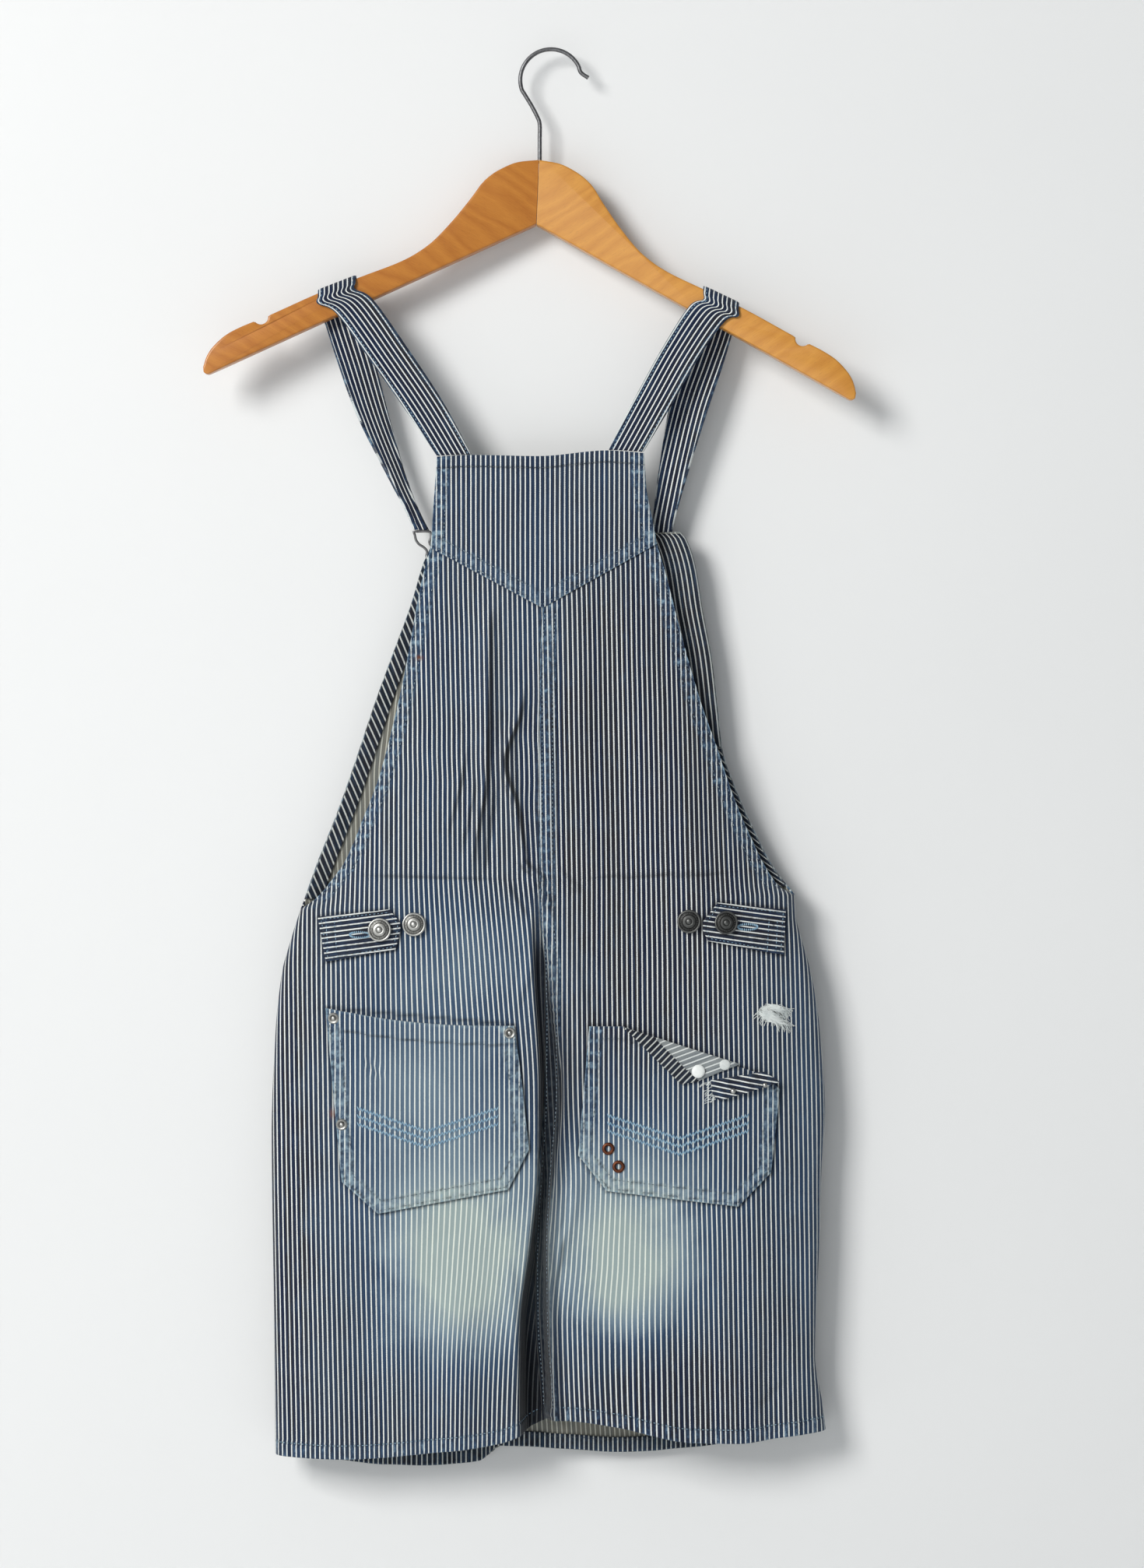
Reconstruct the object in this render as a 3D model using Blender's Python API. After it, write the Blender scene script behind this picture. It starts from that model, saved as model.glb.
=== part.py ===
"""Overall skirt of striped denim, hung by its straps on a wooden hanger, back to the viewer.

The tables are in millimetres and the meshes in metres. X runs across the garment, +Y runs
from the viewer to the wall, and Z is up. The origin is the inside top of the hanger's hook,
where a rail or peg carries everything.
"""

import math
from collections import namedtuple

import bmesh
import bpy
from mathutils import Matrix, Vector
from mathutils.bvhtree import BVHTree

MM = 0.001

# Driving dimensions
GAP = 0.3                # left between pieces that touch
MID_Y = -12.0            # plane of the side seams, where back and front meet
DENIM = 1.6              # one panel with its inner turnings
YOKE_THICK = 2.2         # two layers of denim
YOKE_STEP = 0.6          # how far the yoke stands over the panels sewn under it
STRAP_THICK = 2.4
STRAP_CLEAR = 0.5        # between a strap and the hanger it goes over
FACING_WIDTH = 12.0
FACING_THICK = 1.0
FELL_WIDTH = 11.0        # lapped strip of the centre back seam
FELL_RISE = 1.0
HEM_DEPTH = 11.0
TURNUP_CLEAR = 0.9       # between the front and its turned-up hem
FRONT_STEPS = (0, 1.0, 3.0, 6.0, 13.0)   # steps of the front's grid in from each side
FRONT_COLUMNS = 12
SIDE_REACH = 75.0        # how far in from a side the cloth still swells
BACK_ROLL = 7.0          # radius of the turn at a side, on the back
FRONT_ROLL = 5.0
ROLL_FADE = 8.0          # height over which that turn opens into the armhole
FOLD_RADIUS = 3.0        # tightest turn of the cloth at the lips of the deep back pleat

LEFT_JUNCTION = -612.8   # height where the left armhole ends and the side seam starts
RIGHT_JUNCTION = -602.3
SEAM_JUNCTION = -612.6   # the same row of both back panels at the centre seam

HANGER_PIVOT = (-9.1, -78.3)   # top of the hanger's mitre, x and z
HANGER_TILT = math.radians(2.3)
HANGER_THICK = 12.0
HANGER_CORNER = 3.0
HANGER_LENGTH = 231.0    # from the mitre to a tip, level
HANGER_BOW = 26.0        # how far the tips come towards the viewer
NOTCH_RADIUS = 5.2
HOOK_WIRE = 3.0          # diameter
HOOK_RADIUS = 22.0       # of the wire's centre line
BIB_WIRE = 1.8
BIB_CLEAR = 0.5          # between the bib and the wire on it

BUTTON_RADIUS = 8.35
RIVET_RADIUS = 4.1

Edge = namedtuple("Edge", "z x")
Depth = namedtuple("Depth", "z back back_edge front front_edge")
Pleat = namedtuple("Pleat", "z floor_left floor_right depth left_slope right_slope")
Fold = namedtuple("Fold", "width route")
Route = namedtuple("Route", "z x height")
Arm = namedtuple("Arm", "along top")
Station = namedtuple("Station", "left_x left_y left_z right_x right_y right_z thick")

# Outlines: height and place across
BACK_LEFT_EDGE = [Edge(*row) for row in (
    (-291, -81.2), (-325, -83.6), (-356, -85.9), (-367, -89.1), (-396, -95.4), (-422, -99.9),
    (-453, -105.9), (-489, -114.2), (-521, -123.1), (-548, -133.6), (-578, -146.3),
    (-593, -156.8), (-605, -167.3), (-612.8, -178.8))]
BACK_RIGHT_EDGE = [Edge(*row) for row in (
    (-288, 65.6), (-311, 66.9), (-340, 72.2), (-353, 74.6), (-372, 80.2), (-420, 92.6),
    (-464, 105.3), (-500, 118.0), (-532, 128.8), (-562, 141.5), (-583, 152.0),
    (-597, 162.3), (-602.3, 172.6))]
FRONT_LEFT_EDGE = [Edge(*row) for row in (
    (-354.9, -86.5), (-366, -91.5), (-395, -100.3), (-432, -113.9), (-464, -125.6),
    (-508, -140.3), (-544, -153.0), (-582, -168.0), (-612.8, -178.8))]
FRONT_RIGHT_EDGE = [Edge(*row) for row in (
    (-343.5, 91.0), (-349, 96.0), (-369, 102.7), (-399, 107.6), (-435, 114.3), (-473, 118.7),
    (-498, 121.5), (-531, 132.8), (-560, 145.9), (-580, 156.2), (-602.3, 172.6))]
LEFT_SIDE = [Edge(*row) for row in (
    (-612.8, -178.8), (-635, -185.8), (-657, -191.8), (-700, -196.5), (-774, -199.3),
    (-914, -197.6), (-1002, -196.5))]
RIGHT_SIDE = [Edge(*row) for row in (
    (-602.3, 172.6), (-617, 173.6), (-634, 177.8), (-651, 182.8), (-669, 186.7),
    (-697, 190.6), (-756, 194.5), (-796, 192.0), (-846, 190.6), (-930, 187.4),
    (-966, 193.0), (-1002, 197.0))]
CENTRE_SEAM = [Edge(*row) for row in (
    (-398, -6.4), (-440, -8.4), (-608, -8.7), (-657, -5.0), (-740, -5.4), (-795, -9.2),
    (-850, -12.0), (-905, -11.4), (-960, -7.6), (-1000, -6.5))]
# Hem lines: place across and height
BACK_HEM = ((-196.5, -999.5), (-163, -1000.0), (-139, -1000.0), (-96, -996.2), (-56, -991.8),
            (-36, -988.5), (-23, -984.0), (-12, -978.0), (1.8, -972.5), (8.4, -972.5),
            (48.5, -977.5), (70, -982.4), (101, -987.9), (132, -988.5), (163, -985.2),
            (197, -981.8))
FRONT_HEM = ((-196.5, -999.5), (-150, -1007.0), (-119, -1010.5), (-84, -1010.5),
             (-53, -1008.3), (-44, -1003.0), (-36, -997.0), (-18, -996.6), (8, -998.8),
             (47, -1001.6), (71, -1000.8), (94, -998.2), (118, -995.5), (160, -988.0),
             (197, -981.8))
YOKE_TOP = ((-81.2, -291.5), (-57, -290.4), (-10, -291.3), (40, -287.2), (65.6, -289.0))
YOKE_POINT = (-6.4, -398.8)
YOKE_LEFT = (-85.9, -356.1)
YOKE_RIGHT = (75.0, -353.2)

# How far each layer stands from the seam plane, at its middle and at an armhole edge
DEPTHS = [Depth(*row) for row in (
    (-288, 10.0, 9.0, 5.5, 5.5),
    (-356, 12.0, 8.5, 5.5, 5.5),
    (-400, 14.0, 8.0, 7.0, 5.5),
    (-500, 19.0, 7.0, 11.0, 5.0),
    (-600, 23.0, 5.0, 14.0, 4.0),
    (-700, 25.0, 5.0, 16.0, 4.0),
    (-850, 26.0, 5.0, 17.0, 4.0),
    (-1012, 25.0, 5.0, 17.0, 4.0))]

# The deep pleat that the centre back seam falls into, from the waist to the hem
PLEAT = [Pleat(*row) for row in (
    (-590, -10.0, -8.0, 0.0, 40, 30),
    (-625, -10.0, -8.0, 3.5, 58, 38),
    (-657, -8.5, -6.0, 7.0, 70, 45),
    (-739, -3.4, 2.6, 11.0, 70, 66),
    (-794, -3.6, -2.6, 13.0, 70, 68),
    (-849, -8.8, -7.8, 15.0, 70, 70),
    (-904, -15.7, -7.0, 18.0, 74, 74),
    (-960, -15.5, -6.0, 20.0, 74, 74),
    (-1012, -13.5, -5.0, 20.0, 72, 74))]

# Largest folds: half width, then height, place across and how far it stands out
BACK_FOLDS = [Fold(width, [Route(*row) for row in route]) for width, route in (
    (12, ((-392, -45, 0), (-430, -45, 3.2), (-509, -46.5, 4.2), (-568, -55, 2.6), (-604, -60, 0))),
    (10, ((-452, -20, 0), (-472, -23, 2.2), (-509, -34, 3.6), (-539, -26, 3.2), (-590, -17, 0))),
    (26, ((-380, 36, 0), (-450, 42, -3.0), (-560, 50, -3.4), (-630, 54, 0))),
    (22, ((-420, 88, 0), (-480, 90, 2.0), (-570, 98, 2.4), (-640, 104, 0))),
    (13, ((-786, 22, 0), (-812, 15, 3.0), (-842, 6, 3.4), (-872, 4, 0))),
    (26, ((-820, -118, 0), (-900, -126, -3.0), (-1012, -130, -4.0))),
    (24, ((-830, -62, 0), (-910, -66, 2.4), (-1012, -60, 3.2))),
    (24, ((-840, 66, 0), (-930, 74, 2.6), (-1012, 84, 3.6))),
    (20, ((-900, 150, 0), (-960, 156, -3.2), (-1012, 150, -3.6))))]
FRONT_FOLDS = [Fold(width, [Route(*row) for row in route]) for width, route in (
    (40, ((-600, 4, 0), (-720, 0, -4.0), (-860, -8, -5.0), (-1012, -12, -6.0))),
    (24, ((-430, -42, 0), (-520, -50, 2.6), (-640, -62, 0))),
    (20, ((-400, 48, 0), (-500, 44, 2.2), (-610, 36, 0))),
    (26, ((-760, -98, 0), (-880, -104, -3.0), (-1012, -92, -4.0))),
    (16, ((-900, -50, 0), (-960, -47, 2.0), (-1012, -45, 3.4))),
    (28, ((-780, 92, 0), (-900, 98, -3.4), (-1012, 108, -4.2))),
    (22, ((-700, 150, 0), (-800, 146, 2.0), (-930, 150, 0))))]

# Half of the hanger in its own frame: distance from the mitre and height of the top edge
ARM_TOP = [Arm(*row) for row in (
    (0, 0), (14, -2.2), (28.5, -9.0), (38.8, -17.6), (46.5, -29.0), (61, -48.5), (76, -65.0),
    (92, -76.2), (121, -89.5), (150, -102.5), (186.5, -121.3), (213, -134.6), (224, -144.5),
    (229, -152.5), (231, -160.0))]
ARM_BOTTOM_AT_MITRE = -46.0
ARM_BOTTOM_SLOPE = -0.5235
NOTCH_CENTRE = (192.0, -122.6)
ARM_STATIONS = (0.15, 14, 23, 30, 37, 44, 52, 64, 78, 92, 121, 150, 182, 202, 213, 221, 227,
                230.6)

# Wire of the hanger's hook below its round part, and its turned-out end
HOOK_SHANK = ((-8.6, -77.6), (-8.6, -64.0), (-8.6, -52.3), (-10.4, -46.6), (-14.6, -38.6),
              (-19.6, -30.4))
HOOK_CENTRE = (-0.5, -20.5)
HOOK_END = (26.1, -18.9)

# Straps: both borders of the band, up the back to the hanger and down inside to the bib hook
LEFT_STRAP_UP = [Station(*row) for row in (
    (-81.4, -21.4, -290.9, -56.9, -21.4, -289.8, 2.4),
    (-104.0, -22.6, -258.0, -77.4, -22.6, -252.0, 2.4),
    (-130.0, -23.6, -221.5, -102.5, -23.2, -214.0, 2.4),
    (-152.5, -24.4, -190.5, -126.5, -22.4, -180.5, 2.4))]
LEFT_STRAP_DOWN = [Station(*row) for row in (
    (-160.8, -8.6, -198.0, -134.0, -5.6, -196.0, 2.4),
    (-153.0, -9.4, -222.0, -126.0, -5.0, -222.0, 2.4),
    (-138.7, -11.0, -261.0, -114.8, -3.4, -265.0, 2.4),
    (-117.0, -10.0, -304.0, -103.0, -2.6, -306.0, 2.8),
    (-105.0, -8.0, -327.0, -94.4, -3.8, -328.0, 3.4),
    (-98.6, -6.2, -342.3, -87.4, -4.6, -342.3, 3.6))]
RIGHT_STRAP_UP = [Station(*row) for row in (
    (40.6, -21.4, -286.5, 65.2, -21.4, -288.1, 2.4),
    (58.0, -22.6, -252.0, 84.6, -22.6, -256.0, 2.4),
    (78.0, -22.8, -215.5, 104.5, -23.2, -221.5, 2.4),
    (97.2, -21.8, -185.4, 122.8, -23.0, -196.0, 2.4))]
RIGHT_STRAP_DOWN = [Station(*row) for row in (
    (101.6, -5.2, -204.0, 127.7, -7.0, -206.6, 2.4),
    (94.4, -4.2, -222.0, 121.8, -7.4, -226.0, 2.4),
    (84.6, -3.0, -250.0, 111.0, -8.4, -258.0, 2.4),
    (77.6, -2.6, -290.0, 99.0, -7.4, -296.0, 2.6),
    (72.4, -3.2, -330.0, 88.4, -5.2, -333.0, 2.8),
    (70.6, -4.7, -350.6, 84.8, -4.7, -350.6, 2.8))]
LEFT_STRAP_OVER = (-165.4, -138.8)     # its borders where it crosses the hanger's top
RIGHT_STRAP_OVER = (107.6, 132.6)

# Bib hooks: closed wire loops, from the bar in the strap's end round the button's neck
LEFT_BIB_HOOK = ((-98.5, -343.5), (-87.5, -343.5), (-86.2, -347.5), (-87.2, -351.5),
                 (-84.0, -356.0), (-78.6, -361.2), (-75.6, -366.6), (-77.0, -371.6),
                 (-81.0, -373.4), (-85.0, -371.4), (-87.0, -366.4), (-89.3, -361.4),
                 (-89.0, -357.6), (-91.2, -354.8), (-94.6, -352.6), (-96.8, -349.6),
                 (-97.6, -346.4))
LEFT_BIB_BUTTON = (-81.2, -368.0)
RIGHT_BIB_HOOK = ((72.0, -351.9), (83.6, -351.9), (84.0, -356.2), (82.2, -360.4),
                  (82.0, -364.4), (83.6, -368.4), (83.4, -373.6), (80.2, -377.4),
                  (75.4, -377.4), (72.2, -373.6), (72.0, -368.4), (73.6, -364.4),
                  (73.4, -360.4), (71.6, -356.2))
RIGHT_BIB_BUTTON = (77.8, -372.2)

# Patches on the back: convex outlines seen from behind, place across and height
LEFT_POCKET = ((-159.0, -681.6), (-25.1, -693.7), (-20.7, -735.0), (-14.8, -779.0),
               (-30.5, -809.0), (-122.2, -826.0), (-147.5, -803.5), (-151.2, -765.0))
LEFT_POCKET_SAG = 4.0    # dip of the mouth between its rivets
RIGHT_POCKET = ((26.6, -694.2), (50.1, -694.2), (151.0, -729.2), (160.4, -738.7),
                (156.3, -781.5), (154.4, -797.4), (131.4, -821.0), (39.2, -810.1),
                (18.9, -785.1))
TURNED_CORNER = ((50.6, -694.6), (148.4, -725.6), (101.9, -733.0), (93.0, -736.6))
CORNER_TAIL = ((112.0, -731.9), (148.4, -726.1), (160.6, -734.6), (134.0, -741.6),
               (118.6, -746.6), (113.4, -741.0))
LEFT_TAB = ((-164.8, -617.6), (-114.2, -612.1), (-106.6, -621.0), (-106.4, -626.5),
            (-109.8, -640.1), (-158.8, -648.9))
RIGHT_TAB = ((106.6, -620.6), (117.0, -607.2), (165.2, -612.6), (163.5, -644.5),
             (110.2, -634.1), (106.5, -626.0))
TAB_BUTTONS = (("left_outer", -120.8, -626.4, "tab_left"), ("left_inner", -96.9, -622.5, "left"),
               ("right_outer", 122.5, -621.4, "tab_right"), ("right_inner", 97.0, -620.3, "right"))
POCKET_RIVETS = ((-153.2, -688.7), (-29.4, -698.8), (-147.4, -763.3))
POCKET_EYELETS = ((40.0, -780.2), (47.2, -792.8))
CORNER_CAPS = ((103.3, -725.6), (121.9, -721.0))
CORNER_POINTS = ((127.4, -739.4), (149.3, -735.5))
TEAR_CENTRE = (156.0, -685.0)
TEAR_HALF = (8.0, 4.6)

# Patches over a panel's outer face
PATCH = 1.4
POCKET_STEP = 10.5       # grid of a pocket
ON_PATCH = GAP + PATCH + GAP
FLAP = 1.2
SEARCH = 30.0            # how far above the cloth the resting height is looked for
TAB_BUTTON_NECK = 1.4
PANEL_BUTTON_NECK = 2.2
EYELET_PROFILE = ((2.0, 0), (4.2, 0), (4.4, 0.5), (3.2, 1.2), (2.0, 0.8))

Finish = namedtuple("Finish", "colour roughness metallic")
FINISHES = {
    "denim": Finish((0.16, 0.22, 0.33), 0.9, 0.0),
    "denim_dark": Finish((0.07, 0.09, 0.14), 0.9, 0.0),
    "denim_inside": Finish((0.45, 0.45, 0.40), 0.9, 0.0),
    "denim_faded": Finish((0.30, 0.38, 0.45), 0.9, 0.0),
    "wood": Finish((0.62, 0.30, 0.08), 0.38, 0.0),
    "steel_wire": Finish((0.55, 0.56, 0.58), 0.28, 1.0),
    "tack_metal": Finish((0.50, 0.50, 0.50), 0.40, 1.0),
    "copper": Finish((0.30, 0.12, 0.05), 0.45, 1.0),
    "white_cap": Finish((0.80, 0.82, 0.80), 0.40, 0.0),
}


# ---------------------------------------------------------------- curves

def smooth_value(points, key):
    """Value at key on a curve through (key, value) pairs that never overshoots them."""
    ordered = sorted(points)
    if key <= ordered[0][0]:
        return ordered[0][1]
    if key >= ordered[-1][0]:
        return ordered[-1][1]
    at = next(i for i in range(len(ordered) - 1) if key <= ordered[i + 1][0])

    def slope(i):
        return (ordered[i + 1][1] - ordered[i][1]) / (ordered[i + 1][0] - ordered[i][0])

    def tangent(i):
        if i == 0:
            return slope(0)
        if i == len(ordered) - 1:
            return slope(i - 1)
        before, after = slope(i - 1), slope(i)
        return 0.0 if before * after <= 0 else 2.0 * before * after / (before + after)

    span = ordered[at + 1][0] - ordered[at][0]
    t = (key - ordered[at][0]) / span
    return ((2 * t ** 3 - 3 * t ** 2 + 1) * ordered[at][1]
            + (t ** 3 - 2 * t ** 2 + t) * span * tangent(at)
            + (3 * t ** 2 - 2 * t ** 3) * ordered[at + 1][1]
            + (t ** 3 - t ** 2) * span * tangent(at + 1))


def column(rows, name, z):
    """Read one named column of a table whose rows are set at heights z."""
    return smooth_value([(row.z, getattr(row, name)) for row in rows], z)


def ease(t):
    """Smooth step from 0 to 1."""
    t = min(max(t, 0.0), 1.0)
    return t * t * (3.0 - 2.0 * t)


def through(points, count):
    """Evenly numbered points of a smooth curve through the given ones."""
    points = [Vector(point) for point in points]
    result = []
    for k in range(count):
        place = k * (len(points) - 1) / (count - 1)
        i = min(int(place), len(points) - 2)
        t = place - i
        p1, p2 = points[i], points[i + 1]
        p0 = points[i - 1] if i else p1 + (p1 - p2)
        p3 = points[i + 2] if i + 2 < len(points) else p2 + (p2 - p1)
        result.append(0.5 * (2 * p1 + (p2 - p0) * t + (2 * p0 - 5 * p1 + 4 * p2 - p3) * t ** 2
                             + (3 * p1 - p0 - 3 * p2 + p3) * t ** 3))
    return result


# ---------------------------------------------------------------- shape of the cloth

def back_left(z):
    return column(BACK_LEFT_EDGE if z > LEFT_JUNCTION else LEFT_SIDE, "x", z)


def back_right(z):
    return column(BACK_RIGHT_EDGE if z > RIGHT_JUNCTION else RIGHT_SIDE, "x", z)


def front_left(z):
    return column(FRONT_LEFT_EDGE if z > LEFT_JUNCTION else LEFT_SIDE, "x", z)


def front_right(z):
    return column(FRONT_RIGHT_EDGE if z > RIGHT_JUNCTION else RIGHT_SIDE, "x", z)


def seam_x(z):
    return column(CENTRE_SEAM, "x", z)


def roll(distance, radius):
    """Quarter turn of the cloth at a side seam."""
    inside = min(max(distance, 0.0), radius)
    return math.sqrt(radius ** 2 - (radius - inside) ** 2)


def swell(distance, junction_height, z, full, edge, radius):
    """Depth of a layer at a distance from one side: a round turn, then a long easing up."""
    closed = ease((junction_height + ROLL_FADE - z) / ROLL_FADE)
    start = closed * roll(distance, radius) + (1.0 - closed) * edge
    reach = min(max(distance / SIDE_REACH, 0.0), 1.0)
    return start + (full - closed * radius - (1.0 - closed) * edge) * (1.0 - (1.0 - reach) ** 2.2)


def pleat_wall(distance, height, slope):
    """Height of a wall between two arcs and a straight, at a distance from its foot."""
    angle = math.radians(slope)
    corner = FOLD_RADIUS * (1.0 - math.cos(angle))
    if height < 2.0 * corner:
        angle = math.acos(1.0 - height / (2.0 * FOLD_RADIUS))
        corner = height / 2.0
    arc = FOLD_RADIUS * math.sin(angle)
    straight = (height - 2.0 * corner) / math.tan(angle) if angle > 0.01 else 0.0
    if distance <= 0.0:
        return 0.0
    if distance < arc:
        return FOLD_RADIUS - math.sqrt(FOLD_RADIUS ** 2 - distance ** 2)
    if distance < arc + straight:
        return corner + (distance - arc) * math.tan(angle)
    left = 2.0 * arc + straight - distance
    if left <= 0.0:
        return height
    return height - FOLD_RADIUS + math.sqrt(max(FOLD_RADIUS ** 2 - left ** 2, 0.0))


def pleat_depth(x, z):
    """How far the centre back pleat falls in at a point."""
    depth = column(PLEAT, "depth", z)
    if depth < 0.01:
        return 0.0
    left = column(PLEAT, "floor_left", z)
    right = column(PLEAT, "floor_right", z)
    if x < left:
        return depth - pleat_wall(left - x, depth, column(PLEAT, "left_slope", z))
    if x > right:
        return depth - pleat_wall(x - right, depth, column(PLEAT, "right_slope", z))
    return depth


def fold_height(folds, x, z):
    """Sum of the soft ridges and troughs at a point."""
    total = 0.0
    for fold in folds:
        if not min(row.z for row in fold.route) < z < max(row.z for row in fold.route):
            continue
        away = abs(x - column(fold.route, "x", z)) / fold.width
        if away < 1.0:
            total += column(fold.route, "height", z) * (0.5 + 0.5 * math.cos(math.pi * away))
    return total


def layer_depth(side, x, z):
    """Distance of a layer's outer face from the seam plane; side is -1 back, +1 front."""
    layer = "back" if side < 0 else "front"
    left = back_left(z) if side < 0 else front_left(z)
    right = back_right(z) if side < 0 else front_right(z)
    radius = BACK_ROLL if side < 0 else FRONT_ROLL
    full = column(DEPTHS, layer, z)
    edge = column(DEPTHS, layer + "_edge", z)
    depth = min(swell(x - left, LEFT_JUNCTION, z, full, edge, radius),
                swell(right - x, RIGHT_JUNCTION, z, full, edge, radius))
    if side < 0:
        inward = ease(min(x - left, right - x) / 20.0)
        return depth - pleat_depth(x, z) + inward * fold_height(BACK_FOLDS, x, z)
    inward = ease(min(x - left, right - x) / 20.0)
    return depth + inward * fold_height(FRONT_FOLDS, x, z)


def cloth_normal(side, x, z):
    """Outward direction of a layer at a point."""
    left = back_left(z) if side < 0 else front_left(z)
    right = back_right(z) if side < 0 else front_right(z)
    step = 0.4
    low, high = max(x - step, left), min(x + step, right)
    along_x = (layer_depth(side, high, z) - layer_depth(side, low, z)) / (high - low)
    along_z = (layer_depth(side, x, z + step) - layer_depth(side, x, z - step)) / (2 * step)
    return Vector((-along_x, side, -along_z)).normalized()


def cloth_point(side, x, z, lift):
    """Point on a layer, moved out by lift."""
    base = Vector((x, MID_Y + side * max(layer_depth(side, x, z), GAP / 2), z))
    return base + cloth_normal(side, x, z) * lift


# ---------------------------------------------------------------- solids

def add_object(name, mesh, finish):
    """Put a mesh into the scene with its own material."""
    material = bpy.data.materials.new(name)
    material.use_nodes = True
    shader = material.node_tree.nodes["Principled BSDF"]
    shader.inputs["Base Color"].default_value = (*finish.colour, 1.0)
    shader.inputs["Roughness"].default_value = finish.roughness
    shader.inputs["Metallic"].default_value = finish.metallic
    mesh.materials.append(material)
    item = bpy.data.objects.new(name, mesh)
    bpy.context.collection.objects.link(item)
    return item


def finish_mesh(name, shape, finish):
    """Turn a bmesh in millimetres into a smooth-shaded object in metres."""
    bmesh.ops.scale(shape, vec=(MM, MM, MM), verts=shape.verts)
    bmesh.ops.recalc_face_normals(shape, faces=shape.faces)
    bmesh.ops.triangulate(shape, faces=shape.faces, quad_method="SHORT_EDGE")
    mesh = bpy.data.meshes.new(name)
    shape.to_mesh(mesh)
    shape.free()
    mesh.shade_smooth()
    mesh.set_sharp_from_angle(angle=math.radians(35))
    return add_object(name, mesh, finish)


def wall_from_grids(name, outer, inner, finish):
    """Closed wall between two grids of points with the same rows and columns."""
    shape = bmesh.new()
    rows, columns = len(outer), len(outer[0])
    front = [[shape.verts.new(point) for point in row] for row in outer]
    back = [[shape.verts.new(point) for point in row] for row in inner]
    for j in range(rows - 1):
        for i in range(columns - 1):
            shape.faces.new((front[j][i], front[j][i + 1], front[j + 1][i + 1], front[j + 1][i]))
            shape.faces.new((back[j][i], back[j + 1][i], back[j + 1][i + 1], back[j][i + 1]))
    border = [(j, 0) for j in range(rows)]
    border += [(rows - 1, i) for i in range(1, columns)]
    border += [(j, columns - 1) for j in range(rows - 2, -1, -1)]
    border += [(0, i) for i in range(columns - 2, 0, -1)]
    for (j, i), (m, k) in zip(border, border[1:] + border[:1]):
        shape.faces.new((front[j][i], front[m][k], back[m][k], back[j][i]))
    return finish_mesh(name, shape, finish)


def cut_by(item, cutter):
    """Cut a piece with a hidden cutter."""
    cutter.hide_render = True
    cutter.display_type = "WIRE"
    cut = item.modifiers.new("cut", "BOOLEAN")
    cut.operation = "DIFFERENCE"
    cut.object = cutter


def row_heights(top, junction, hem):
    """Heights of a panel's rows: closer together at the armhole's end and the hem."""
    upper = (0, 0.08, 0.19, 0.31, 0.44, 0.57, 0.70, 0.82, 0.91, 0.97, 1.0)
    lower = (0.03, 0.08, 0.15, 0.23, 0.32, 0.41, 0.50, 0.59, 0.68, 0.78, 0.88, 0.95, 1.0)
    heights = [top + (junction - top) * part for part in upper]
    return heights + [junction + (hem - junction) * part for part in lower]


def spread(width, near, far, count):
    """Distances across a panel: given steps at both ends and even ones between."""
    last = width - far[-1]
    middle = [near[-1] + (last - near[-1]) * k / (count + 1) for k in range(1, count + 1)]
    return list(near) + middle + [width - step for step in reversed(far)]


def hem_row_share(height, hem):
    """How much a row follows the hem's curve: all of it at the hem, none 90 mm above."""
    return ease(1.0 - (height - hem) / 90.0)


def panel_wall(name, side, columns, finish, rise=None):
    """Wall of a panel from columns of (x, z) rows; ends on a side seam are cut square."""
    outer, inner = [], []
    for row in columns:
        outer_row, inner_row = [], []
        for x, z, seam_end in row:
            lift = rise(x, z) if rise else 0.0
            if seam_end:
                start = Vector((x, MID_Y + side * GAP / 2, z))
                outer_row.append(start)
                inner_row.append(start + Vector((seam_end * DENIM, 0, 0)))
            else:
                outer_row.append(cloth_point(side, x, z, lift))
                inner_row.append(cloth_point(side, x, z, -DENIM))
        outer.append(outer_row)
        inner.append(inner_row)
    return wall_from_grids(name, outer, inner, finish)


def yoke_seam(x):
    """Height of the pointed seam under the yoke."""
    end = YOKE_LEFT if x < YOKE_POINT[0] else YOKE_RIGHT
    part = (x - YOKE_POINT[0]) / (end[0] - YOKE_POINT[0])
    return YOKE_POINT[1] + (end[1] - YOKE_POINT[1]) * part


def back_panel(name, left):
    """Half of the back below the yoke, from the side to the centre seam."""
    junction = LEFT_JUNCTION if left else RIGHT_JUNCTION
    corner = YOKE_LEFT if left else YOKE_RIGHT
    side_hem = BACK_HEM[0][1] if left else BACK_HEM[-1][1]
    seam_hem = smooth_value(BACK_HEM, -6.5)
    side_rows = row_heights(corner[1] - 2 * GAP, junction, side_hem)
    seam_rows = row_heights(YOKE_POINT[1] - 2 * GAP, SEAM_JUNCTION, seam_hem)
    near = (0, 1.0, 3.5, 7.0, 14.0)
    far = (0, 3, 6, 9, 12, 15, 19, 26) if left else (0, 1, 3.5, 7, FELL_WIDTH, 12.5, 17, 25)
    rows = []
    for side_z, seam_z in zip(side_rows, seam_rows):
        side_x = back_left(side_z) if left else back_right(side_z)
        middle = seam_x(seam_z) - GAP / 2 if left else seam_x(seam_z) + GAP / 2
        width = abs(middle - side_x)
        middle_hem = smooth_value(BACK_HEM, middle)
        row = []
        for distance in spread(width, near, far, 8):
            x = side_x + distance if left else side_x - distance
            part = distance / width
            z = side_z + (seam_z - side_z) * part
            straight = side_hem + (middle_hem - side_hem) * part
            z += hem_row_share(side_z, side_hem) * (smooth_value(BACK_HEM, x) - straight)
            closed = side_z <= junction + 0.01 and distance == 0
            row.append((x, z, (1 if left else -1) if closed else 0))
        rows.append(row)

    def fell(x, z):
        return FELL_RISE if not left and 0.7 < x - seam_x(z) < FELL_WIDTH + 0.5 else 0.0

    return panel_wall(name, -1, rows, FINISHES["denim"], fell)


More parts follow.
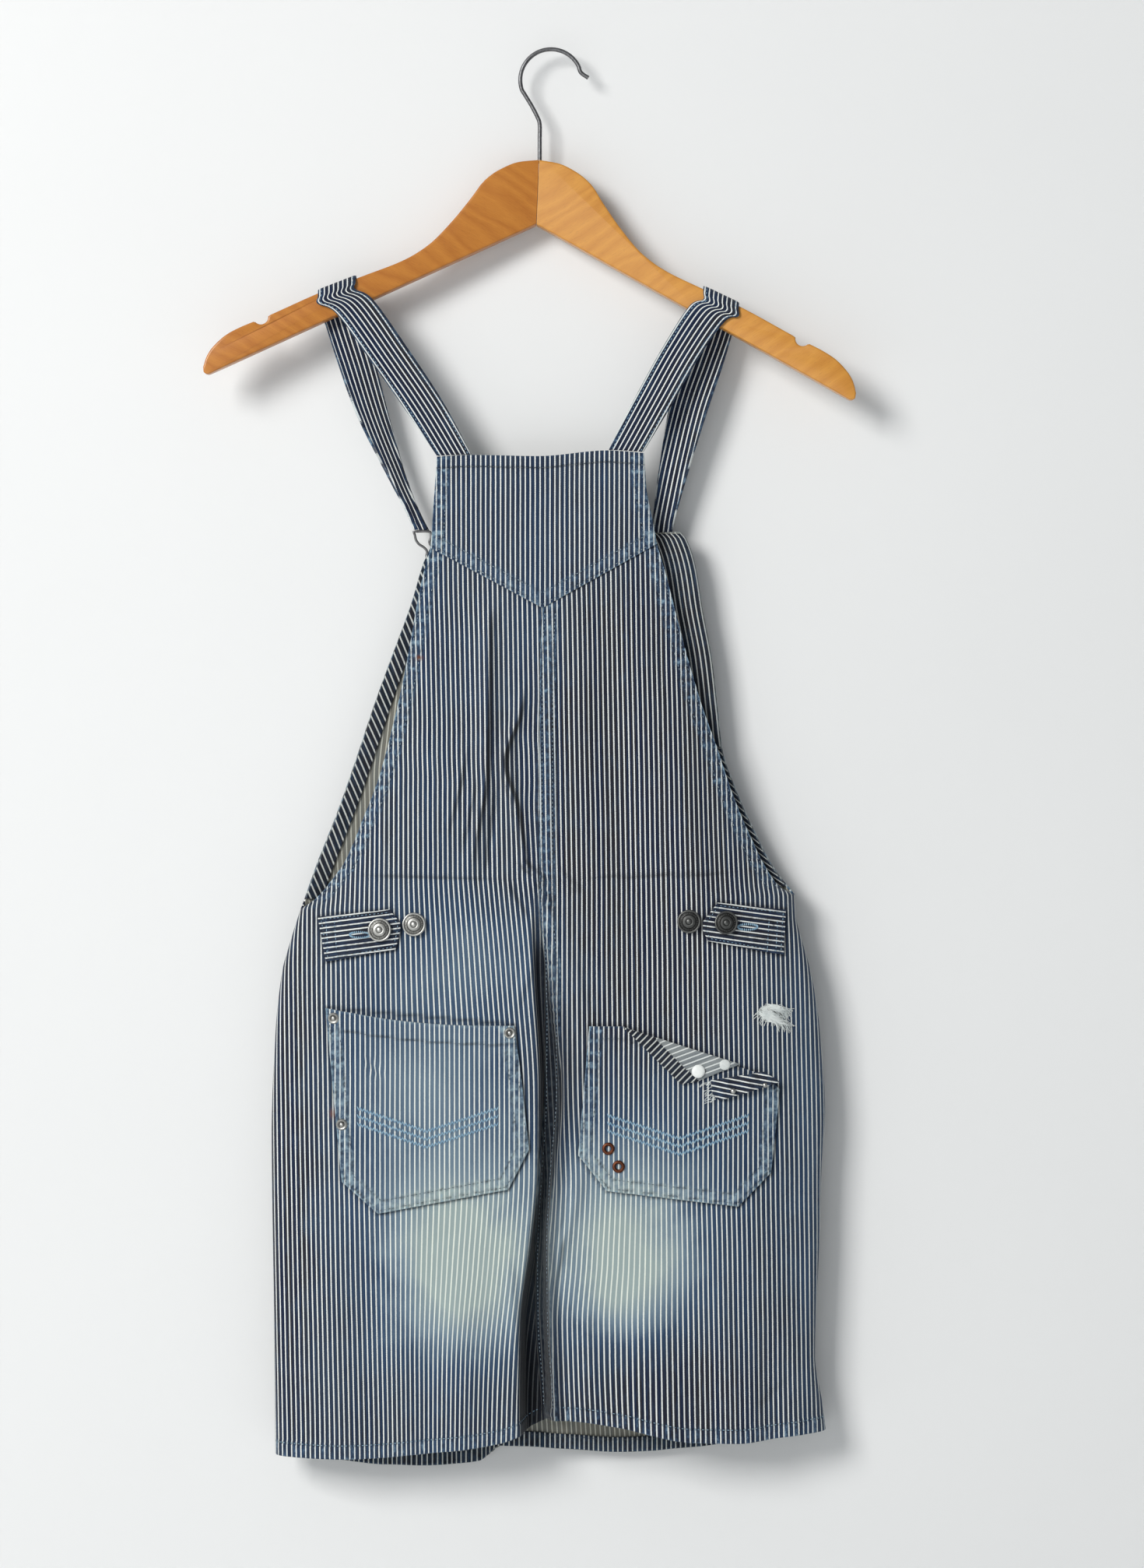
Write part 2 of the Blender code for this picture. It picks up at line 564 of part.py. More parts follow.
def front_panel():
    """The whole front in one piece, from the bib's top to the hem."""
    left_rows = row_heights(FRONT_LEFT_EDGE[0].z, LEFT_JUNCTION, FRONT_HEM[0][1])
    right_rows = row_heights(FRONT_RIGHT_EDGE[0].z, RIGHT_JUNCTION, FRONT_HEM[-1][1])
    rows = []
    for left_z, right_z in zip(left_rows, right_rows):
        left_x, right_x = front_left(left_z), front_right(right_z)
        width = right_x - left_x
        row = []
        for distance in spread(width, FRONT_STEPS, FRONT_STEPS, FRONT_COLUMNS):
            x = left_x + distance
            part = distance / width
            z = left_z + (right_z - left_z) * part
            straight = FRONT_HEM[0][1] + (FRONT_HEM[-1][1] - FRONT_HEM[0][1]) * part
            z += hem_row_share(left_z, FRONT_HEM[0][1]) * (smooth_value(FRONT_HEM, x) - straight)
            seam_end = 0
            if left_z <= LEFT_JUNCTION + 0.01 and distance == 0:
                seam_end = 1
            if left_z <= LEFT_JUNCTION + 0.01 and distance == width:
                seam_end = -1
            row.append((x, z, seam_end))
        rows.append(row)
    return panel_wall("front_panel", 1, rows, FINISHES["denim_inside"])


def back_yoke():
    """Pointed yoke between the straps and the two back panels."""
    columns = 16
    rows = 7
    outer, inner = [], []
    for j in range(rows + 1):
        outer_row, inner_row = [], []
        for i in range(columns + 1):
            part = i / columns
            down = j / rows
            x = YOKE_TOP[0][0] + (YOKE_TOP[-1][0] - YOKE_TOP[0][0]) * part
            z = smooth_value(YOKE_TOP, x)
            for _ in range(3):
                left, right = back_left(z), back_right(z)
                x = left + (right - left) * part
                z = smooth_value(YOKE_TOP, x) * (1 - down) + yoke_seam(x) * down
            outer_row.append(cloth_point(-1, x, z, YOKE_STEP))
            inner_row.append(cloth_point(-1, x, z, YOKE_STEP - YOKE_THICK))
        outer.append(outer_row)
        inner.append(inner_row)
    return wall_from_grids("back_yoke", outer, inner, FINISHES["denim"])


def front_facing(name, edge_at, inward, top, bottom):
    """Strip sewn inside an armhole edge of the front, seen through the armhole."""
    rows = 16
    outer, inner = [], []
    for j in range(rows + 1):
        z = top + (bottom - top) * j / rows
        outer_row, inner_row = [], []
        for distance in (0.4, FACING_WIDTH / 2, FACING_WIDTH):
            x = edge_at(z) + inward * distance
            outer_row.append(cloth_point(1, x, z, -DENIM - GAP))
            inner_row.append(cloth_point(1, x, z, -DENIM - GAP - FACING_THICK))
        outer.append(outer_row)
        inner.append(inner_row)
    return wall_from_grids(name, outer, inner, FINISHES["denim_dark"])


def faces_of(item):
    """Search tree over a piece's faces, in millimetres."""
    mesh = item.data
    return BVHTree.FromPolygons([vert.co / MM for vert in mesh.vertices],
                                [face.vertices[:] for face in mesh.polygons])


def resting_lift(place, normal, radius, below):
    """Height over a cloth point at which a piece this wide clears all that lies below it."""
    side = normal.orthogonal().normalized() * radius
    turns = [Matrix.Rotation(math.tau * k / 8, 3, normal) for k in range(8)]
    starts = [place] + [place + turn @ side for turn in turns if radius]
    highest = -GAP
    for start in starts:
        for tree in below:
            hit, _, _, distance = tree.ray_cast(start + normal * SEARCH, -normal)
            if hit:
                highest = max(highest, SEARCH - distance)
    return highest + GAP


def laid_point(x, z, lift, thick, below):
    """Point of a patch: on what lies below it, lifted, and through its thickness."""
    place, normal = cloth_point(-1, x, z, 0.0), cloth_normal(-1, x, z)
    return place + normal * (max(resting_lift(place, normal, 0.0, below), lift) + thick)


def front_hem_turnup(front):
    """Turned-up hem inside the front, seen where the back hem lifts at the pleat."""
    left, right = FRONT_HEM[0][0], FRONT_HEM[-1][0]
    across = [left + step for step in spread(right - left, FRONT_STEPS, FRONT_STEPS, FRONT_COLUMNS)]
    skipped = len(FRONT_STEPS)
    tree = faces_of(front)
    outer, inner = [], []
    for height in (HEM_DEPTH, HEM_DEPTH / 2, 0.6):
        outer_row, inner_row = [], []
        for x in across[skipped:-skipped]:
            z = smooth_value(FRONT_HEM, x) + height
            normal = cloth_normal(1, x, z)
            start = cloth_point(1, x, z, -SEARCH)
            hit, _, _, distance = tree.ray_cast(start, normal)
            reach = distance if hit else SEARCH - DENIM
            outer_row.append(start + normal * (reach - TURNUP_CLEAR))
            inner_row.append(start + normal * (reach - TURNUP_CLEAR - FACING_THICK))
        outer.append(outer_row)
        inner.append(inner_row)
    return wall_from_grids("front_hem_turnup", outer, inner, FINISHES["denim_dark"])


def patch(name, outline, step, lift, thick, finish, below, reshape=None):
    """Solid lying on the back: a flat convex outline laid over the cloth's own points.

    below lists the pieces it rests on; reshape takes a point's place and gives its moved
    height and an extra lift.
    """
    trees = [faces_of(item) for item in below]
    centre = sum((Vector((x, z)) for x, z in outline), Vector((0, 0))) / len(outline)
    lows = [min(point[axis] for point in outline) for axis in (0, 1)]
    highs = [max(point[axis] for point in outline) for axis in (0, 1)]
    shape = bmesh.new()
    cells = [max(1, round((highs[axis] - lows[axis]) / step)) for axis in (0, 1)]
    bmesh.ops.create_grid(shape, x_segments=cells[0], y_segments=cells[1], size=0.5)
    for vert in shape.verts:
        vert.co = Vector((lows[0] + (vert.co.x + 0.5) * (highs[0] - lows[0]), 0.0,
                          lows[1] + (vert.co.y + 0.5) * (highs[1] - lows[1])))
    for (x0, z0), (x1, z1) in zip(outline, outline[1:] + outline[:1]):
        outward = Vector((z1 - z0, 0.0, x0 - x1))
        if outward.dot(Vector((centre.x - x0, 0.0, centre.y - z0))) > 0:
            outward.negate()
        everything = shape.verts[:] + shape.edges[:] + shape.faces[:]
        bmesh.ops.bisect_plane(shape, geom=everything, dist=0.05, plane_co=(x0, 0.0, z0),
                               plane_no=outward, clear_outer=True)
    bmesh.ops.remove_doubles(shape, verts=shape.verts, dist=0.6)
    bmesh.ops.dissolve_degenerate(shape, edges=shape.edges, dist=0.1)
    sheet = shape.faces[:]
    plain = {vert: vert.co.copy() for vert in shape.verts}
    copies = bmesh.ops.duplicate(shape, geom=shape.verts[:] + shape.edges[:] + sheet)
    twin = copies["vert_map"]
    for vert, place in plain.items():
        height, extra = reshape(place.x, place.z) if reshape else (place.z, 0.0)
        vert.co = laid_point(place.x, height, lift, thick + extra, trees)
        twin[vert].co = laid_point(place.x, height, lift, extra, trees)
    for edge in [edge for edge in shape.edges if edge.is_boundary and edge.verts[0] in plain]:
        first, second = edge.verts
        shape.faces.new((first, second, twin[second], twin[first]))
    return finish_mesh(name, shape, finish)


def left_mouth(x, z):
    """Sag of the left pocket's mouth, fading downwards, and a slight gape."""
    (x0, z0), (x1, z1) = LEFT_POCKET[0], LEFT_POCKET[1]
    part = min(max((x - x0) / (x1 - x0), 0.0), 1.0)
    below = (z0 + (z1 - z0) * part) - z
    near_mouth = 1.0 - ease(below / 45.0)
    bow = math.sin(math.pi * part)
    return z - LEFT_POCKET_SAG * bow * near_mouth, 1.6 * bow * near_mouth ** 2


def corner_lift(x, z):
    """Lift of the turned-out corner, growing away from its fold."""
    (x0, z0), (x1, z1) = TURNED_CORNER[0], TURNED_CORNER[1]
    along = Vector((x1 - x0, z1 - z0)).normalized()
    away = abs(along.x * (z - z0) - along.y * (x - x0))
    return z, 0.06 * away


def tail_lift(x, z):
    """Crumple of the small end piece of that corner."""
    return z, 0.7 + 0.6 * math.sin(x * 0.42) + 0.03 * (x - CORNER_TAIL[0][0])


def over_hanger(mirror, x):
    """Middle line of a strap's border over the hanger, from the back to the wall side."""
    top = 0.0
    for _ in range(6):
        along = (x - HANGER_PIVOT[0] - top * math.sin(HANGER_TILT)) / math.cos(HANGER_TILT)
        top = arm_top(abs(along))
    along = abs(along)
    inside = HANGER_THICK / 2 - HANGER_CORNER
    radius = HANGER_CORNER + STRAP_CLEAR + STRAP_THICK / 2
    shoulder = top - HANGER_CORNER
    line = [(-inside - radius, shoulder - 5.0)]
    for middle, angles in ((-inside, (180, 135, 95)), (inside, (85, 45, 0))):
        for angle in (math.radians(degrees) for degrees in angles):
            line.append((middle + radius * math.cos(angle), shoulder + radius * math.sin(angle)))
    line.append((inside + radius, shoulder - 5.0))
    return [hanger_point(along, across, height, mirror) for across, height in line]


def strap(name, mirror, up, over, down):
    """Band up the back, over the hanger and down inside, as thick as each station says."""
    count = 41
    crossing = [over_hanger(mirror, x) for x in over]
    left_line = ([(row.left_x, row.left_y, row.left_z) for row in up] + crossing[0]
                 + [(row.left_x, row.left_y, row.left_z) for row in down])
    right_line = ([(row.right_x, row.right_y, row.right_z) for row in up] + crossing[1]
                  + [(row.right_x, row.right_y, row.right_z) for row in down])
    layers = ([(row.thick, 0, 0) for row in up] + [(STRAP_THICK, 0, 0)] * len(crossing[0])
              + [(row.thick, 0, 0) for row in down])
    lefts, rights = through(left_line, count), through(right_line, count)
    thick = through(layers, count)
    outer, inner = [], []
    for k in range(count):
        before, after = max(k - 1, 0), min(k + 1, count - 1)
        outer_row, inner_row = [], []
        for part in (0.0, 0.5, 1.0):
            here = lefts[k].lerp(rights[k], part)
            along = lefts[after].lerp(rights[after], part) - lefts[before].lerp(rights[before], part)
            normal = (rights[k] - lefts[k]).cross(along).normalized()
            outer_row.append(here + normal * thick[k].x / 2)
            inner_row.append(here - normal * thick[k].x / 2)
        outer.append(outer_row)
        inner.append(inner_row)
    return wall_from_grids(name, outer, inner, FINISHES["denim"])


def turned(name, profile, sides, place, direction, finish, hollow=False):
    """Round piece from a profile of (radius, height), stood on a point along a direction."""
    shape = bmesh.new()
    verts = [shape.verts.new((radius, 0.0, height)) for radius, height in profile]
    loop = list(zip(verts, verts[1:])) + ([(verts[-1], verts[0])] if hollow else [])
    edges = [shape.edges.new(pair) for pair in loop]
    bmesh.ops.spin(shape, geom=verts + edges, cent=(0, 0, 0), axis=(0, 0, 1),
                   angle=math.tau, steps=sides, use_merge=True, use_duplicate=False)
    bmesh.ops.remove_doubles(shape, verts=shape.verts, dist=0.01)
    turn = Vector((0, 0, 1)).rotation_difference(direction).to_matrix().to_4x4()
    bmesh.ops.transform(shape, matrix=Matrix.Translation(place) @ turn, verts=shape.verts)
    return finish_mesh(name, shape, finish)


def on_back(name, profile, sides, spot, below, finish, hollow=False):
    """Round piece standing on the pieces below it, square to the back there."""
    place, normal = cloth_point(-1, *spot, 0.0), cloth_normal(-1, *spot)
    foot = max(radius for radius, height in profile if height < 0.1)
    lift = resting_lift(place, normal, foot, [faces_of(item) for item in below])
    return turned(name, profile, sides, place + normal * lift, normal, finish, hollow)


def button_profile(radius, neck, tall):
    """Domed tack button on its neck, from the cloth up."""
    rim = tall + 0.5
    return ((0, 0), (neck, 0), (neck, tall), (radius - 0.5, tall), (radius, rim + 0.3),
            (radius - 0.6, rim + 1.1), (radius * 0.55, rim + 2.1), (0, rim + 2.5))


def rivet_profile(radius, tall):
    """Low round rivet head."""
    return ((0, 0), (radius, 0), (radius, tall * 0.4), (radius * 0.72, tall), (0, tall * 0.8))


def wire(name, route, diameter, resolution, closed, finish):
    """Round wire along a route, ends capped."""
    data = bpy.data.curves.new(name, "CURVE")
    data.dimensions = "3D"
    data.bevel_depth = diameter / 2 * MM
    data.bevel_resolution = resolution
    data.use_fill_caps = not closed
    spline = data.splines.new("POLY")
    spline.points.add(len(route) - 1)
    for point, place in zip(spline.points, route):
        point.co = (place[0] * MM, place[1] * MM, place[2] * MM, 1.0)
    spline.use_cyclic_u = closed
    material = bpy.data.materials.new(name)
    material.use_nodes = True
    shader = material.node_tree.nodes["Principled BSDF"]
    shader.inputs["Base Color"].default_value = (*finish.colour, 1.0)
    shader.inputs["Roughness"].default_value = finish.roughness
    shader.inputs["Metallic"].default_value = finish.metallic
    data.materials.append(material)
    item = bpy.data.objects.new(name, data)
    bpy.context.collection.objects.link(item)
    return item


def hanger_point(along, across, height, mirror):
    """Point of the hanger from its own frame, bowed and tilted as it hangs."""
    x = mirror * along
    y = across - HANGER_BOW * along / HANGER_LENGTH
    turned_x = x * math.cos(HANGER_TILT) + height * math.sin(HANGER_TILT)
    turned_z = -x * math.sin(HANGER_TILT) + height * math.cos(HANGER_TILT)
    return Vector((HANGER_PIVOT[0] + turned_x, y, HANGER_PIVOT[1] + turned_z))


def arm_top(along):
    """Height of the hanger's top edge in its own frame."""
    return smooth_value([(row.along, row.top) for row in ARM_TOP], along)


def hanger_arm(name, mirror):
    """Half of the hanger: rounded sections lofted from the mitre to the tip, and a notch."""
    shape = bmesh.new()
    rings = []
    for along in ARM_STATIONS:
        top = arm_top(along)
        bottom = ARM_BOTTOM_AT_MITRE + ARM_BOTTOM_SLOPE * along
        if along > 226.0:
            bottom += (along - 226.0) ** 2 * 0.16
        half = (top - bottom) / 2
        middle = (top + bottom) / 2
        slim = HANGER_THICK / 2 * (1.0 if along < 215 else 1.0 - 0.35 * ease((along - 215) / 16))
        corner = min(HANGER_CORNER, half * 0.6)
        ring = []
        for turn, (sign_y, sign_z) in enumerate(((1, 1), (-1, 1), (-1, -1), (1, -1))):
            for k in range(3):
                angle = math.pi / 2 * (turn + k / 2)
                y = sign_y * (slim - corner) + corner * math.cos(angle)
                z = middle + sign_z * (half - corner) + corner * math.sin(angle)
                ring.append(shape.verts.new(hanger_point(along, y, z, mirror)))
        rings.append(ring)
    for first, second in zip(rings, rings[1:]):
        for k in range(len(first)):
            following = (k + 1) % len(first)
            shape.faces.new((first[k], first[following], second[following], second[k]))
    shape.faces.new(rings[0])
    shape.faces.new(rings[-1])
    arm = finish_mesh(name, shape, FINISHES["wood"])
    centre = hanger_point(NOTCH_CENTRE[0], 0.0, NOTCH_CENTRE[1], mirror)
    hole = bmesh.new()
    bmesh.ops.create_cone(hole, cap_ends=True, segments=16, radius1=NOTCH_RADIUS,
                          radius2=NOTCH_RADIUS, depth=40.0)
    quarter = Matrix.Rotation(math.radians(90), 4, "X")
    bmesh.ops.transform(hole, matrix=Matrix.Translation(centre) @ quarter, verts=hole.verts)
    cut_by(arm, finish_mesh(name + "_notch", hole, FINISHES["wood"]))
    return arm


def hanger_hook():
    """Wire hook: straight shank, round top and turned-out end."""
    route = [(x, 0.0, z) for x, z in HOOK_SHANK]
    for k in range(15):
        angle = math.radians(198 - 184 * k / 14)
        route.append((HOOK_CENTRE[0] + HOOK_RADIUS * math.cos(angle), 0.0,
                      HOOK_CENTRE[1] + HOOK_RADIUS * math.sin(angle)))
    route.append((HOOK_END[0], 0.0, HOOK_END[1]))
    return wire("hanger_hook", route, HOOK_WIRE, 2, False, FINISHES["steel_wire"])


def bib_hook(name, route):
    """Closed wire loop between a strap's end and its bib button."""
    flat = MID_Y + DEPTHS[0].front + BIB_CLEAR + BIB_WIRE / 2
    loop = [(x, max(flat, cloth_point(1, x, z, BIB_CLEAR + BIB_WIRE / 2).y), z) for x, z in route]
    return wire(name, loop, BIB_WIRE, 1, True, FINISHES["steel_wire"])


def build_hanger():
    hanger_arm("hanger_left_arm", -1)
    hanger_arm("hanger_right_arm", 1)
    hanger_hook()


def build_body():
    back_yoke()
    left = back_panel("back_left_panel", True)
    right = back_panel("back_right_panel", False)
    hole = bmesh.new()
    bmesh.ops.create_cone(hole, cap_ends=True, segments=10, radius1=1.0, radius2=1.0, depth=30.0)
    bmesh.ops.scale(hole, vec=(TEAR_HALF[0], TEAR_HALF[1], 1.0), verts=hole.verts)
    centre = cloth_point(-1, TEAR_CENTRE[0], TEAR_CENTRE[1], 0.0)
    quarter = Matrix.Rotation(math.radians(90), 4, "X")
    bmesh.ops.transform(hole, matrix=Matrix.Translation(centre) @ quarter, verts=hole.verts)
    cut_by(right, finish_mesh("tear_cutter", hole, FINISHES["denim"]))
    front = front_panel()
    front_facing("front_left_facing", front_left, 1, FRONT_LEFT_EDGE[0].z - 0.5, -598.0)
    front_facing("front_right_facing", front_right, -1, FRONT_RIGHT_EDGE[1].z, -588.0)
    front_hem_turnup(front)
    return left, right


def build_straps():
    strap("strap_left", -1, LEFT_STRAP_UP, LEFT_STRAP_OVER, LEFT_STRAP_DOWN)
    strap("strap_right", 1, RIGHT_STRAP_UP, RIGHT_STRAP_OVER, RIGHT_STRAP_DOWN)
    bib_hook("bib_hook_left", LEFT_BIB_HOOK)
    bib_hook("bib_hook_right", RIGHT_BIB_HOOK)
    for name, (x, z) in (("left", LEFT_BIB_BUTTON), ("right", RIGHT_BIB_BUTTON)):
        place = cloth_point(1, x, z, GAP)
        turned("bib_button_" + name, button_profile(7.5, 2.6, 2.4), 14, place,
               cloth_normal(1, x, z), FINISHES["tack_metal"])


def build_patches(panels):
    """Pockets and tabs on the back panels; the right pocket's corner lies over the pocket."""
    left, right = panels
    pieces = {"pocket_left": patch("pocket_left", LEFT_POCKET, POCKET_STEP, GAP, PATCH,
                                   FINISHES["denim_faded"], [left], left_mouth),
              "pocket_right": patch("pocket_right", RIGHT_POCKET, POCKET_STEP, GAP, PATCH,
                                    FINISHES["denim_faded"], [right]),
              "tab_left": patch("waist_tab_left", LEFT_TAB, 9.0, GAP, PATCH,
                                FINISHES["denim_dark"], [left]),
              "tab_right": patch("waist_tab_right", RIGHT_TAB, 9.0, GAP, PATCH,
                                 FINISHES["denim_dark"], [right])}
    pocket = [right, pieces["pocket_right"]]
    pieces["corner"] = patch("pocket_right_turned_corner", TURNED_CORNER, 12.0, ON_PATCH, FLAP,
                             FINISHES["denim_inside"], pocket, corner_lift)
    pieces["tail"] = patch("pocket_right_corner_tail", CORNER_TAIL, 7.0, ON_PATCH, FLAP,
                           FINISHES["denim_dark"], pocket, tail_lift)
    return pieces


def build_metal(panels, patches):
    """Buttons, rivets and eyelets, each on the piece that carries it."""
    left, right = panels
    for name, x, z, carrier in TAB_BUTTONS:
        below = {"tab_left": [patches["tab_left"]], "tab_right": [patches["tab_right"]],
                 "left": [left], "right": [right]}[carrier]
        tall = TAB_BUTTON_NECK if carrier.startswith("tab") else PANEL_BUTTON_NECK
        on_back("tab_button_" + name, button_profile(BUTTON_RADIUS, 3.2, tall), 16, (x, z),
                below, FINISHES["tack_metal"])
    for number, spot in enumerate(POCKET_RIVETS, 1):
        on_back(f"pocket_rivet_{number}", rivet_profile(RIVET_RADIUS, 1.5), 12, spot,
                [left, patches["pocket_left"]], FINISHES["tack_metal"])
    for number, spot in enumerate(POCKET_EYELETS, 1):
        on_back(f"pocket_eyelet_{number}", EYELET_PROFILE, 12, spot,
                [patches["pocket_right"]], FINISHES["copper"], True)
    for number, spot in enumerate(CORNER_CAPS, 1):
        on_back(f"corner_rivet_cap_{number}", rivet_profile(4.6, 1.3), 12, spot,
                [patches["corner"]], FINISHES["white_cap"])
    for number, spot in enumerate(CORNER_POINTS, 1):
        on_back(f"corner_rivet_point_{number}", rivet_profile(1.9, 1.6), 8, spot,
                [patches["tail"]], FINISHES["tack_metal"])


def main():
    for item in list(bpy.data.objects):
        bpy.data.objects.remove(item)
    build_hanger()
    panels = build_body()
    build_straps()
    patches = build_patches(panels)
    build_metal(panels, patches)


main()
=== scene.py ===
"""Looks of a striped denim overall skirt that hangs by its straps on a wooden hanger.

Tables are in millimetres and meshes in metres. X runs across the garment, +Y from the viewer
to the wall and Z up. The origin is the inside top of the hanger's hook. Every cloth piece is
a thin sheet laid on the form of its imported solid, with the finer creases, seams and stitches.
"""
from __future__ import annotations

import logging
import math
from dataclasses import dataclass, replace
from enum import Enum
from typing import Any, Callable, Sequence

import bmesh
import bpy
import numpy as np
from mathutils import Matrix, Vector

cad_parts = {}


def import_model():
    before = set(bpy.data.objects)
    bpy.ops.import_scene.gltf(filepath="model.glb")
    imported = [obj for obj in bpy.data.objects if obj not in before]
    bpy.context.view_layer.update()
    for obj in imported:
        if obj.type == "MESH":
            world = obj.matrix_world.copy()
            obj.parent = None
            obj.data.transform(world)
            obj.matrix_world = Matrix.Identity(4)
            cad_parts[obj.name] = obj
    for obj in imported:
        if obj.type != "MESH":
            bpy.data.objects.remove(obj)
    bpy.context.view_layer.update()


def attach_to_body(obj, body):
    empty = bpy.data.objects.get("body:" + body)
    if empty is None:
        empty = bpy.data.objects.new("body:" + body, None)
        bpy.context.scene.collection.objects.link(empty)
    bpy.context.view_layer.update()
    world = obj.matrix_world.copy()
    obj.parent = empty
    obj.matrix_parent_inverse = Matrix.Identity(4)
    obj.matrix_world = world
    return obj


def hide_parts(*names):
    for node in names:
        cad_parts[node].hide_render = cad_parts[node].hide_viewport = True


LOG = logging.getLogger("overall_skirt")
MM = 0.001
PER_METRE = 1000.0
GRAIN = "grain"      # UV map: distances across and along the stripes
WORN = "worn"        # attribute: how faded or how brightly rubbed
PAINTED_SHADE = "painted_shade"        # attribute: painted shade in folds, grooves and beside sewn-on pieces
Array = np.ndarray
Pairs = tuple[tuple[float, float], ...]
BODY = "root"


class Layer(Enum):
    """The two layers of the hanging garment, by the way they face."""

    BACK = -1
    FRONT = 1


class Held(Enum):
    """How a sheet of cloth is held."""

    HUNG = "hung"
    FOLDED = "folded"


# ------------------------------------------------------------------ numbers

def ease(t: Array | float) -> Array:
    """Smooth step from 0 to 1."""
    t = np.clip(t, 0.0, 1.0)
    return t * t * (3.0 - 2.0 * t)


def bell(distance: Array | float, width: float) -> Array:
    """Round hump of height 1 that ends at a width from its middle."""
    away = np.clip(np.abs(distance) / width, 0.0, 1.0)
    return 0.5 + 0.5 * np.cos(math.pi * away)


def curve(points: Sequence[Sequence[float]], keys: Array | float) -> Array:
    """Read a curve through (key, value) pairs that never overshoots them.

    Args:
        points: The pairs, in any order.
        keys: Where to read it.

    Returns:
        The values, held at the first and last pair outside them.
    """
    ordered = np.array(sorted(points), float)
    x, y = ordered[:, 0], ordered[:, 1]
    keys = np.clip(np.asarray(keys, float), x[0], x[-1])
    slope = np.diff(y) / np.diff(x)
    tangent = np.empty_like(y)
    tangent[0], tangent[-1] = slope[0], slope[-1]
    before, after = slope[:-1], slope[1:]
    turns = before * after <= 0
    total = np.where(turns, 1.0, before + after)
    tangent[1:-1] = np.where(turns, 0.0, 2.0 * before * after / total)
    at = np.clip(np.searchsorted(x, keys, side="left") - 1, 0, len(x) - 2)
    span = x[at + 1] - x[at]
    t = (keys - x[at]) / span
    return ((2 * t ** 3 - 3 * t ** 2 + 1) * y[at] + (t ** 3 - 2 * t ** 2 + t) * span * tangent[at]
            + (3 * t ** 2 - 2 * t ** 3) * y[at + 1] + (t ** 3 - t ** 2) * span * tangent[at + 1])


def ripple(place: Array | float, length: float, seed: float) -> Array:
    """Uneven wave along a seam, between about -1 and 1, from three sines that never line up."""
    turn = math.tau * np.asarray(place, float) / length
    return (0.5 * np.sin(turn + seed) + 0.3 * np.sin(1.73 * turn + 2.1 * seed)
            + 0.2 * np.sin(0.41 * turn + 3.7 * seed))


def mottle(place: Array | float, length: float, seed: float) -> Array:
    """The same wave between about 0 and 1."""
    return 0.5 + 0.5 * ripple(place, length, seed)


def noise_of(number: int, *turns: float) -> tuple[float, ...]:
    """Scattered shares from 0 to 1 that belong to a number, always the same ones."""
    return tuple(math.sin(number * turn) * 0.5 + 0.5 for turn in turns)


def through(points: Sequence[Sequence[float]], count: int) -> Array:
    """Evenly numbered points of a smooth curve through the given ones.

    Args:
        points: The points to pass through.
        count: How many points to return.

    Returns:
        One row a point.
    """
    given = np.asarray(points, float)
    place = np.linspace(0.0, len(given) - 1, count)
    i = np.minimum(place.astype(int), len(given) - 2)
    t = (place - i)[:, None]
    padded = np.vstack([2 * given[0] - given[1], given, 2 * given[-1] - given[-2]])
    p0, p1, p2, p3 = (padded[i + k] for k in range(4))
    return 0.5 * (2 * p1 + (p2 - p0) * t + (2 * p0 - 5 * p1 + 4 * p2 - p3) * t ** 2
                  + (3 * p1 - p0 - 3 * p2 + p3) * t ** 3)


def steps(parts: Sequence[tuple[float, float]], start: float = 0.0) -> Array:
    """Distances from a start: each part gives where it ends and its step."""
    line = [start]
    for end, step in parts:
        count = max(1, round((end - line[-1]) / step))
        line += list(np.linspace(line[-1], end, count + 1)[1:])
    return np.array(line)


def along_lengths(points: Array) -> Array:
    """Running length of a line of points, from 0."""
    hops = np.linalg.norm(np.diff(points, axis=0), axis=1)
    return np.concatenate([[0.0], np.cumsum(hops)])


# ------------------------------------------------------------------ form of the hanging cloth

Route = tuple[tuple[float, float, float], ...]


@dataclass(frozen=True)
class Crease:
    """Soft ridge or trough: half width, and rows of height, place across and how far it stands."""

    width: float
    route: Route

    def height(self, x: Array, z: Array) -> Array:
        """How far it stands out at points of the cloth."""
        heights = [row[0] for row in self.route]
        inside = (z > min(heights)) & (z < max(heights))
        middle = curve([(row[0], row[1]) for row in self.route], z)
        rise = curve([(row[0], row[2]) for row in self.route], z)
        return np.where(inside, rise * bell(x - middle, self.width), 0.0)


@dataclass(frozen=True)
class Pinch:
    """Crease that turns its own way: two ends, half width and how far it stands out."""

    x0: float
    z0: float
    x1: float
    z1: float
    width: float
    rise: float

    def height(self, x: Array, z: Array) -> Array:
        """How far it stands out at points of the cloth."""
        length = math.hypot(self.x1 - self.x0, self.z1 - self.z0)
        ux, uz = (self.x1 - self.x0) / length, (self.z1 - self.z0) / length
        along = (x - self.x0) * ux + (z - self.z0) * uz
        across = (x - self.x0) * uz - (z - self.z0) * ux + 0.06 * self.width * np.sin(along * 0.35)
        ends = ease(along / (0.3 * length)) * ease((length - along) / (0.3 * length))
        return self.rise * ends * bell(across, self.width)


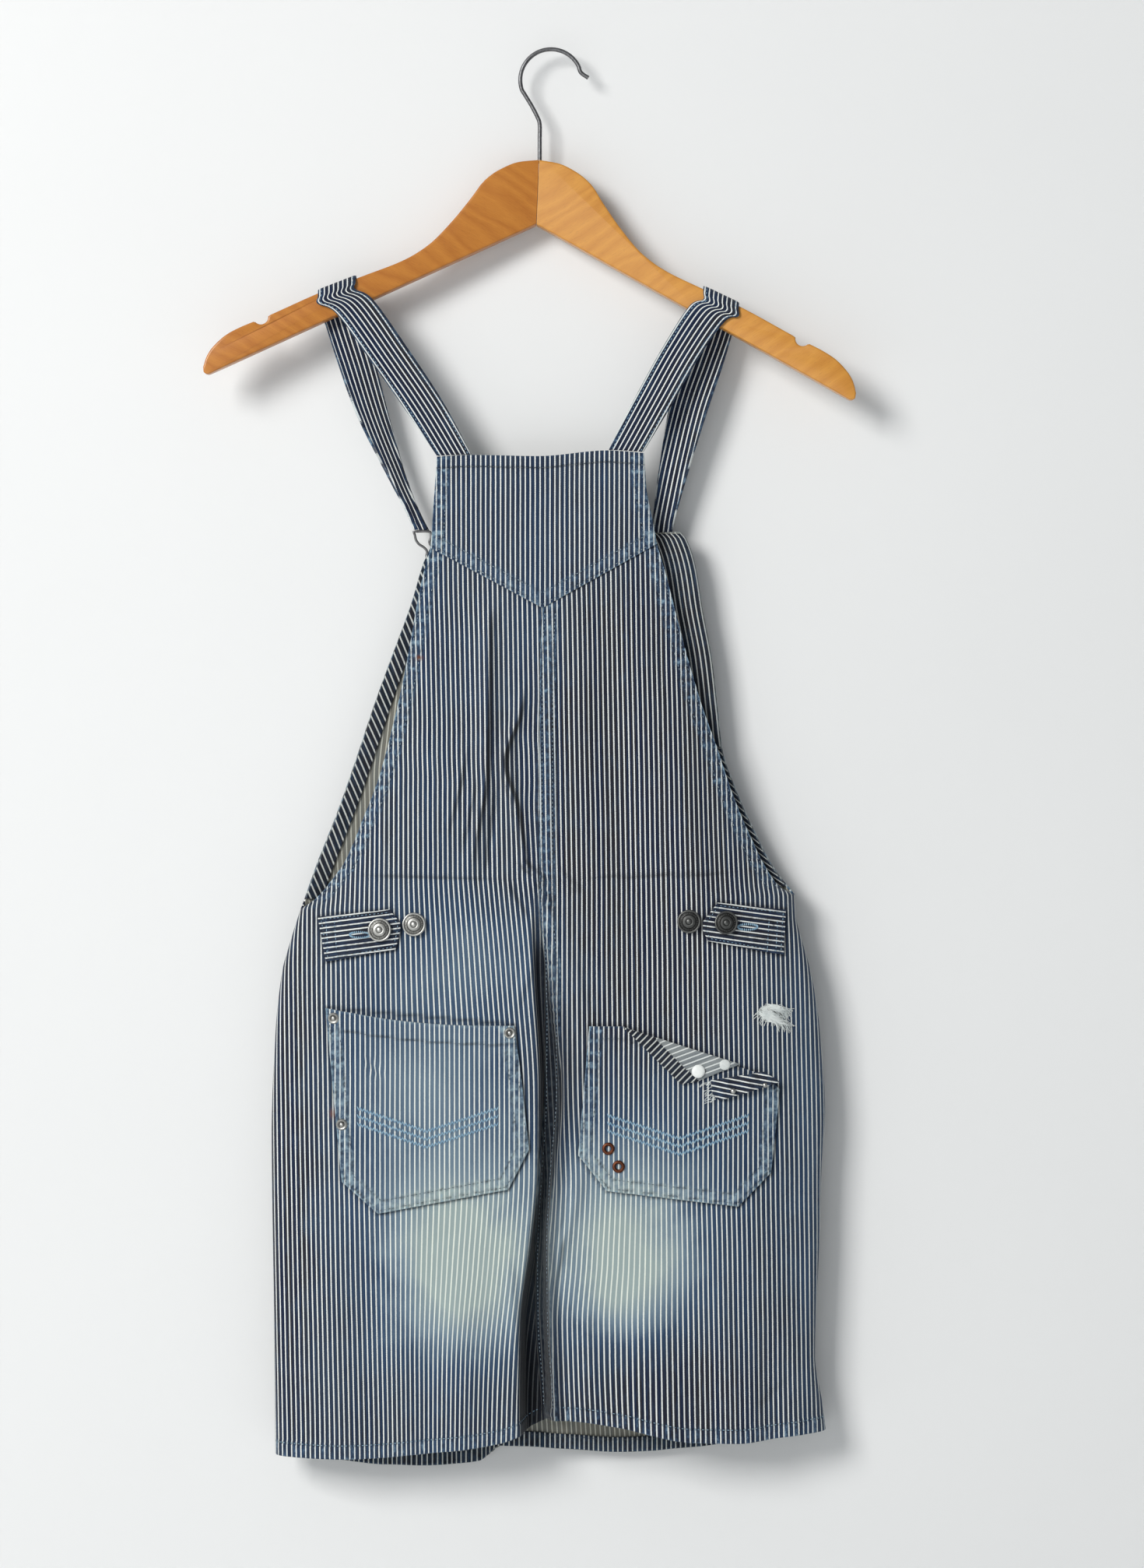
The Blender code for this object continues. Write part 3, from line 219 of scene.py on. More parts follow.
@dataclass(frozen=True)
class ClothForm:
    """Outer faces of back and front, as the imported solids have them, and the finer creases."""

    middle_y: float = -12.0
    left_junction: float = -612.8
    right_junction: float = -602.3
    back_left: Pairs = (
        (-291, -81.2), (-325, -83.6), (-356, -85.9), (-367, -89.1), (-396, -95.4), (-422, -99.9),
        (-453, -105.9), (-489, -114.2), (-521, -123.1), (-548, -133.6), (-578, -146.3),
        (-593, -156.8), (-605, -167.3), (-612.8, -178.8))
    back_right: Pairs = (
        (-288, 65.6), (-311, 66.9), (-340, 72.2), (-353, 74.6), (-372, 80.2), (-420, 92.6),
        (-464, 105.3), (-500, 118.0), (-532, 128.8), (-562, 141.5), (-583, 152.0),
        (-597, 162.3), (-602.3, 172.6))
    front_left: Pairs = (
        (-354.9, -86.5), (-366, -91.5), (-395, -100.3), (-432, -113.9), (-464, -125.6),
        (-508, -140.3), (-544, -153.0), (-582, -168.0), (-612.8, -178.8))
    front_right: Pairs = (
        (-343.5, 91.0), (-349, 96.0), (-369, 102.7), (-399, 107.6), (-435, 114.3),
        (-473, 118.7), (-498, 121.5), (-531, 132.8), (-560, 145.9), (-580, 156.2),
        (-602.3, 172.6))
    left_side: Pairs = (
        (-612.8, -178.8), (-635, -185.8), (-657, -191.8), (-700, -196.5), (-774, -199.3),
        (-914, -197.6), (-1002, -196.5))
    right_side: Pairs = (
        (-602.3, 172.6), (-617, 173.6), (-634, 177.8), (-651, 182.8), (-669, 186.7),
        (-697, 190.6), (-756, 194.5), (-796, 192.0), (-846, 190.6), (-930, 187.4),
        (-966, 193.0), (-1002, 197.0))
    seam: Pairs = (
        (-398, -6.4), (-440, -8.4), (-608, -8.7), (-657, -5.0), (-740, -5.4), (-795, -9.2),
        (-850, -12.0), (-905, -11.4), (-960, -7.6), (-1000, -6.5))
    back_hem: Pairs = (
        (-196.5, -999.5), (-163, -1000.0), (-139, -1000.0), (-96, -996.2), (-56, -991.8),
        (-36, -988.5), (-23, -984.0), (-12, -978.0), (1.8, -972.5), (8.4, -972.5),
        (48.5, -977.5), (70, -982.4), (101, -987.9), (132, -988.5), (163, -985.2),
        (197, -981.8))
    front_hem: Pairs = (
        (-196.5, -999.5), (-150, -1007.0), (-119, -1010.5), (-84, -1010.5), (-53, -1008.3),
        (-44, -1003.0), (-36, -997.0), (-18, -996.6), (8, -998.8), (47, -1001.6),
        (71, -1000.8), (94, -998.2), (118, -995.5), (160, -988.0), (197, -981.8))
    yoke_top: Pairs = ((-81.2, -291.5), (-57, -290.4), (-10, -291.3), (40, -287.2),
                       (65.6, -289.0))
    yoke_point: tuple[float, float] = (-6.4, -398.8)
    yoke_left: tuple[float, float] = (-85.9, -356.1)
    yoke_right: tuple[float, float] = (75.0, -353.2)
    # height, back, back at an armhole edge, front, front at an armhole edge
    depths: tuple[tuple[float, ...], ...] = (
        (-288, 10.0, 9.0, 5.5, 5.5), (-356, 12.0, 8.5, 5.5, 5.5), (-400, 14.0, 8.0, 7.0, 5.5),
        (-500, 19.0, 7.0, 11.0, 5.0), (-600, 23.0, 5.0, 14.0, 4.0), (-700, 25.0, 5.0, 16.0, 4.0),
        (-850, 26.0, 5.0, 17.0, 4.0), (-1012, 25.0, 5.0, 17.0, 4.0))
    # height, floor's left and right, depth, slopes of the left and right wall
    pleat: tuple[tuple[float, ...], ...] = (
        (-590, -10.0, -8.0, 0.0, 40, 30), (-625, -10.0, -8.0, 3.5, 58, 38),
        (-657, -8.5, -6.0, 7.0, 70, 45), (-739, -3.4, 2.6, 11.0, 70, 66),
        (-794, -3.6, -2.6, 13.0, 70, 68), (-849, -8.8, -7.8, 15.0, 70, 70),
        (-904, -15.7, -7.0, 18.0, 74, 74), (-960, -15.5, -6.0, 20.0, 74, 74),
        (-1012, -13.5, -5.0, 20.0, 72, 74))
    back_creases: tuple[Crease, ...] = (
        Crease(12, ((-392, -45, 0), (-430, -45, 3.2), (-509, -46.5, 4.2), (-568, -55, 2.6),
                    (-604, -60, 0))),
        Crease(10, ((-452, -20, 0), (-472, -23, 2.2), (-509, -34, 3.6), (-539, -26, 3.2),
                    (-590, -17, 0))),
        Crease(26, ((-380, 36, 0), (-450, 42, -3.0), (-560, 50, -3.4), (-630, 54, 0))),
        Crease(22, ((-420, 88, 0), (-480, 90, 2.0), (-570, 98, 2.4), (-640, 104, 0))),
        Crease(13, ((-786, 22, 0), (-812, 15, 3.0), (-842, 6, 3.4), (-872, 4, 0))),
        Crease(26, ((-820, -118, 0), (-900, -126, -3.0), (-1012, -130, -4.0))),
        Crease(24, ((-830, -62, 0), (-910, -66, 2.4), (-1012, -60, 3.2))),
        Crease(24, ((-840, 66, 0), (-930, 74, 2.6), (-1012, 84, 3.6))),
        Crease(20, ((-900, 150, 0), (-960, 156, -3.2), (-1012, 150, -3.6))))
    front_creases: tuple[Crease, ...] = (
        Crease(40, ((-600, 4, 0), (-720, 0, -4.0), (-860, -8, -5.0), (-1012, -12, -6.0))),
        Crease(24, ((-430, -42, 0), (-520, -50, 2.6), (-640, -62, 0))),
        Crease(20, ((-400, 48, 0), (-500, 44, 2.2), (-610, 36, 0))),
        Crease(26, ((-760, -98, 0), (-880, -104, -3.0), (-1012, -92, -4.0))),
        Crease(16, ((-900, -50, 0), (-960, -47, 2.0), (-1012, -45, 3.4))),
        Crease(28, ((-780, 92, 0), (-900, 98, -3.4), (-1012, 108, -4.2))),
        Crease(22, ((-700, 150, 0), (-800, 146, 2.0), (-930, 150, 0))))
    # small creases of the looks alone
    back_small: tuple[Crease | Pinch, ...] = (
        Crease(4.6, ((-396, -44.9, 0), (-416, -45, 2.2), (-509, -46.5, 3.2), (-568, -55.3, 1.6),
                     (-592, -58, 0))),
        Crease(4.4, ((-452, -20, 0), (-472, -23.0, 2.2), (-509, -34.4, 3.4), (-539, -25.7, 3.0),
                     (-571, -20.2, 2.0), (-592, -16, 0))),
        Crease(4.0, ((-490, -60, 0), (-525, -66, 1.7), (-570, -78, 0))),
        Pinch(-48, -512, -62, -580, 5.0, -1.8), Pinch(-36, -520, -46, -594, 4.6, -1.6),
        Pinch(-28, -572, -1, -597, 4.6, 2.4), Pinch(-19, -587, 3, -614, 4.4, 2.1),
        Pinch(-30, -590, -12, -620, 5.0, -1.8), Pinch(1, -582, 22, -602, 4.8, 1.7),
        Pinch(-152, -590.5, -14, -592, 3.2, -1.15), Pinch(4, -592, 150, -588, 3.2, -1.2),
        Pinch(-146, -585, -50, -586, 4.5, 0.7), Pinch(26, -586, 134, -582, 4.5, 0.7),
        Pinch(58, -372, 66, -345, 5.0, -0.7), Pinch(64, -300, 60, -348, 6.0, -0.6),
        Pinch(-10, -640, -30, -690, 6.0, 1.0), Pinch(14, -640, 24, -690, 6.0, 0.9),
        Pinch(-132, -716, -118, -731, 5.0, -1.0), Pinch(-176, -660, -160, -740, 9.0, 0.8),
        Pinch(142, -968, 172, -944, 7.0, -1.1), Pinch(150, -930, 184, -985, 9.0, 0.8),
        Pinch(8, -836, 1, -884, 4.0, 1.4), Pinch(14, -806, 6, -850, 5.0, -1.2),
        Pinch(-30, -850, -26, -940, 7.0, 1.1), Pinch(22, -880, 30, -970, 8.0, 0.9),
        Pinch(-98, -852, -60, -838, 7.0, -0.5), Pinch(40, -842, 92, -832, 7.0, -0.5),
        Pinch(-170, -636, -130, -690, 10.0, -0.8), Pinch(128, -640, 176, -700, 11.0, -0.9),
        Pinch(-160, -860, -150, -980, 12.0, 0.9), Pinch(118, -860, 126, -975, 12.0, 0.9),
        Pinch(-84, -420, -92, -520, 8.0, 0.7), Pinch(-100, -500, -128, -586, 7.0, 0.7),
        Pinch(72, -400, 96, -520, 9.0, -0.8), Pinch(110, -520, 136, -592, 7.0, 0.8),
        Pinch(20, -430, 24, -560, 10.0, 0.7), Pinch(-70, -640, -80, -690, 12.0, -0.8),
        Pinch(60, -630, 64, -690, 12.0, -0.8), Pinch(-146, -604, -120, -612, 4.0, 0.5))
    front_small: tuple[Crease | Pinch, ...] = (
        Pinch(-60, -420, -84, -540, 8.0, 0.9), Pinch(40, -410, 66, -530, 8.0, 0.9),
        Pinch(-30, -590, 10, -600, 4.0, 0.9), Pinch(-150, -591, 150, -589, 2.8, -0.5),
        Pinch(-20, -600, -44, -660, 7.0, -0.9), Pinch(20, -610, 40, -680, 7.0, 0.8),
        Pinch(-150, -700, -140, -830, 12.0, 0.9), Pinch(110, -700, 124, -820, 12.0, -0.9),
        Pinch(-70, -820, -60, -960, 10.0, 0.9), Pinch(50, -830, 60, -950, 10.0, 0.9),
        Pinch(-10, -380, 4, -470, 9.0, 0.8), Pinch(-100, -640, -60, -700, 9.0, -0.7))
    back_roll: float = 7.0
    front_roll: float = 5.0
    roll_fade: float = 8.0
    side_reach: float = 75.0
    fold_radius: float = 3.0
    hair: float = 0.4            # step across which a slope is measured
    sway: float = 0.35           # height of the slow unevenness of the whole cloth

    def edges(self, layer: Layer, z: Array | float) -> tuple[Array, Array]:
        """Left and right border of a layer at a height."""
        z = np.asarray(z, float)
        back = layer is Layer.BACK
        left = curve(self.back_left if back else self.front_left, z)
        right = curve(self.back_right if back else self.front_right, z)
        return (np.where(z > self.left_junction, left, curve(self.left_side, z)),
                np.where(z > self.right_junction, right, curve(self.right_side, z)))

    def seam_x(self, z: Array | float) -> Array:
        """Place across of the centre back seam."""
        return curve(self.seam, z)

    def yoke_seam(self, x: Array | float) -> Array:
        """Height of the pointed seam under the yoke."""
        x = np.asarray(x, float)
        px, pz = self.yoke_point
        left = pz + (self.yoke_left[1] - pz) * (x - px) / (self.yoke_left[0] - px)
        right = pz + (self.yoke_right[1] - pz) * (x - px) / (self.yoke_right[0] - px)
        return np.where(x < px, left, right)

    def swell(self, distance: Array, junction: float, z: Array, full: Array, edge: Array,
              radius: float) -> Array:
        """Depth at a distance from one side: a round turn, then a long easing up."""
        closed = ease((junction + self.roll_fade - z) / self.roll_fade)
        inside = np.clip(distance, 0.0, radius)
        start = closed * np.sqrt(radius ** 2 - (radius - inside) ** 2) + (1.0 - closed) * edge
        reach = np.clip(distance / self.side_reach, 0.0, 1.0)
        more = full - closed * radius - (1.0 - closed) * edge
        return start + more * (1.0 - (1.0 - reach) ** 2.2)

    def pleat_wall(self, distance: Array, height: Array, slope: Array) -> Array:
        """Height of a pleat's wall between two arcs and a straight, from its foot."""
        r = self.fold_radius
        angle = np.radians(slope)
        corner = r * (1.0 - np.cos(angle))
        low = height < 2.0 * corner
        angle = np.where(low, np.arccos(np.clip(1.0 - height / (2.0 * r), -1, 1)), angle)
        corner = np.where(low, height / 2.0, corner)
        arc = r * np.sin(angle)
        rise = height - 2.0 * corner
        straight = np.where(angle > 0.01, rise / np.tan(np.maximum(angle, 0.01)), 0.0)
        d = np.maximum(distance, 0.0)
        left = 2.0 * arc + straight - d
        first = r - np.sqrt(np.maximum(r ** 2 - np.minimum(d, r) ** 2, 0.0))
        second = corner + (d - arc) * np.tan(angle)
        third = height - r + np.sqrt(np.maximum(r ** 2 - np.clip(left, 0, r) ** 2, 0.0))
        return np.select([d <= 0, d < arc, d < arc + straight, left > 0],
                         [0.0 * d, first, second, third], height)

    def pleat_depth(self, x: Array, z: Array) -> Array:
        """How far the centre back pleat falls in."""
        left, right, depth, slope_l, slope_r = (
            curve([(row[0], row[k]) for row in self.pleat], z) for k in range(1, 6))
        fall = np.select([x < left, x > right],
                         [depth - self.pleat_wall(left - x, depth, slope_l),
                          depth - self.pleat_wall(x - right, depth, slope_r)], depth)
        return np.where(depth < 0.01, 0.0, fall)

    def depth(self, layer: Layer, x: Array, z: Array, fine: bool = True) -> Array:
        """Distance of a layer's outer face from the plane of the side seams.

        Args:
            layer: Which layer.
            x: Places across.
            z: Heights.
            fine: Whether the small creases count.

        Returns:
            The distances.
        """
        x, z = np.asarray(x, float), np.asarray(z, float)
        back = layer is Layer.BACK
        left, right = self.edges(layer, z)
        radius = self.back_roll if back else self.front_roll
        full, edge = (curve([(row[0], row[k]) for row in self.depths], z)
                      for k in ((1, 2) if back else (3, 4)))
        depth = np.minimum(self.swell(x - left, self.left_junction, z, full, edge, radius),
                           self.swell(right - x, self.right_junction, z, full, edge, radius))
        side = np.minimum(x - left, right - x)
        inward = ease(side / 20.0)
        total = np.zeros_like(depth)
        for crease in (self.back_creases if back else self.front_creases):
            total = total + crease.height(x, z)
        if fine:
            share = ease(side / 8.0) / np.maximum(inward, 0.35)
            total = total + share * self.small(layer, x, z)
            slow = self.sway * ripple(x * 0.8 + z * 0.1, 47.0, 1.3)
            total = total + slow * ripple(z, 150.0, 2.2)
        depth = depth + inward * total
        return depth - self.pleat_depth(x, z) if back else depth

    def small(self, layer: Layer, x: Array, z: Array) -> Array:
        """Height of the small creases alone."""
        creases = self.back_small if layer is Layer.BACK else self.front_small
        return sum(crease.height(x, z) for crease in creases)

    def normal(self, layer: Layer, x: Array, z: Array, fine: bool = True) -> Array:
        """Outward directions of a layer."""
        x, z = np.asarray(x, float), np.asarray(z, float)
        left, right = self.edges(layer, z)
        low, high = np.maximum(x - self.hair, left), np.minimum(x + self.hair, right)
        after, before, above, below = (
            self.depth(layer, across, up, fine) for across, up in (
                (high, z), (low, z), (x, z + self.hair), (x, z - self.hair)))
        along_x = (after - before) / (high - low)
        along_z = (above - below) / (2.0 * self.hair)
        out = np.stack([-along_x, np.full_like(x, float(layer.value)), -along_z], axis=-1)
        return out / np.linalg.norm(out, axis=-1, keepdims=True)

    def point(self, layer: Layer, x: Array, z: Array, lift: Array | float = 0.0,
              fine: bool = True) -> Array:
        """Points on a layer, moved out by lift, in millimetres."""
        x, z = np.broadcast_arrays(np.asarray(x, float), np.asarray(z, float))
        depth = np.maximum(self.depth(layer, x, z, fine), 0.15)
        base = np.stack([x, self.middle_y + layer.value * depth, z], axis=-1)
        lift = np.broadcast_to(np.asarray(lift, float), x.shape)[..., None]
        return base + self.normal(layer, x, z, fine) * lift


FORM = ClothForm()


# ------------------------------------------------------------------ materials

Colour = tuple[float, float, float]


def seen(red: float, green: float, blue: float) -> Colour:
    """Linear colour of a tone as a screen shows it, from 0 to 255."""
    parts = [part / 255.0 for part in (red, green, blue)]
    return tuple(p / 12.92 if p <= 0.04045 else ((p + 0.055) / 1.055) ** 2.4 for p in parts)


class Value:
    """A shader socket that Python's operators work on."""

    def __init__(self, graph: "Graph", socket: bpy.types.NodeSocket) -> None:
        """Wrap a socket of a graph."""
        self.graph, self.socket = graph, socket

    def __add__(self, other: Any) -> "Value":
        """Sum."""
        return self.graph.math("ADD", self, other)

    def __sub__(self, other: Any) -> "Value":
        """Difference."""
        return self.graph.math("SUBTRACT", self, other)

    def __rsub__(self, other: Any) -> "Value":
        """Difference from a number."""
        return self.graph.math("SUBTRACT", other, self)

    def __mul__(self, other: Any) -> "Value":
        """Product."""
        return self.graph.math("MULTIPLY", self, other)

    def __truediv__(self, other: Any) -> "Value":
        """Quotient."""
        return self.graph.math("DIVIDE", self, other)

    __radd__ = __add__
    __rmul__ = __mul__


class Graph:
    """Nodes of one material that end in its Principled shader."""

    def __init__(self, name: str) -> None:
        """Start a material with the plain shader."""
        self.material = bpy.data.materials.new(name)
        self.material.use_nodes = True
        self.tree = self.material.node_tree
        self.shader = self.tree.nodes["Principled BSDF"]

    def node(self, kind: str, settings: dict[str, Any] | None = None,
             inputs: dict[str | int, Any] | None = None, output: str | int = 0) -> Value:
        """Make a node.

        Args:
            kind: Its type.
            settings: Its own settings, set first.
            inputs: Values or links of its sockets.
            output: Which output to return.

        Returns:
            The output as a value.
        """
        node = self.tree.nodes.new(kind)
        for key, setting in (settings or {}).items():
            setattr(node, key, setting)
        for key, given in (inputs or {}).items():
            self.feed(node.inputs[key], given)
        return Value(self, node.outputs[output])

    def feed(self, socket: bpy.types.NodeSocket, given: Any) -> None:
        """Link a value to a socket, or set a number or colour on it."""
        if isinstance(given, Value):
            self.tree.links.new(given.socket, socket)
        elif isinstance(given, tuple) and socket.type == "RGBA":
            socket.default_value = (*given, 1.0)[:4]
        else:
            socket.default_value = given

    def math(self, operation: str, *parts: Any, clamp: bool = False) -> Value:
        """One step of arithmetic."""
        return self.node("ShaderNodeMath", {"operation": operation, "use_clamp": clamp},
                         dict(enumerate(parts)))

    def clamp(self, value: Value) -> Value:
        """Hold a value between 0 and 1."""
        return self.math("ADD", value, 0.0, clamp=True)

    def mix(self, share: Any, first: Any, second: Any, blend: str = "MIX") -> Value:
        """Mix two colours."""
        return self.node("ShaderNodeMix", {"data_type": "RGBA", "blend_type": blend},
                         {0: share, 6: first, 7: second}, 2)

    def vector(self, x: Any, y: Any, z: Any = 0.0) -> Value:
        """Vector of three values."""
        return self.node("ShaderNodeCombineXYZ", None, {0: x, 1: y, 2: z})

    def split(self, vector: Value) -> tuple[Value, Value, Value]:
        """Three parts of a vector."""
        node = self.tree.nodes.new("ShaderNodeSeparateXYZ")
        self.feed(node.inputs[0], vector)
        return tuple(Value(self, socket) for socket in node.outputs)

    def noise(self, vector: Value, scale: float, detail: float = 2.0,
              rough: float = 0.5) -> Value:
        """Soft noise from 0 to 1."""
        return self.node("ShaderNodeTexNoise", {"noise_dimensions": "3D"},
                         {"Vector": vector, "Scale": scale, "Detail": detail, "Roughness": rough})

    def own(self) -> Value:
        """The piece's own coordinates, in metres."""
        return self.node("ShaderNodeTexCoord", None, None, "Object")

    def object_mm(self) -> Value:
        """The piece's own coordinates, in millimetres."""
        return self.node("ShaderNodeVectorMath", {"operation": "SCALE"},
                         {0: self.own(), "Scale": PER_METRE})

    def attribute(self, name: str) -> Value:
        """Number that the mesh carries at each point."""
        return self.node("ShaderNodeAttribute", {"attribute_name": name}, None, "Fac")

    def bump(self, height: Value, strength: float, distance: float) -> None:
        """Let a height in millimetres of relief tilt the surface."""
        normal = self.node("ShaderNodeBump", None, {"Strength": strength, "Distance": distance,
                                                     "Height": height})
        self.feed(self.shader.inputs["Normal"], normal)

    def finish(self, **sockets: Any) -> bpy.types.Material:
        """Feed the shader's sockets, named with low lines for spaces, and return the material."""
        for key, given in sockets.items():
            self.feed(self.shader.inputs[key.replace("_", " ")], given)
        return self.material


@dataclass(frozen=True)
class Fade:
    """Washed-out spot on the back: middle, half sizes and strength."""

    x: float
    z: float
    wide: float
    tall: float
    strength: float

    def mask(self, graph: Graph, x: Value, z: Value) -> Value:
        """Soft round mask of the spot, as strong as it is."""
        dx, dz = (x - self.x) / self.wide, (z - self.z) / self.tall
        return graph.math("EXPONENT", (dx * dx + dz * dz) * -1.0) * self.strength


@dataclass(frozen=True)
class Denim:
    """Striped denim: white and indigo stripes of one twill, faded where it is worn."""

    name: str
    white: Colour = seen(238, 240, 236)
    white_faded: Colour = seen(236, 242, 230)
    navy: Colour = seen(13, 25, 52)
    charcoal: Colour = seen(32, 32, 40)
    faded: Colour = seen(150, 166, 166)
    mid_faded: Colour = seen(64, 94, 128)
    rubbed: Colour = seen(124, 158, 182)     # bluish tone of worn seams
    dusty: Colour = seen(168, 176, 182)      # greyer white threads
    rust: Colour = seen(128, 74, 38)
    shadow: Colour = (0.06, 0.065, 0.075)    # painted shade: the tone that a colour darkens to at the bottom of a fold
    pitch: float = 3.5
    twill: float = 0.8           # pitch of the weave's slanted lines
    soft: float = 0.05           # softness of a stripe's border, as a share of the pitch
    wander: float = 0.22         # how far a stripe strays, as a share of the pitch
    drift: float = 46.0          # how far the faded spots' borders stray, in millimetres
    drift_scale: float = 0.028
    white_share: float = 0.25
    contrast: float = 1.0        # 1 on the right side, less on the wrong side
    fades: tuple[Fade, ...] = ()
    stains: tuple[Fade, ...] = ()
    base_wear: float = 0.0

    def build(self) -> bpy.types.Material:
        """Make the material."""
        g = Graph(self.name)
        u, v, _ = g.split(g.node("ShaderNodeUVMap", {"uv_map": GRAIN}))
        u, v = u * PER_METRE, v * PER_METRE
        place = g.object_mm()
        wobble = g.noise(g.vector(u * 0.02, v * 0.012), 1.0, 1.0) - 0.5
        turn = u / self.pitch + wobble * self.wander
        stripe = g.math("FLOOR", turn)
        away = g.math("ABSOLUTE", turn - stripe - 0.5)
        twill = g.math("FRACT", (u + v * 0.85) / self.twill)
        twill = g.math("ABSOLUTE", twill - 0.5) * 2.0
        jag = (g.noise(g.vector(u * 1.2, v * 1.5), 1.0, 2.0) - 0.5) * 0.12 + (twill - 0.5) * 0.05
        white = g.clamp((self.white_share / 2.0 + self.soft / 2.0 + jag - away) / self.soft)
        each = g.node("ShaderNodeTexWhiteNoise", {"noise_dimensions": "1D"}, {"W": stripe}, 0)
        streaks = g.noise(g.vector(u * 1.5, v * 0.07), 1.0, 3.0, 0.6)
        fine = g.noise(g.vector(u * 2.6, v * 1.4), 1.0, 3.0, 0.7)
        cloud = g.noise(place, 0.02, 3.0, 0.55)
        worn = g.attribute(WORN)
        patches = g.clamp(g.noise(place, 0.24, 4.0, 0.65) * 3.6 - 1.35)
        seam = worn * (patches * 0.8 + 0.04)
        fade = seam + self.base_wear + (cloud - 0.5) * 0.2
        x, _, z = g.split(place)
        drift = (g.noise(place, self.drift_scale, 3.0) - 0.5) * self.drift
        for spot in self.fades:
            fade = fade + spot.mask(g, x + drift, z + drift * 0.7)
        fade = g.clamp(fade + (streaks - 0.5) * 0.14 + (fine - 0.5) * 0.2)
        slub = g.noise(g.vector(u * 0.35, v * 0.012), 1.0, 3.0, 0.6)
        ink = g.mix(g.clamp((each * 0.5 + slub - 0.5) * 2.6), self.navy, self.charcoal)
        ink = g.mix(g.clamp(streaks * 2.4 - 1.2) * 0.6, ink, self.mid_faded)
        ink = g.mix(g.clamp(fade * 1.9), ink, self.mid_faded)
        ink = g.mix(g.clamp(fade * 1.45 - 0.35), ink, self.faded)
        ink = g.mix(g.clamp(seam * 1.5 - 0.3), ink, self.rubbed)
        chalk = g.mix(fade, self.white, self.white_faded)
        chalk = g.mix(g.clamp(slub * 2.4 - 1.05) * 0.5, chalk, self.dusty)
        chalk = g.mix(g.clamp(worn * 0.7 - seam * 0.6), chalk, self.rubbed)
        chalk = g.mix(g.clamp(fine * 1.6 - 0.62) * 0.4, chalk, self.mid_faded)
        specks = g.clamp((fine - 0.66) * 6.0) * 0.35
        colour = g.mix(g.clamp(white * self.contrast + specks + (1.0 - self.contrast) * 0.5),
                       ink, chalk)
        weave = g.node("ShaderNodeMapRange", None,
                       {"Value": twill * 0.5 + fine * 0.5, "To Min": 0.78, "To Max": 1.16})
        # painted shade: the colour is darkened towards the shadow tone where the mesh's shade
        # attribute says so; the weave tint is the cloth's own texture
        for tint in (weave, g.mix(g.attribute(PAINTED_SHADE), (1.0, 1.0, 1.0), self.shadow)):
            colour = g.mix(1.0, colour, tint, "MULTIPLY")
        for spot in self.stains:
            mask = spot.mask(g, x, z)
            colour = g.mix(g.clamp(mask * (0.5 + fine)), colour, self.rust)
        g.bump(twill * 0.5 + fine * 0.6 + streaks * 0.5 + white * 0.25, 0.5, 0.00022)
        rough = 0.86 + (fine - 0.5) * 0.1
        return g.finish(Base_Color=colour, Roughness=rough, Specular_IOR_Level=0.22,
                        Sheen_Weight=0.12, Sheen_Roughness=0.5)


@dataclass(frozen=True)
class Wood:
    """Varnished hanger wood, its grain along an arm."""

    name: str
    light: Colour
    dark: Colour
    turn: float              # the arm's slope, in degrees
    shift: float
    vein: Colour = seen(120, 66, 20)

    def build(self) -> bpy.types.Material:
        """Make the material."""
        g = Graph(self.name)
        place = g.object_mm()
        level = g.node("ShaderNodeMapping", None,
                       {"Vector": place, "Rotation": (0.0, math.radians(self.turn), 0.0),
                        "Location": (self.shift, 0.0, 0.0)})
        x, y, z = g.split(level)
        slow = g.noise(g.vector(x * 0.012, y * 0.05, z * 0.035), 1.0, 2.0)
        rings = g.math("FRACT", (z * 0.5 + y * 0.35) * 0.17 + slow * 3.6)
        rings = g.math("ABSOLUTE", rings - 0.5) * 2.0
        fibre = g.noise(g.vector(x * 0.05, y * 1.2, z * 1.3), 1.0, 4.0, 0.65)
        pores = g.noise(g.vector(x * 0.16, y * 2.0, z * 2.6), 1.0, 2.0, 0.6)
        tone = g.clamp(rings * 0.45 + fibre * 0.75 - 0.1)
        colour = g.mix(tone, self.dark, self.light)
        pore = g.clamp((pores - 0.6) * 5.0)
        colour = g.mix(pore * 0.45, colour, self.vein)
        patch = g.noise(place, 0.018, 2.0)
        colour = g.mix(g.clamp(patch * 1.4 - 0.5) * 0.35, colour, self.light)
        g.bump(fibre * 0.4 - pore * 0.5, 0.22, 0.00015)
        return g.finish(Base_Color=colour, Roughness=0.34 + fibre * 0.14, Coat_Weight=0.35,
                        Coat_Roughness=0.18, Specular_IOR_Level=0.45)


@dataclass(frozen=True)
class Metal:
    """Metal that is dark in its hollows and bright where it is rubbed."""

    name: str
    bright: Colour
    dull: Colour
    roughness: float = 0.32
    metallic: float = 1.0
    relief: float = 0.18

    def build(self) -> bpy.types.Material:
        """Make the material."""
        g = Graph(self.name)
        place = g.object_mm()
        spots = g.noise(place, 0.55, 4.0, 0.65)
        tone = g.clamp(g.attribute(WORN) * 0.8 + spots * 0.7 - 0.25)
        colour = g.mix(tone, self.dull, self.bright)
        g.bump(spots, self.relief, 0.0002)
        return g.finish(Base_Color=colour, Metallic=self.metallic,
                        Roughness=self.roughness + (1.0 - tone) * 0.25)


@dataclass(frozen=True)
class Thread:
    """Sewing thread, a little uneven in tone."""

    name: str
    tone: Colour
    pale: Colour

    def build(self) -> bpy.types.Material:
        """Make the material."""
        g = Graph(self.name)
        place = g.object_mm()
        mottled = g.noise(place, 0.16, 3.0, 0.6)
        twist = g.noise(place, 2.2, 2.0)
        colour = g.mix(g.clamp(mottled * 1.7 - 0.4), self.tone, self.pale)
        g.bump(twist, 0.4, 0.0002)
        return g.finish(Base_Color=colour, Roughness=0.75 + twist * 0.1, Sheen_Weight=0.1)


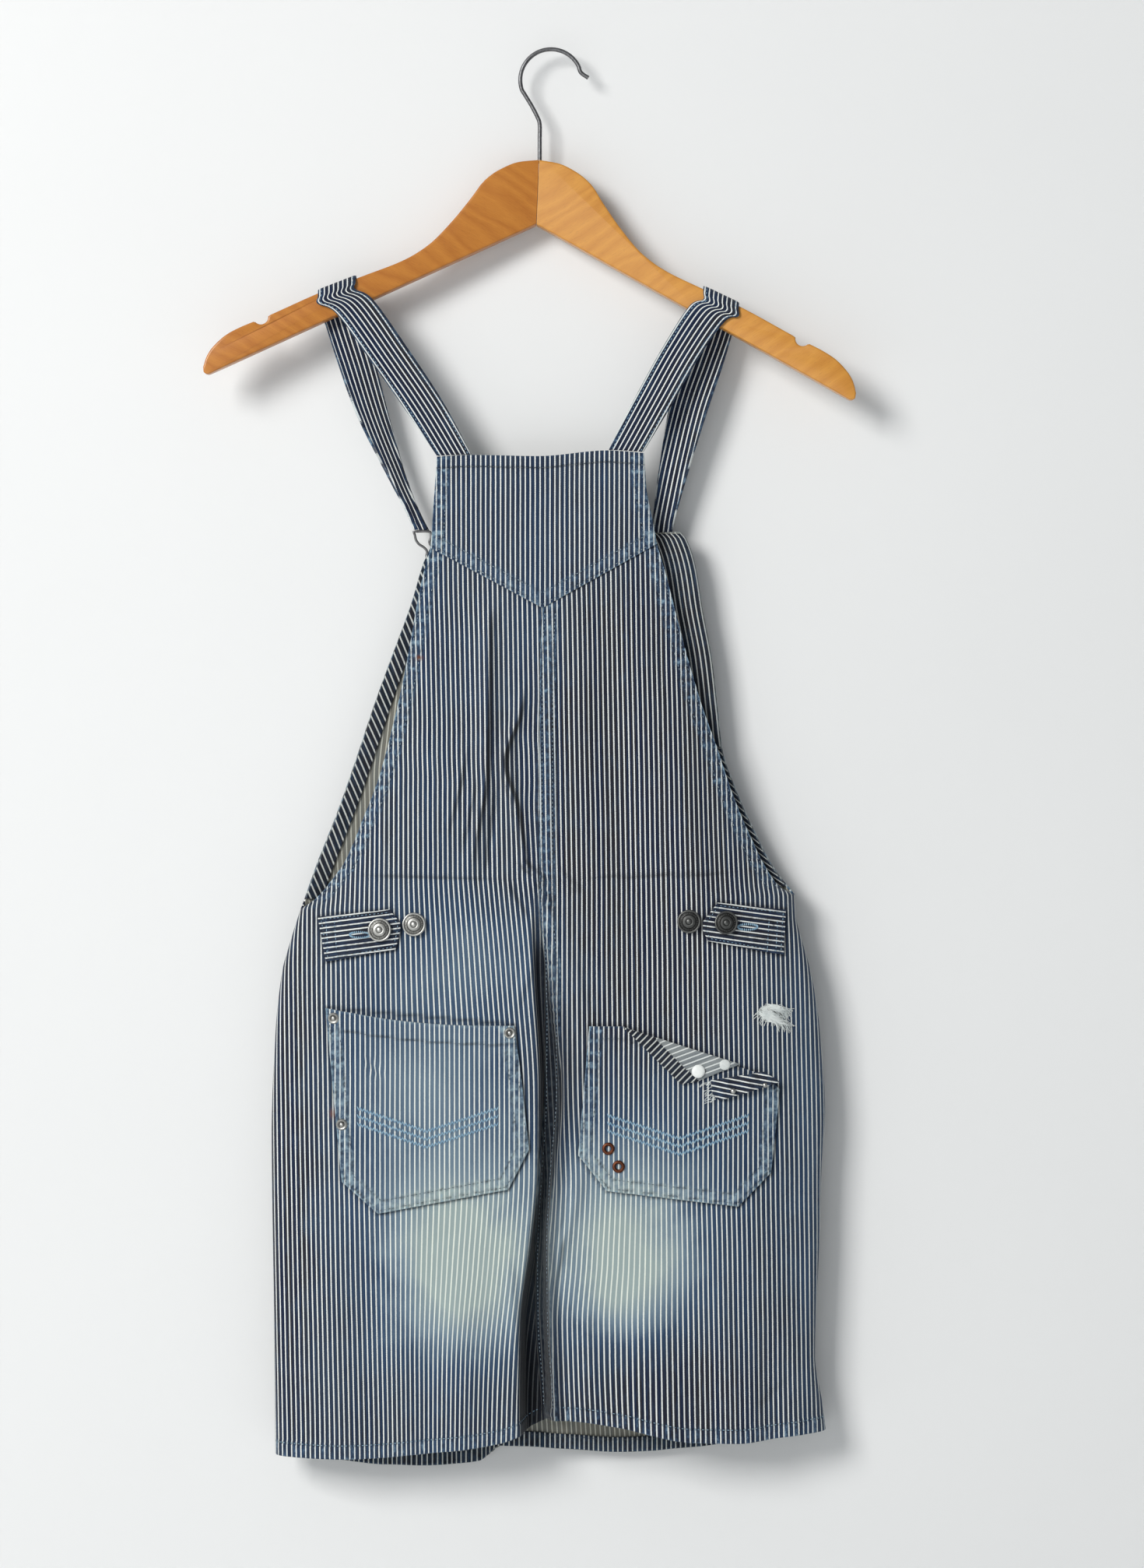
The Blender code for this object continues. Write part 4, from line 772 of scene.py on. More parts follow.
def plain_wall(name: str, tone: Colour) -> bpy.types.Material:
    """Faintly mottled white of the wall and the floor, clear from behind."""
    g = Graph(name)
    mottled = g.noise(g.own(), 3.0, 3.0)
    shade = tuple(part * 0.96 for part in tone)
    g.finish(Base_Color=g.mix(mottled, shade, tone), Roughness=0.7 + mottled * 0.1,
             Specular_IOR_Level=0.2)
    clear = g.node("ShaderNodeBsdfTransparent")
    behind = g.node("ShaderNodeNewGeometry", None, None, "Backfacing")
    both = g.node("ShaderNodeMixShader", None,
                  {0: behind, 1: Value(g, g.shader.outputs[0]), 2: clear})
    g.feed(g.tree.nodes["Material Output"].inputs["Surface"], both)
    return g.material


# ------------------------------------------------------------------ meshes and their dressing

@dataclass(frozen=True)
class Fabric:
    """A finish's two faces and the record's slot it belongs to."""

    right: bpy.types.Material
    wrong: bpy.types.Material
    slot: str


@dataclass(frozen=True)
class Cut:
    """Flat size of a sheet before it was sewn, in millimetres, and how it is held."""

    width: float
    length: float
    area: float = 1.0        # share of the rectangle that the cut fills
    held: Held = Held.HUNG


def to_object(name: str, mesh: bpy.types.Mesh, materials: Sequence[bpy.types.Material]
              ) -> bpy.types.Object:
    """Put a mesh into the scene at the origin.

    Args:
        name: The piece's name.
        mesh: Its mesh, in metres.
        materials: Its materials in slot order.

    Returns:
        The new object.
    """
    for material in materials:
        mesh.materials.append(material)
    mesh.shade_smooth()
    item = bpy.data.objects.new(name, mesh)
    bpy.context.collection.objects.link(item)
    return item


def from_bmesh(name: str, shape: bmesh.types.BMesh, materials: Sequence[bpy.types.Material],
               closed: bool = True) -> bpy.types.Object:
    """Turn a bmesh in millimetres into an object in metres.

    Args:
        name: The piece's name.
        shape: The bmesh, freed here.
        materials: Its materials in slot order.
        closed: Whether the normals may be recalculated.

    Returns:
        The new object.
    """
    bmesh.ops.scale(shape, vec=(MM, MM, MM), verts=shape.verts)
    if closed:
        bmesh.ops.recalc_face_normals(shape, faces=shape.faces)
    mesh = bpy.data.meshes.new(name)
    shape.to_mesh(mesh)
    shape.free()
    return to_object(name, mesh, materials)


def attach(item: bpy.types.Object, nodes: Sequence[str]) -> bpy.types.Object:
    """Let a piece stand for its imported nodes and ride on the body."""
    if nodes:
        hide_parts(*nodes)
        item.name = item.data.name = nodes[0] + "_detail"
    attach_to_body(item, BODY)
    LOG.info("%s: %d faces", item.name, len(item.data.polygons))
    return item


def give_wall(item: bpy.types.Object, thickness: float) -> None:
    """Give a sheet its thickness, inwards from its outer face, with the wrong side within."""
    wall = item.modifiers.new("wall", "SOLIDIFY")
    wall.thickness = thickness * MM
    wall.offset = -1.0
    wall.material_offset = 1
    wall.material_offset_rim = 0


def cloth_sheet(name: str, points: Array, grain: Array, worn: Array, fabric: Fabric,
                thickness: float, cut: Cut, rests_on: Sequence[str], painted_shade: Array | float = 0.0,
                hole: Callable[[bmesh.types.BMesh], None] | None = None) -> bpy.types.Object:
    """Sheet of cloth through a grid of points.

    Args:
        name: The piece's name.
        points: Rows from low to high, their places in millimetres.
        grain: Distances across and along the stripes, in millimetres.
        worn: How faded each point is, from 0 to 1.
        fabric: Its finish.
        thickness: Its thickness in millimetres.
        cut: Its flat size.
        rests_on: What it hangs from or lies on; not used.
        painted_shade: Painted shade at each point, in folds, grooves and beside sewn-on pieces,
            from 0 to 1.
        hole: What tears the finished mesh.

    Returns:
        The new object.
    """
    rows, columns = points.shape[:2]
    shape = bmesh.new()
    bmesh.ops.create_grid(shape, x_segments=columns - 1, y_segments=rows - 1, size=0.5)
    mesh = bpy.data.meshes.new(name)
    shape.to_mesh(mesh)
    shape.free()
    flat = np.empty(len(mesh.vertices) * 3)
    mesh.vertices.foreach_get("co", flat)
    i = np.rint((flat[0::3] + 0.5) * (columns - 1)).astype(int)
    j = np.rint((flat[1::3] + 0.5) * (rows - 1)).astype(int)
    mesh.vertices.foreach_set("co", (points[j, i] * MM).ravel())
    loops = np.empty(len(mesh.loops), np.int32)
    mesh.loops.foreach_get("vertex_index", loops)
    layer = mesh.uv_layers.new(name=GRAIN)
    layer.data.foreach_set("uv", (grain[j, i] * MM)[loops].ravel())
    for key, values in ((WORN, worn), (PAINTED_SHADE, painted_shade + 0.0 * worn)):
        attribute = mesh.attributes.new(key, "FLOAT", "POINT")
        attribute.data.foreach_set("value", np.clip(values[j, i], 0.0, 1.0).astype(np.float32))
    mesh.update()
    if hole:
        torn = bmesh.new()
        torn.from_mesh(mesh)
        hole(torn)
        torn.to_mesh(mesh)
        torn.free()
    item = to_object(name, mesh, (fabric.right, fabric.wrong))
    give_wall(item, thickness)
    attach(item, (name,))
    declare(cut)
    return item


def declare(cut: Cut) -> None:
    """Work out the flat area that a sheet was cut to before it was sewn and hung; the result is
    not kept.
    """
    width, length = cut.width * MM, cut.length * MM
    cut.area * width * length


def wires(name: str, routes: Sequence[Array], diameter: float, material: bpy.types.Material,
          roundness: int, closed: bool = False, caps: bool = False) -> bpy.types.Object:
    """Round wires or threads along routes, as one mesh.

    Args:
        name: The piece's name.
        routes: Their middle lines, in millimetres.
        diameter: Their diameter.
        material: Their material.
        roundness: How finely their section is cut.
        closed: Whether they are loops.
        caps: Whether their ends are filled.

    Returns:
        The new object.
    """
    data = bpy.data.curves.new(name, "CURVE")
    data.dimensions = "3D"
    data.bevel_depth = diameter / 2 * MM
    data.bevel_resolution = roundness
    data.use_fill_caps = caps
    for route in routes:
        spline = data.splines.new("POLY")
        spline.points.add(len(route) - 1)
        spline.use_cyclic_u = closed
        for point, place in zip(spline.points, route):
            point.co = (*(float(part) * MM for part in place), 1.0)
    drawn = bpy.data.objects.new(name + "_route", data)
    bpy.context.collection.objects.link(drawn)
    bpy.context.view_layer.update()
    mesh = bpy.data.meshes.new_from_object(drawn)
    bpy.data.objects.remove(drawn)
    bpy.data.curves.remove(data)
    mesh.name = name
    mesh.materials.clear()
    return to_object(name, mesh, (material,))


def arc_across(points: Array, start: int) -> Array:
    """Length along each row, level distances only, from one column."""
    hops = np.hypot(np.diff(points[..., 0], axis=1), np.diff(points[..., 1], axis=1))
    run = np.concatenate([np.zeros((len(points), 1)), np.cumsum(hops, axis=1)], axis=1)
    return run - run[:, start:start + 1]


class Stitching:
    """Rows of stitches sewn on one piece, each a small grain of thread."""

    BATCH = 30          # stitches that are gathered at a time
    HALF_DEPTH = 0.42   # of a stitch, as a share of its width

    def __init__(self, name: str, thread: bpy.types.Material, slot: str) -> None:
        """Start with no stitches."""
        self.name, self.thread, self.slot = name, thread, slot
        self.whole, self.shape = bmesh.new(), bmesh.new()
        self.count, self.seed = 0, 0.0

    def gather(self) -> None:
        """Move the stitches made so far into the whole, which keeps each step quick."""
        part = bpy.data.meshes.new(self.name)
        self.shape.to_mesh(part)
        self.shape.clear()
        self.whole.from_mesh(part)
        bpy.data.meshes.remove(part)

    def stitch(self, place: Vector, along: Vector, out: Vector, length: float,
               width: float = 0.55) -> None:
        """Add one stitch that lies half sunk in the cloth."""
        along = along.normalized()
        side = out.cross(along).normalized()
        frame = Matrix((along * length / 2, side * width / 2,
                        out * width * self.HALF_DEPTH)).transposed()
        bmesh.ops.create_uvsphere(self.shape, u_segments=5, v_segments=3, radius=1.0,
                                  matrix=Matrix.Translation(place) @ frame.to_4x4())
        self.count += 1
        if self.count % self.BATCH == 0:
            self.gather()

    def run(self, points: Array, outs: Array, pitch: float = 2.9, width: float = 0.55,
            fill: float = 0.72) -> None:
        """Sew along a line of points.

        Args:
            points: The line, in millimetres.
            outs: The cloth's outward directions there.
            pitch: From one stitch to the next.
            width: The thread's width.
            fill: Share of the pitch that shows thread.
        """
        run = along_lengths(points)
        count = max(1, int(run[-1] / pitch))
        self.seed += 1.7
        for k in range(count):
            middle = (k + 0.5) * run[-1] / count + 0.18 * math.sin(k * 2.4 + self.seed)
            ends = [np.array([np.interp(middle + step, run, points[:, axis]) for axis in range(3)])
                    for step in (-0.5, 0.5)]
            out = np.array([np.interp(middle, run, outs[:, axis]) for axis in range(3)])
            along = Vector(ends[1] - ends[0])
            if along.length < 1e-6:
                continue
            self.stitch(Vector((ends[0] + ends[1]) / 2), along, Vector(out).normalized(),
                        pitch * fill * (1.0 + 0.08 * math.sin(k * 1.9 + self.seed)), width)

    def scatter(self, x: Array, z: Array, lift: Array | float, lean: Array, length: float,
                width: float) -> None:
        """Single stitches on the back, each leaning its own way from upright.

        Args:
            x: Places across.
            z: Heights.
            lift: How far the cloth's face stands over the back.
            lean: Sideways part of each stitch's direction.
            length: Their length.
            width: The thread's width.
        """
        places, outs = FORM.point(Layer.BACK, x, z, lift), FORM.normal(Layer.BACK, x, z)
        for place, out, tilt in zip(places, outs, lean):
            self.stitch(Vector(place), Vector((tilt, 0.0, 1.0)), Vector(out), length, width)

    def on_back(self, x: Array, z: Array, lift: Array | float, **options: float) -> None:
        """Sew along a line on the back, lifted to the piece's outer face."""
        self.run(FORM.point(Layer.BACK, x, z, lift), FORM.normal(Layer.BACK, x, z), **options)

    def finish(self) -> bpy.types.Object:
        """Make the stitches one piece."""
        self.gather()
        self.shape.free()
        item = from_bmesh(self.name, self.whole, (self.thread,), closed=False)
        return attach(item, ())


def line(start: Sequence[float], end: Sequence[float], step: float = 1.0) -> Array:
    """Points of a straight line."""
    first, last = np.asarray(start, float), np.asarray(end, float)
    count = max(2, int(np.linalg.norm(last - first) / step) + 1)
    return first + (last - first) * np.linspace(0.0, 1.0, count)[:, None]


# ------------------------------------------------------------------ the garment's panels

ON_STRAPS = ("strap_left", "strap_right")
PANEL_THICKNESS = 1.4
STRIP_THICKNESS = 0.9


def rows_at(away: Array, places: Sequence[float], width: float) -> Array:
    """Round hump over each of several rows of stitches."""
    return sum(bell(away - place, width) for place in places)


def mirrored(*grids: Array) -> tuple[Array, ...]:
    """Grids with their columns the other way round, so that the faces point outwards."""
    return tuple(grid[:, ::-1] for grid in grids)


@dataclass(frozen=True)
class Seams:
    """Measures that the sewn edges share."""

    band: float = 9.5        # width of a turned-in edge
    rise: float = 0.5        # how far it stands out
    groove: float = 0.4      # how deep its stitches draw in
    first_row: float = 2.0   # rows of stitches, in from the edge
    second_row: float = 8.4
    pucker: float = 0.5
    hem_row: float = 9.7     # row of a hem, up from it
    fell: float = 11.0       # width of the felled centre seam
    fell_rows: tuple[float, float] = (1.9, 9.3)
    yoke_rows: tuple[float, float] = (1.8, 9.0)
    yoke_top_row: float = 8.2

    @property
    def rows(self) -> tuple[float, float]:
        """Both rows of stitches of a turned-in edge."""
        return self.first_row, self.second_row

    def edge_lift(self, away: Array, along: Array, seed: float, height: float = 1.0) -> Array:
        """Relief of a turned-in, twice stitched edge.

        Args:
            away: Distances in from the edge.
            along: Distances along it.
            seed: Shifts the puckers.
            height: Scales all of it.

        Returns:
            The lifts.
        """
        band = self.rise * ease((self.band - away) / 1.4)
        rows = rows_at(away, self.rows, 1.3)
        puckers = self.pucker * ripple(along, 8.5, seed) * ease((self.band + 3.0 - away) / 4.0)
        return height * (band - self.groove * rows + puckers)

    def row_shade(self, away: Array, along: Array, seed: float) -> Array:
        """Painted shade in the grooves of the two rows of stitches."""
        shade = (0.42 + 0.5 * ripple(along, 5.5, seed + 1.0)).clip(0.0, 0.85)
        return rows_at(away, self.rows, 1.1) * shade

    def edge_wear(self, away: Array, along: Array, seed: float) -> Array:
        """How faded such an edge is: most on its border and on the puckers' tops."""
        band = ease((self.band + 1.5 - away) / 2.0)
        band = band * (0.08 + 0.75 * mottle(along, 8.5, seed) ** 2)
        return band + 0.5 * ease((1.4 - away) / 1.4)


SEAMS = Seams()


@dataclass(frozen=True)
class Tear:
    """The worn-through spot near the right side seam."""

    centre: tuple[float, float] = (156.0, -685.0)
    half: tuple[float, float] = (8.6, 4.9)
    margin: float = 1.9          # how far out its mesh is cut finer, in half sizes

    def away(self, place: Vector) -> float:
        """Distance from its middle in half sizes, with a ragged border at 1."""
        dx = (place.x / MM - self.centre[0]) / self.half[0]
        dz = (place.z / MM - self.centre[1]) / self.half[1]
        turn = math.atan2(dz, dx)
        return math.hypot(dx, dz) - 0.13 * math.sin(5 * turn + 1.0) - 0.08 * math.sin(11 * turn)

    def open(self, shape: bmesh.types.BMesh) -> None:
        """Open it in the back's mesh, which is in metres."""
        middle = FORM.middle_y * MM
        for _ in range(2):
            close = [edge for edge in shape.edges
                     if all(self.away(vert.co) < self.margin and vert.co.y < middle
                            for vert in edge.verts)]
            bmesh.ops.subdivide_edges(shape, edges=close, cuts=1, use_grid_fill=True)
        gone = [face for face in shape.faces
                if self.away(face.calc_center_median()) < 1.0
                and face.calc_center_median().y < middle]
        bmesh.ops.delete(shape, geom=gone, context="FACES")


TEAR = Tear()


@dataclass(frozen=True)
class BackPanel:
    """Half of the back below the yoke, from its side to the centre seam."""

    name: str
    left: bool
    tuck: float = 3.0            # how far its top runs under the yoke
    column_step: float = 2.1
    row_step: float = 2.3
    torn: bool = False
    lean: float = 0.018          # how far its stripes lean from upright
    spread: float = 0.45         # share of the cloth's depth that moves them
    pull: Pairs = ()             # how far the pleat draws them aside, by height
    pull_reach: float = 95.0
    rim: tuple[float, float] = (26.0, 0.75)     # strip beside the seam, and its columns' step
    side: tuple[float, float] = (7.0, 13.0)     # where the turn and the edge's columns end
    waist: float = -612.6        # height at the seam that the junction's row runs to
    hem_reach: float = 90.0      # how far up the hem's curve bends the rows
    probe: float = 0.6           # step over which the small creases' slope is read
    grain_from: tuple[float, float] = (-8.0, -612.0)    # where its stripes are counted from

    @property
    def junction(self) -> float:
        """Height where its side seam begins."""
        return FORM.left_junction if self.left else FORM.right_junction

    @property
    def side_hem(self) -> float:
        """Height of the hem at its side."""
        return FORM.back_hem[0 if self.left else -1][1]

    @property
    def seed(self) -> float:
        """What makes its puckers its own."""
        return 1.0 if self.left else 4.0

    def open_edge(self, z: Array) -> Array:
        """Where its side is an armhole's edge, from 0 to 1."""
        return ease((z - self.junction + 3.0) / 14.0)

    def rows(self) -> tuple[Array, Array]:
        """Heights of the rows at the side and at the centre seam."""
        f = FORM
        corner = f.yoke_left if self.left else f.yoke_right
        seam_hem = float(curve(f.back_hem, -6.5))
        low = steps(((13.0, 1.2), (self.junction - self.side_hem, self.row_step)))
        high = steps(((corner[1] + self.tuck - self.junction, self.row_step),))[1:]
        lower = low / low[-1] * (self.waist - seam_hem) + seam_hem
        upper = high / high[-1] * (f.yoke_point[1] + self.tuck - self.waist) + self.waist
        return (np.concatenate([self.side_hem + low, self.junction + high]),
                np.concatenate([lower, upper]))

    def grid(self) -> tuple[Array, Array, Array]:
        """Place across, height and distance from the side of each point."""
        f = FORM
        side_z, seam_z = self.rows()
        edges = f.edges(Layer.BACK, side_z)
        side_x = edges[0] if self.left else edges[1]
        gap = -0.1 if self.left else 0.1
        middle = f.seam_x(seam_z) + gap
        width = np.abs(middle - side_x)
        turn = self.side[0] * (1.0 - np.cos(np.linspace(0.0, math.pi / 2, 9)))
        near = np.concatenate([turn, steps(((self.side[1], 0.95),), self.side[0])[1:]])
        far = steps((self.rim,))[::-1]
        count = int((width.max() - near[-1] - far[0]) / self.column_step)
        share = np.linspace(0.0, 1.0, count + 2)[1:-1]
        away = np.concatenate([
            np.broadcast_to(near, (len(width), len(near))),
            near[-1] + (width[:, None] - far[0] - near[-1]) * share,
            width[:, None] - far], axis=1)
        sign = 1.0 if self.left else -1.0
        x = side_x[:, None] + sign * away
        part = away / width[:, None]
        z = side_z[:, None] + (seam_z - side_z)[:, None] * part
        hem_middle = curve(f.back_hem, middle)
        straight = self.side_hem + (hem_middle - self.side_hem)[:, None] * part
        share_hem = ease(1.0 - (side_z - self.side_hem)[:, None] / self.hem_reach)
        z = z + share_hem * (curve(f.back_hem, x) - straight)
        return x, z, away

    def relief(self, x: Array, z: Array, away: Array) -> tuple[Array, Array]:
        """Lift of the outer face and wear, from the sewn edges."""
        f, seed, open_edge = FORM, self.seed, self.open_edge(z)
        lift = open_edge * SEAMS.edge_lift(away, z, seed)
        worn = open_edge * SEAMS.edge_wear(away, z, seed)
        hem = z - curve(f.back_hem, x)
        hem_lift = 0.8 * ease((11.6 - hem) / 1.2) - 0.75 * bell(hem - SEAMS.hem_row, 1.5)
        hem_lift = hem_lift + 0.4 * ripple(x, 9.0, seed) * ease((14.0 - hem) / 5.0)
        lift = lift + ease(away / 4.0) * hem_lift
        worn = worn + 0.6 * ease((11.5 - hem) / 2.0) * (0.3 + 0.7 * ripple(x, 7.0, seed))
        worn = worn + 0.25 * ease((1.4 - hem) / 1.2)
        from_seam = np.abs(x - f.seam_x(z))
        if self.left:
            worn = worn + 0.3 * ease((4.0 - from_seam) / 3.0) * mottle(z, 7.5, 2.0)
        else:
            fell = ease((from_seam - 0.1) / 0.7) * ease((SEAMS.fell + 0.9 - from_seam) / 0.9)
            rows = rows_at(from_seam, SEAMS.fell_rows, 1.2)
            puckers = 0.55 * ripple(z, 7.5, 2.0) * bell(from_seam - 5.5, 7.5)
            lift = lift + fell * 1.0 - 0.35 * rows + puckers
            worn = worn + bell(from_seam - 5.5, 7.0) * (0.1 + 0.8 * mottle(z, 7.5, 2.0) ** 2)
            worn = worn + 0.5 * bell(from_seam - SEAMS.fell, 1.2) + bell(from_seam, 1.4)
        below = f.yoke_seam(x) - z
        lift = lift * ease(below / 1.5) - 0.9 * (1.0 - ease((below + 1.2) / 2.6))
        lift = lift + 0.3 * ripple(x, 9.0, 3.0) * ease(below / 2.0) * ease((16.0 - below) / 12.0)
        side = ease((self.junction - z) / 10.0) * ease((5.0 - away) / 4.0)
        worn = worn + 0.22 * side * mottle(z, 10.0, seed)
        return lift, worn

    def painted_shade(self, x: Array, z: Array, away: Array) -> Array:
        """Painted shade: in the pleat, on crease sides turned from the light, along stitches,
        under the yoke's edge and beside sewn-on pieces.
        """
        f, seed = FORM, self.seed
        # painted shade on the sides of the small creases that face right or down, away from the
        # light
        slope_x = self.slope(x, z, self.probe, 0.0)
        slope_z = self.slope(x, z, 0.0, self.probe)
        # painted shade in the pleat, in the grooves of the stitches and the hem, and under the
        # yoke's lower edge
        parts = [0.96 * ease((f.pleat_depth(x, z) - 0.5) / 5.5),
                 np.clip(-slope_x - 0.1, 0.0, 0.75), np.clip(0.9 * slope_z - 0.1, 0.0, 0.7),
                 self.open_edge(z) * SEAMS.row_shade(away, z, seed),
                 (0.5 + 0.2 * ripple(x, 6.0, seed))
                 * bell(z - curve(f.back_hem, x) - SEAMS.hem_row, 1.2),
                 0.55 * bell(f.yoke_seam(x) - z, 1.8)]
        if not self.left:
            from_seam = np.abs(x - f.seam_x(z))
            shade = np.clip(0.4 + 0.6 * ripple(z, 5.5, 2.0), 0.0, 0.85)
            parts += [rows_at(from_seam, SEAMS.fell_rows, 1.1) * shade, self.overhang_shadow(x, z)]
        # painted shadow along the borders of the pockets and tabs
        outlines = (LEFT_POCKET, LEFT_TAB) if self.left else (RIGHT_POCKET, RIGHT_TAB)
        for outline in outlines:
            parts.append(0.6 * bell(border_distances(outline, x, z).min(axis=0) + 0.4, 2.4))
        return np.max(parts, axis=0)

    def slope(self, x: Array, z: Array, dx: float, dz: float) -> Array:
        """How steeply the small creases alone rise, to the right or upwards."""
        after, before = (FORM.small(Layer.BACK, x + turn * dx, z + turn * dz)
                         for turn in (1.0, -1.0))
        return (after - before) / (2.0 * (dx + dz))

    def overhang_shadow(self, x: Array, z: Array) -> Array:
        """Painted shadow beside the right rim of the pleat, which the left one overhangs."""
        rim = curve([(row[0], row[2] + row[3] * 0.75) for row in FORM.pleat], z)
        reach = curve(((-600, 9), (-740, 16), (-860, 7), (-1000, 5)), z)
        return 0.62 * ease((-604.0 - z) / 40.0) * (1.0 - ease((x - rim + 3.0) / reach))

    def build(self, fabric: Fabric) -> bpy.types.Object:
        """Make the panel.

        Args:
            fabric: Its denim.

        Returns:
            The panel.
        """
        x, z, away = self.grid()
        lift, worn = self.relief(x, z, away)
        coarse = FORM.point(Layer.BACK, x, z, 0.0, fine=False)
        rim = x.shape[1] - len(steps((self.rim,)))
        arc = arc_across(coarse, rim) * (1.0 if self.left else -1.0)
        from_rim = x - x[:, rim:rim + 1]
        start_x, start_z = self.grain_from
        u = x - start_x + self.lean * (z - start_z) + self.spread * (arc - from_rim)
        u = u - curve(self.pull, z) * ease(1.0 - np.abs(from_rim) / self.pull_reach)
        u[:, rim:] = u[:, rim:rim + 1] + arc[:, rim:]
        grids = (FORM.point(Layer.BACK, x, z, lift), np.stack([u, z], axis=-1), worn,
                 self.painted_shade(x, z, away))
        points, grain, worn, painted_shade = grids if self.left else mirrored(*grids)
        return cloth_sheet(self.name, points, grain, worn, fabric, PANEL_THICKNESS,
                           Cut(222.0, 650.0, 0.78), ON_STRAPS, painted_shade,
                           TEAR.open if self.torn else None)


@dataclass(frozen=True)
class Yoke:
    """Pointed back yoke between the straps and the two back panels."""

    name: str = "back_yoke"
    columns: int = 112
    rows: int = 76
    lift: float = 0.9
    slope: float = 0.86          # distance from the pointed seam for each millimetre above it

    def build(self, fabric: Fabric) -> bpy.types.Object:
        """Make the yoke, with its hemmed top, turned-in sides and pointed seam."""
        f = FORM
        part = np.linspace(0.0, 1.0, self.columns + 1)[None, :]
        down = np.linspace(1.0, 0.0, self.rows + 1)[:, None]
        x = f.yoke_top[0][0] + (f.yoke_top[-1][0] - f.yoke_top[0][0]) * part + 0.0 * down
        z = curve(f.yoke_top, x)
        for _ in range(3):
            left, right = f.edges(Layer.BACK, z)
            x = left + (right - left) * part
            z = curve(f.yoke_top, x) * (1 - down) + f.yoke_seam(x) * down
        left, right = f.edges(Layer.BACK, z)
        side = np.minimum(x - left, right - x)
        top = curve(f.yoke_top, x) - z
        seam = z - f.yoke_seam(x)
        lift = self.lift + SEAMS.edge_lift(side, z, 5.0, 0.8)
        lift = lift + 0.45 * ease((9.0 - top) / 1.2) - 0.35 * bell(top - SEAMS.yoke_top_row, 1.3)
        lift = lift + 0.22 * ripple(x, 10.0, 6.0) * ease((11.0 - top) / 4.0)
        away = seam * self.slope
        rows = rows_at(away, SEAMS.yoke_rows, 1.2)
        lift = lift + 0.3 * ease((10.5 - away) / 1.2) - 0.36 * rows
        lift = lift + 0.36 * ripple(x, 9.0, 3.0) * ease((12.0 - away) / 4.0)
        worn = SEAMS.edge_wear(side, z, 5.0)
        worn = worn + ease((11.5 - away) / 2.0) * (0.1 + 0.36 * mottle(x, 9.0, 3.0))
        worn = worn + 0.3 * ease((1.2 - away) / 1.2) + 0.2 * ease((1.2 - top) / 1.2)
        # painted shade in the grooves of the stitches along the sides, the pointed seam and the
        # top
        painted_shade = np.max([SEAMS.row_shade(side, z, 5.0),
                       rows * (0.4 + 0.3 * ripple(x, 5.5, 3.0)),
                       bell(top - SEAMS.yoke_top_row, 1.2)
                       * (0.55 + 0.25 * ripple(x, 5.5, 6.0))], axis=0)
        points = f.point(Layer.BACK, x, z, lift)
        grain = np.stack([x - f.yoke_point[0], z], axis=-1)
        return cloth_sheet(self.name, points, grain, worn, fabric, PANEL_THICKNESS,
                           Cut(165.0, 112.0, 0.85), ON_STRAPS, painted_shade)


YOKE = Yoke()


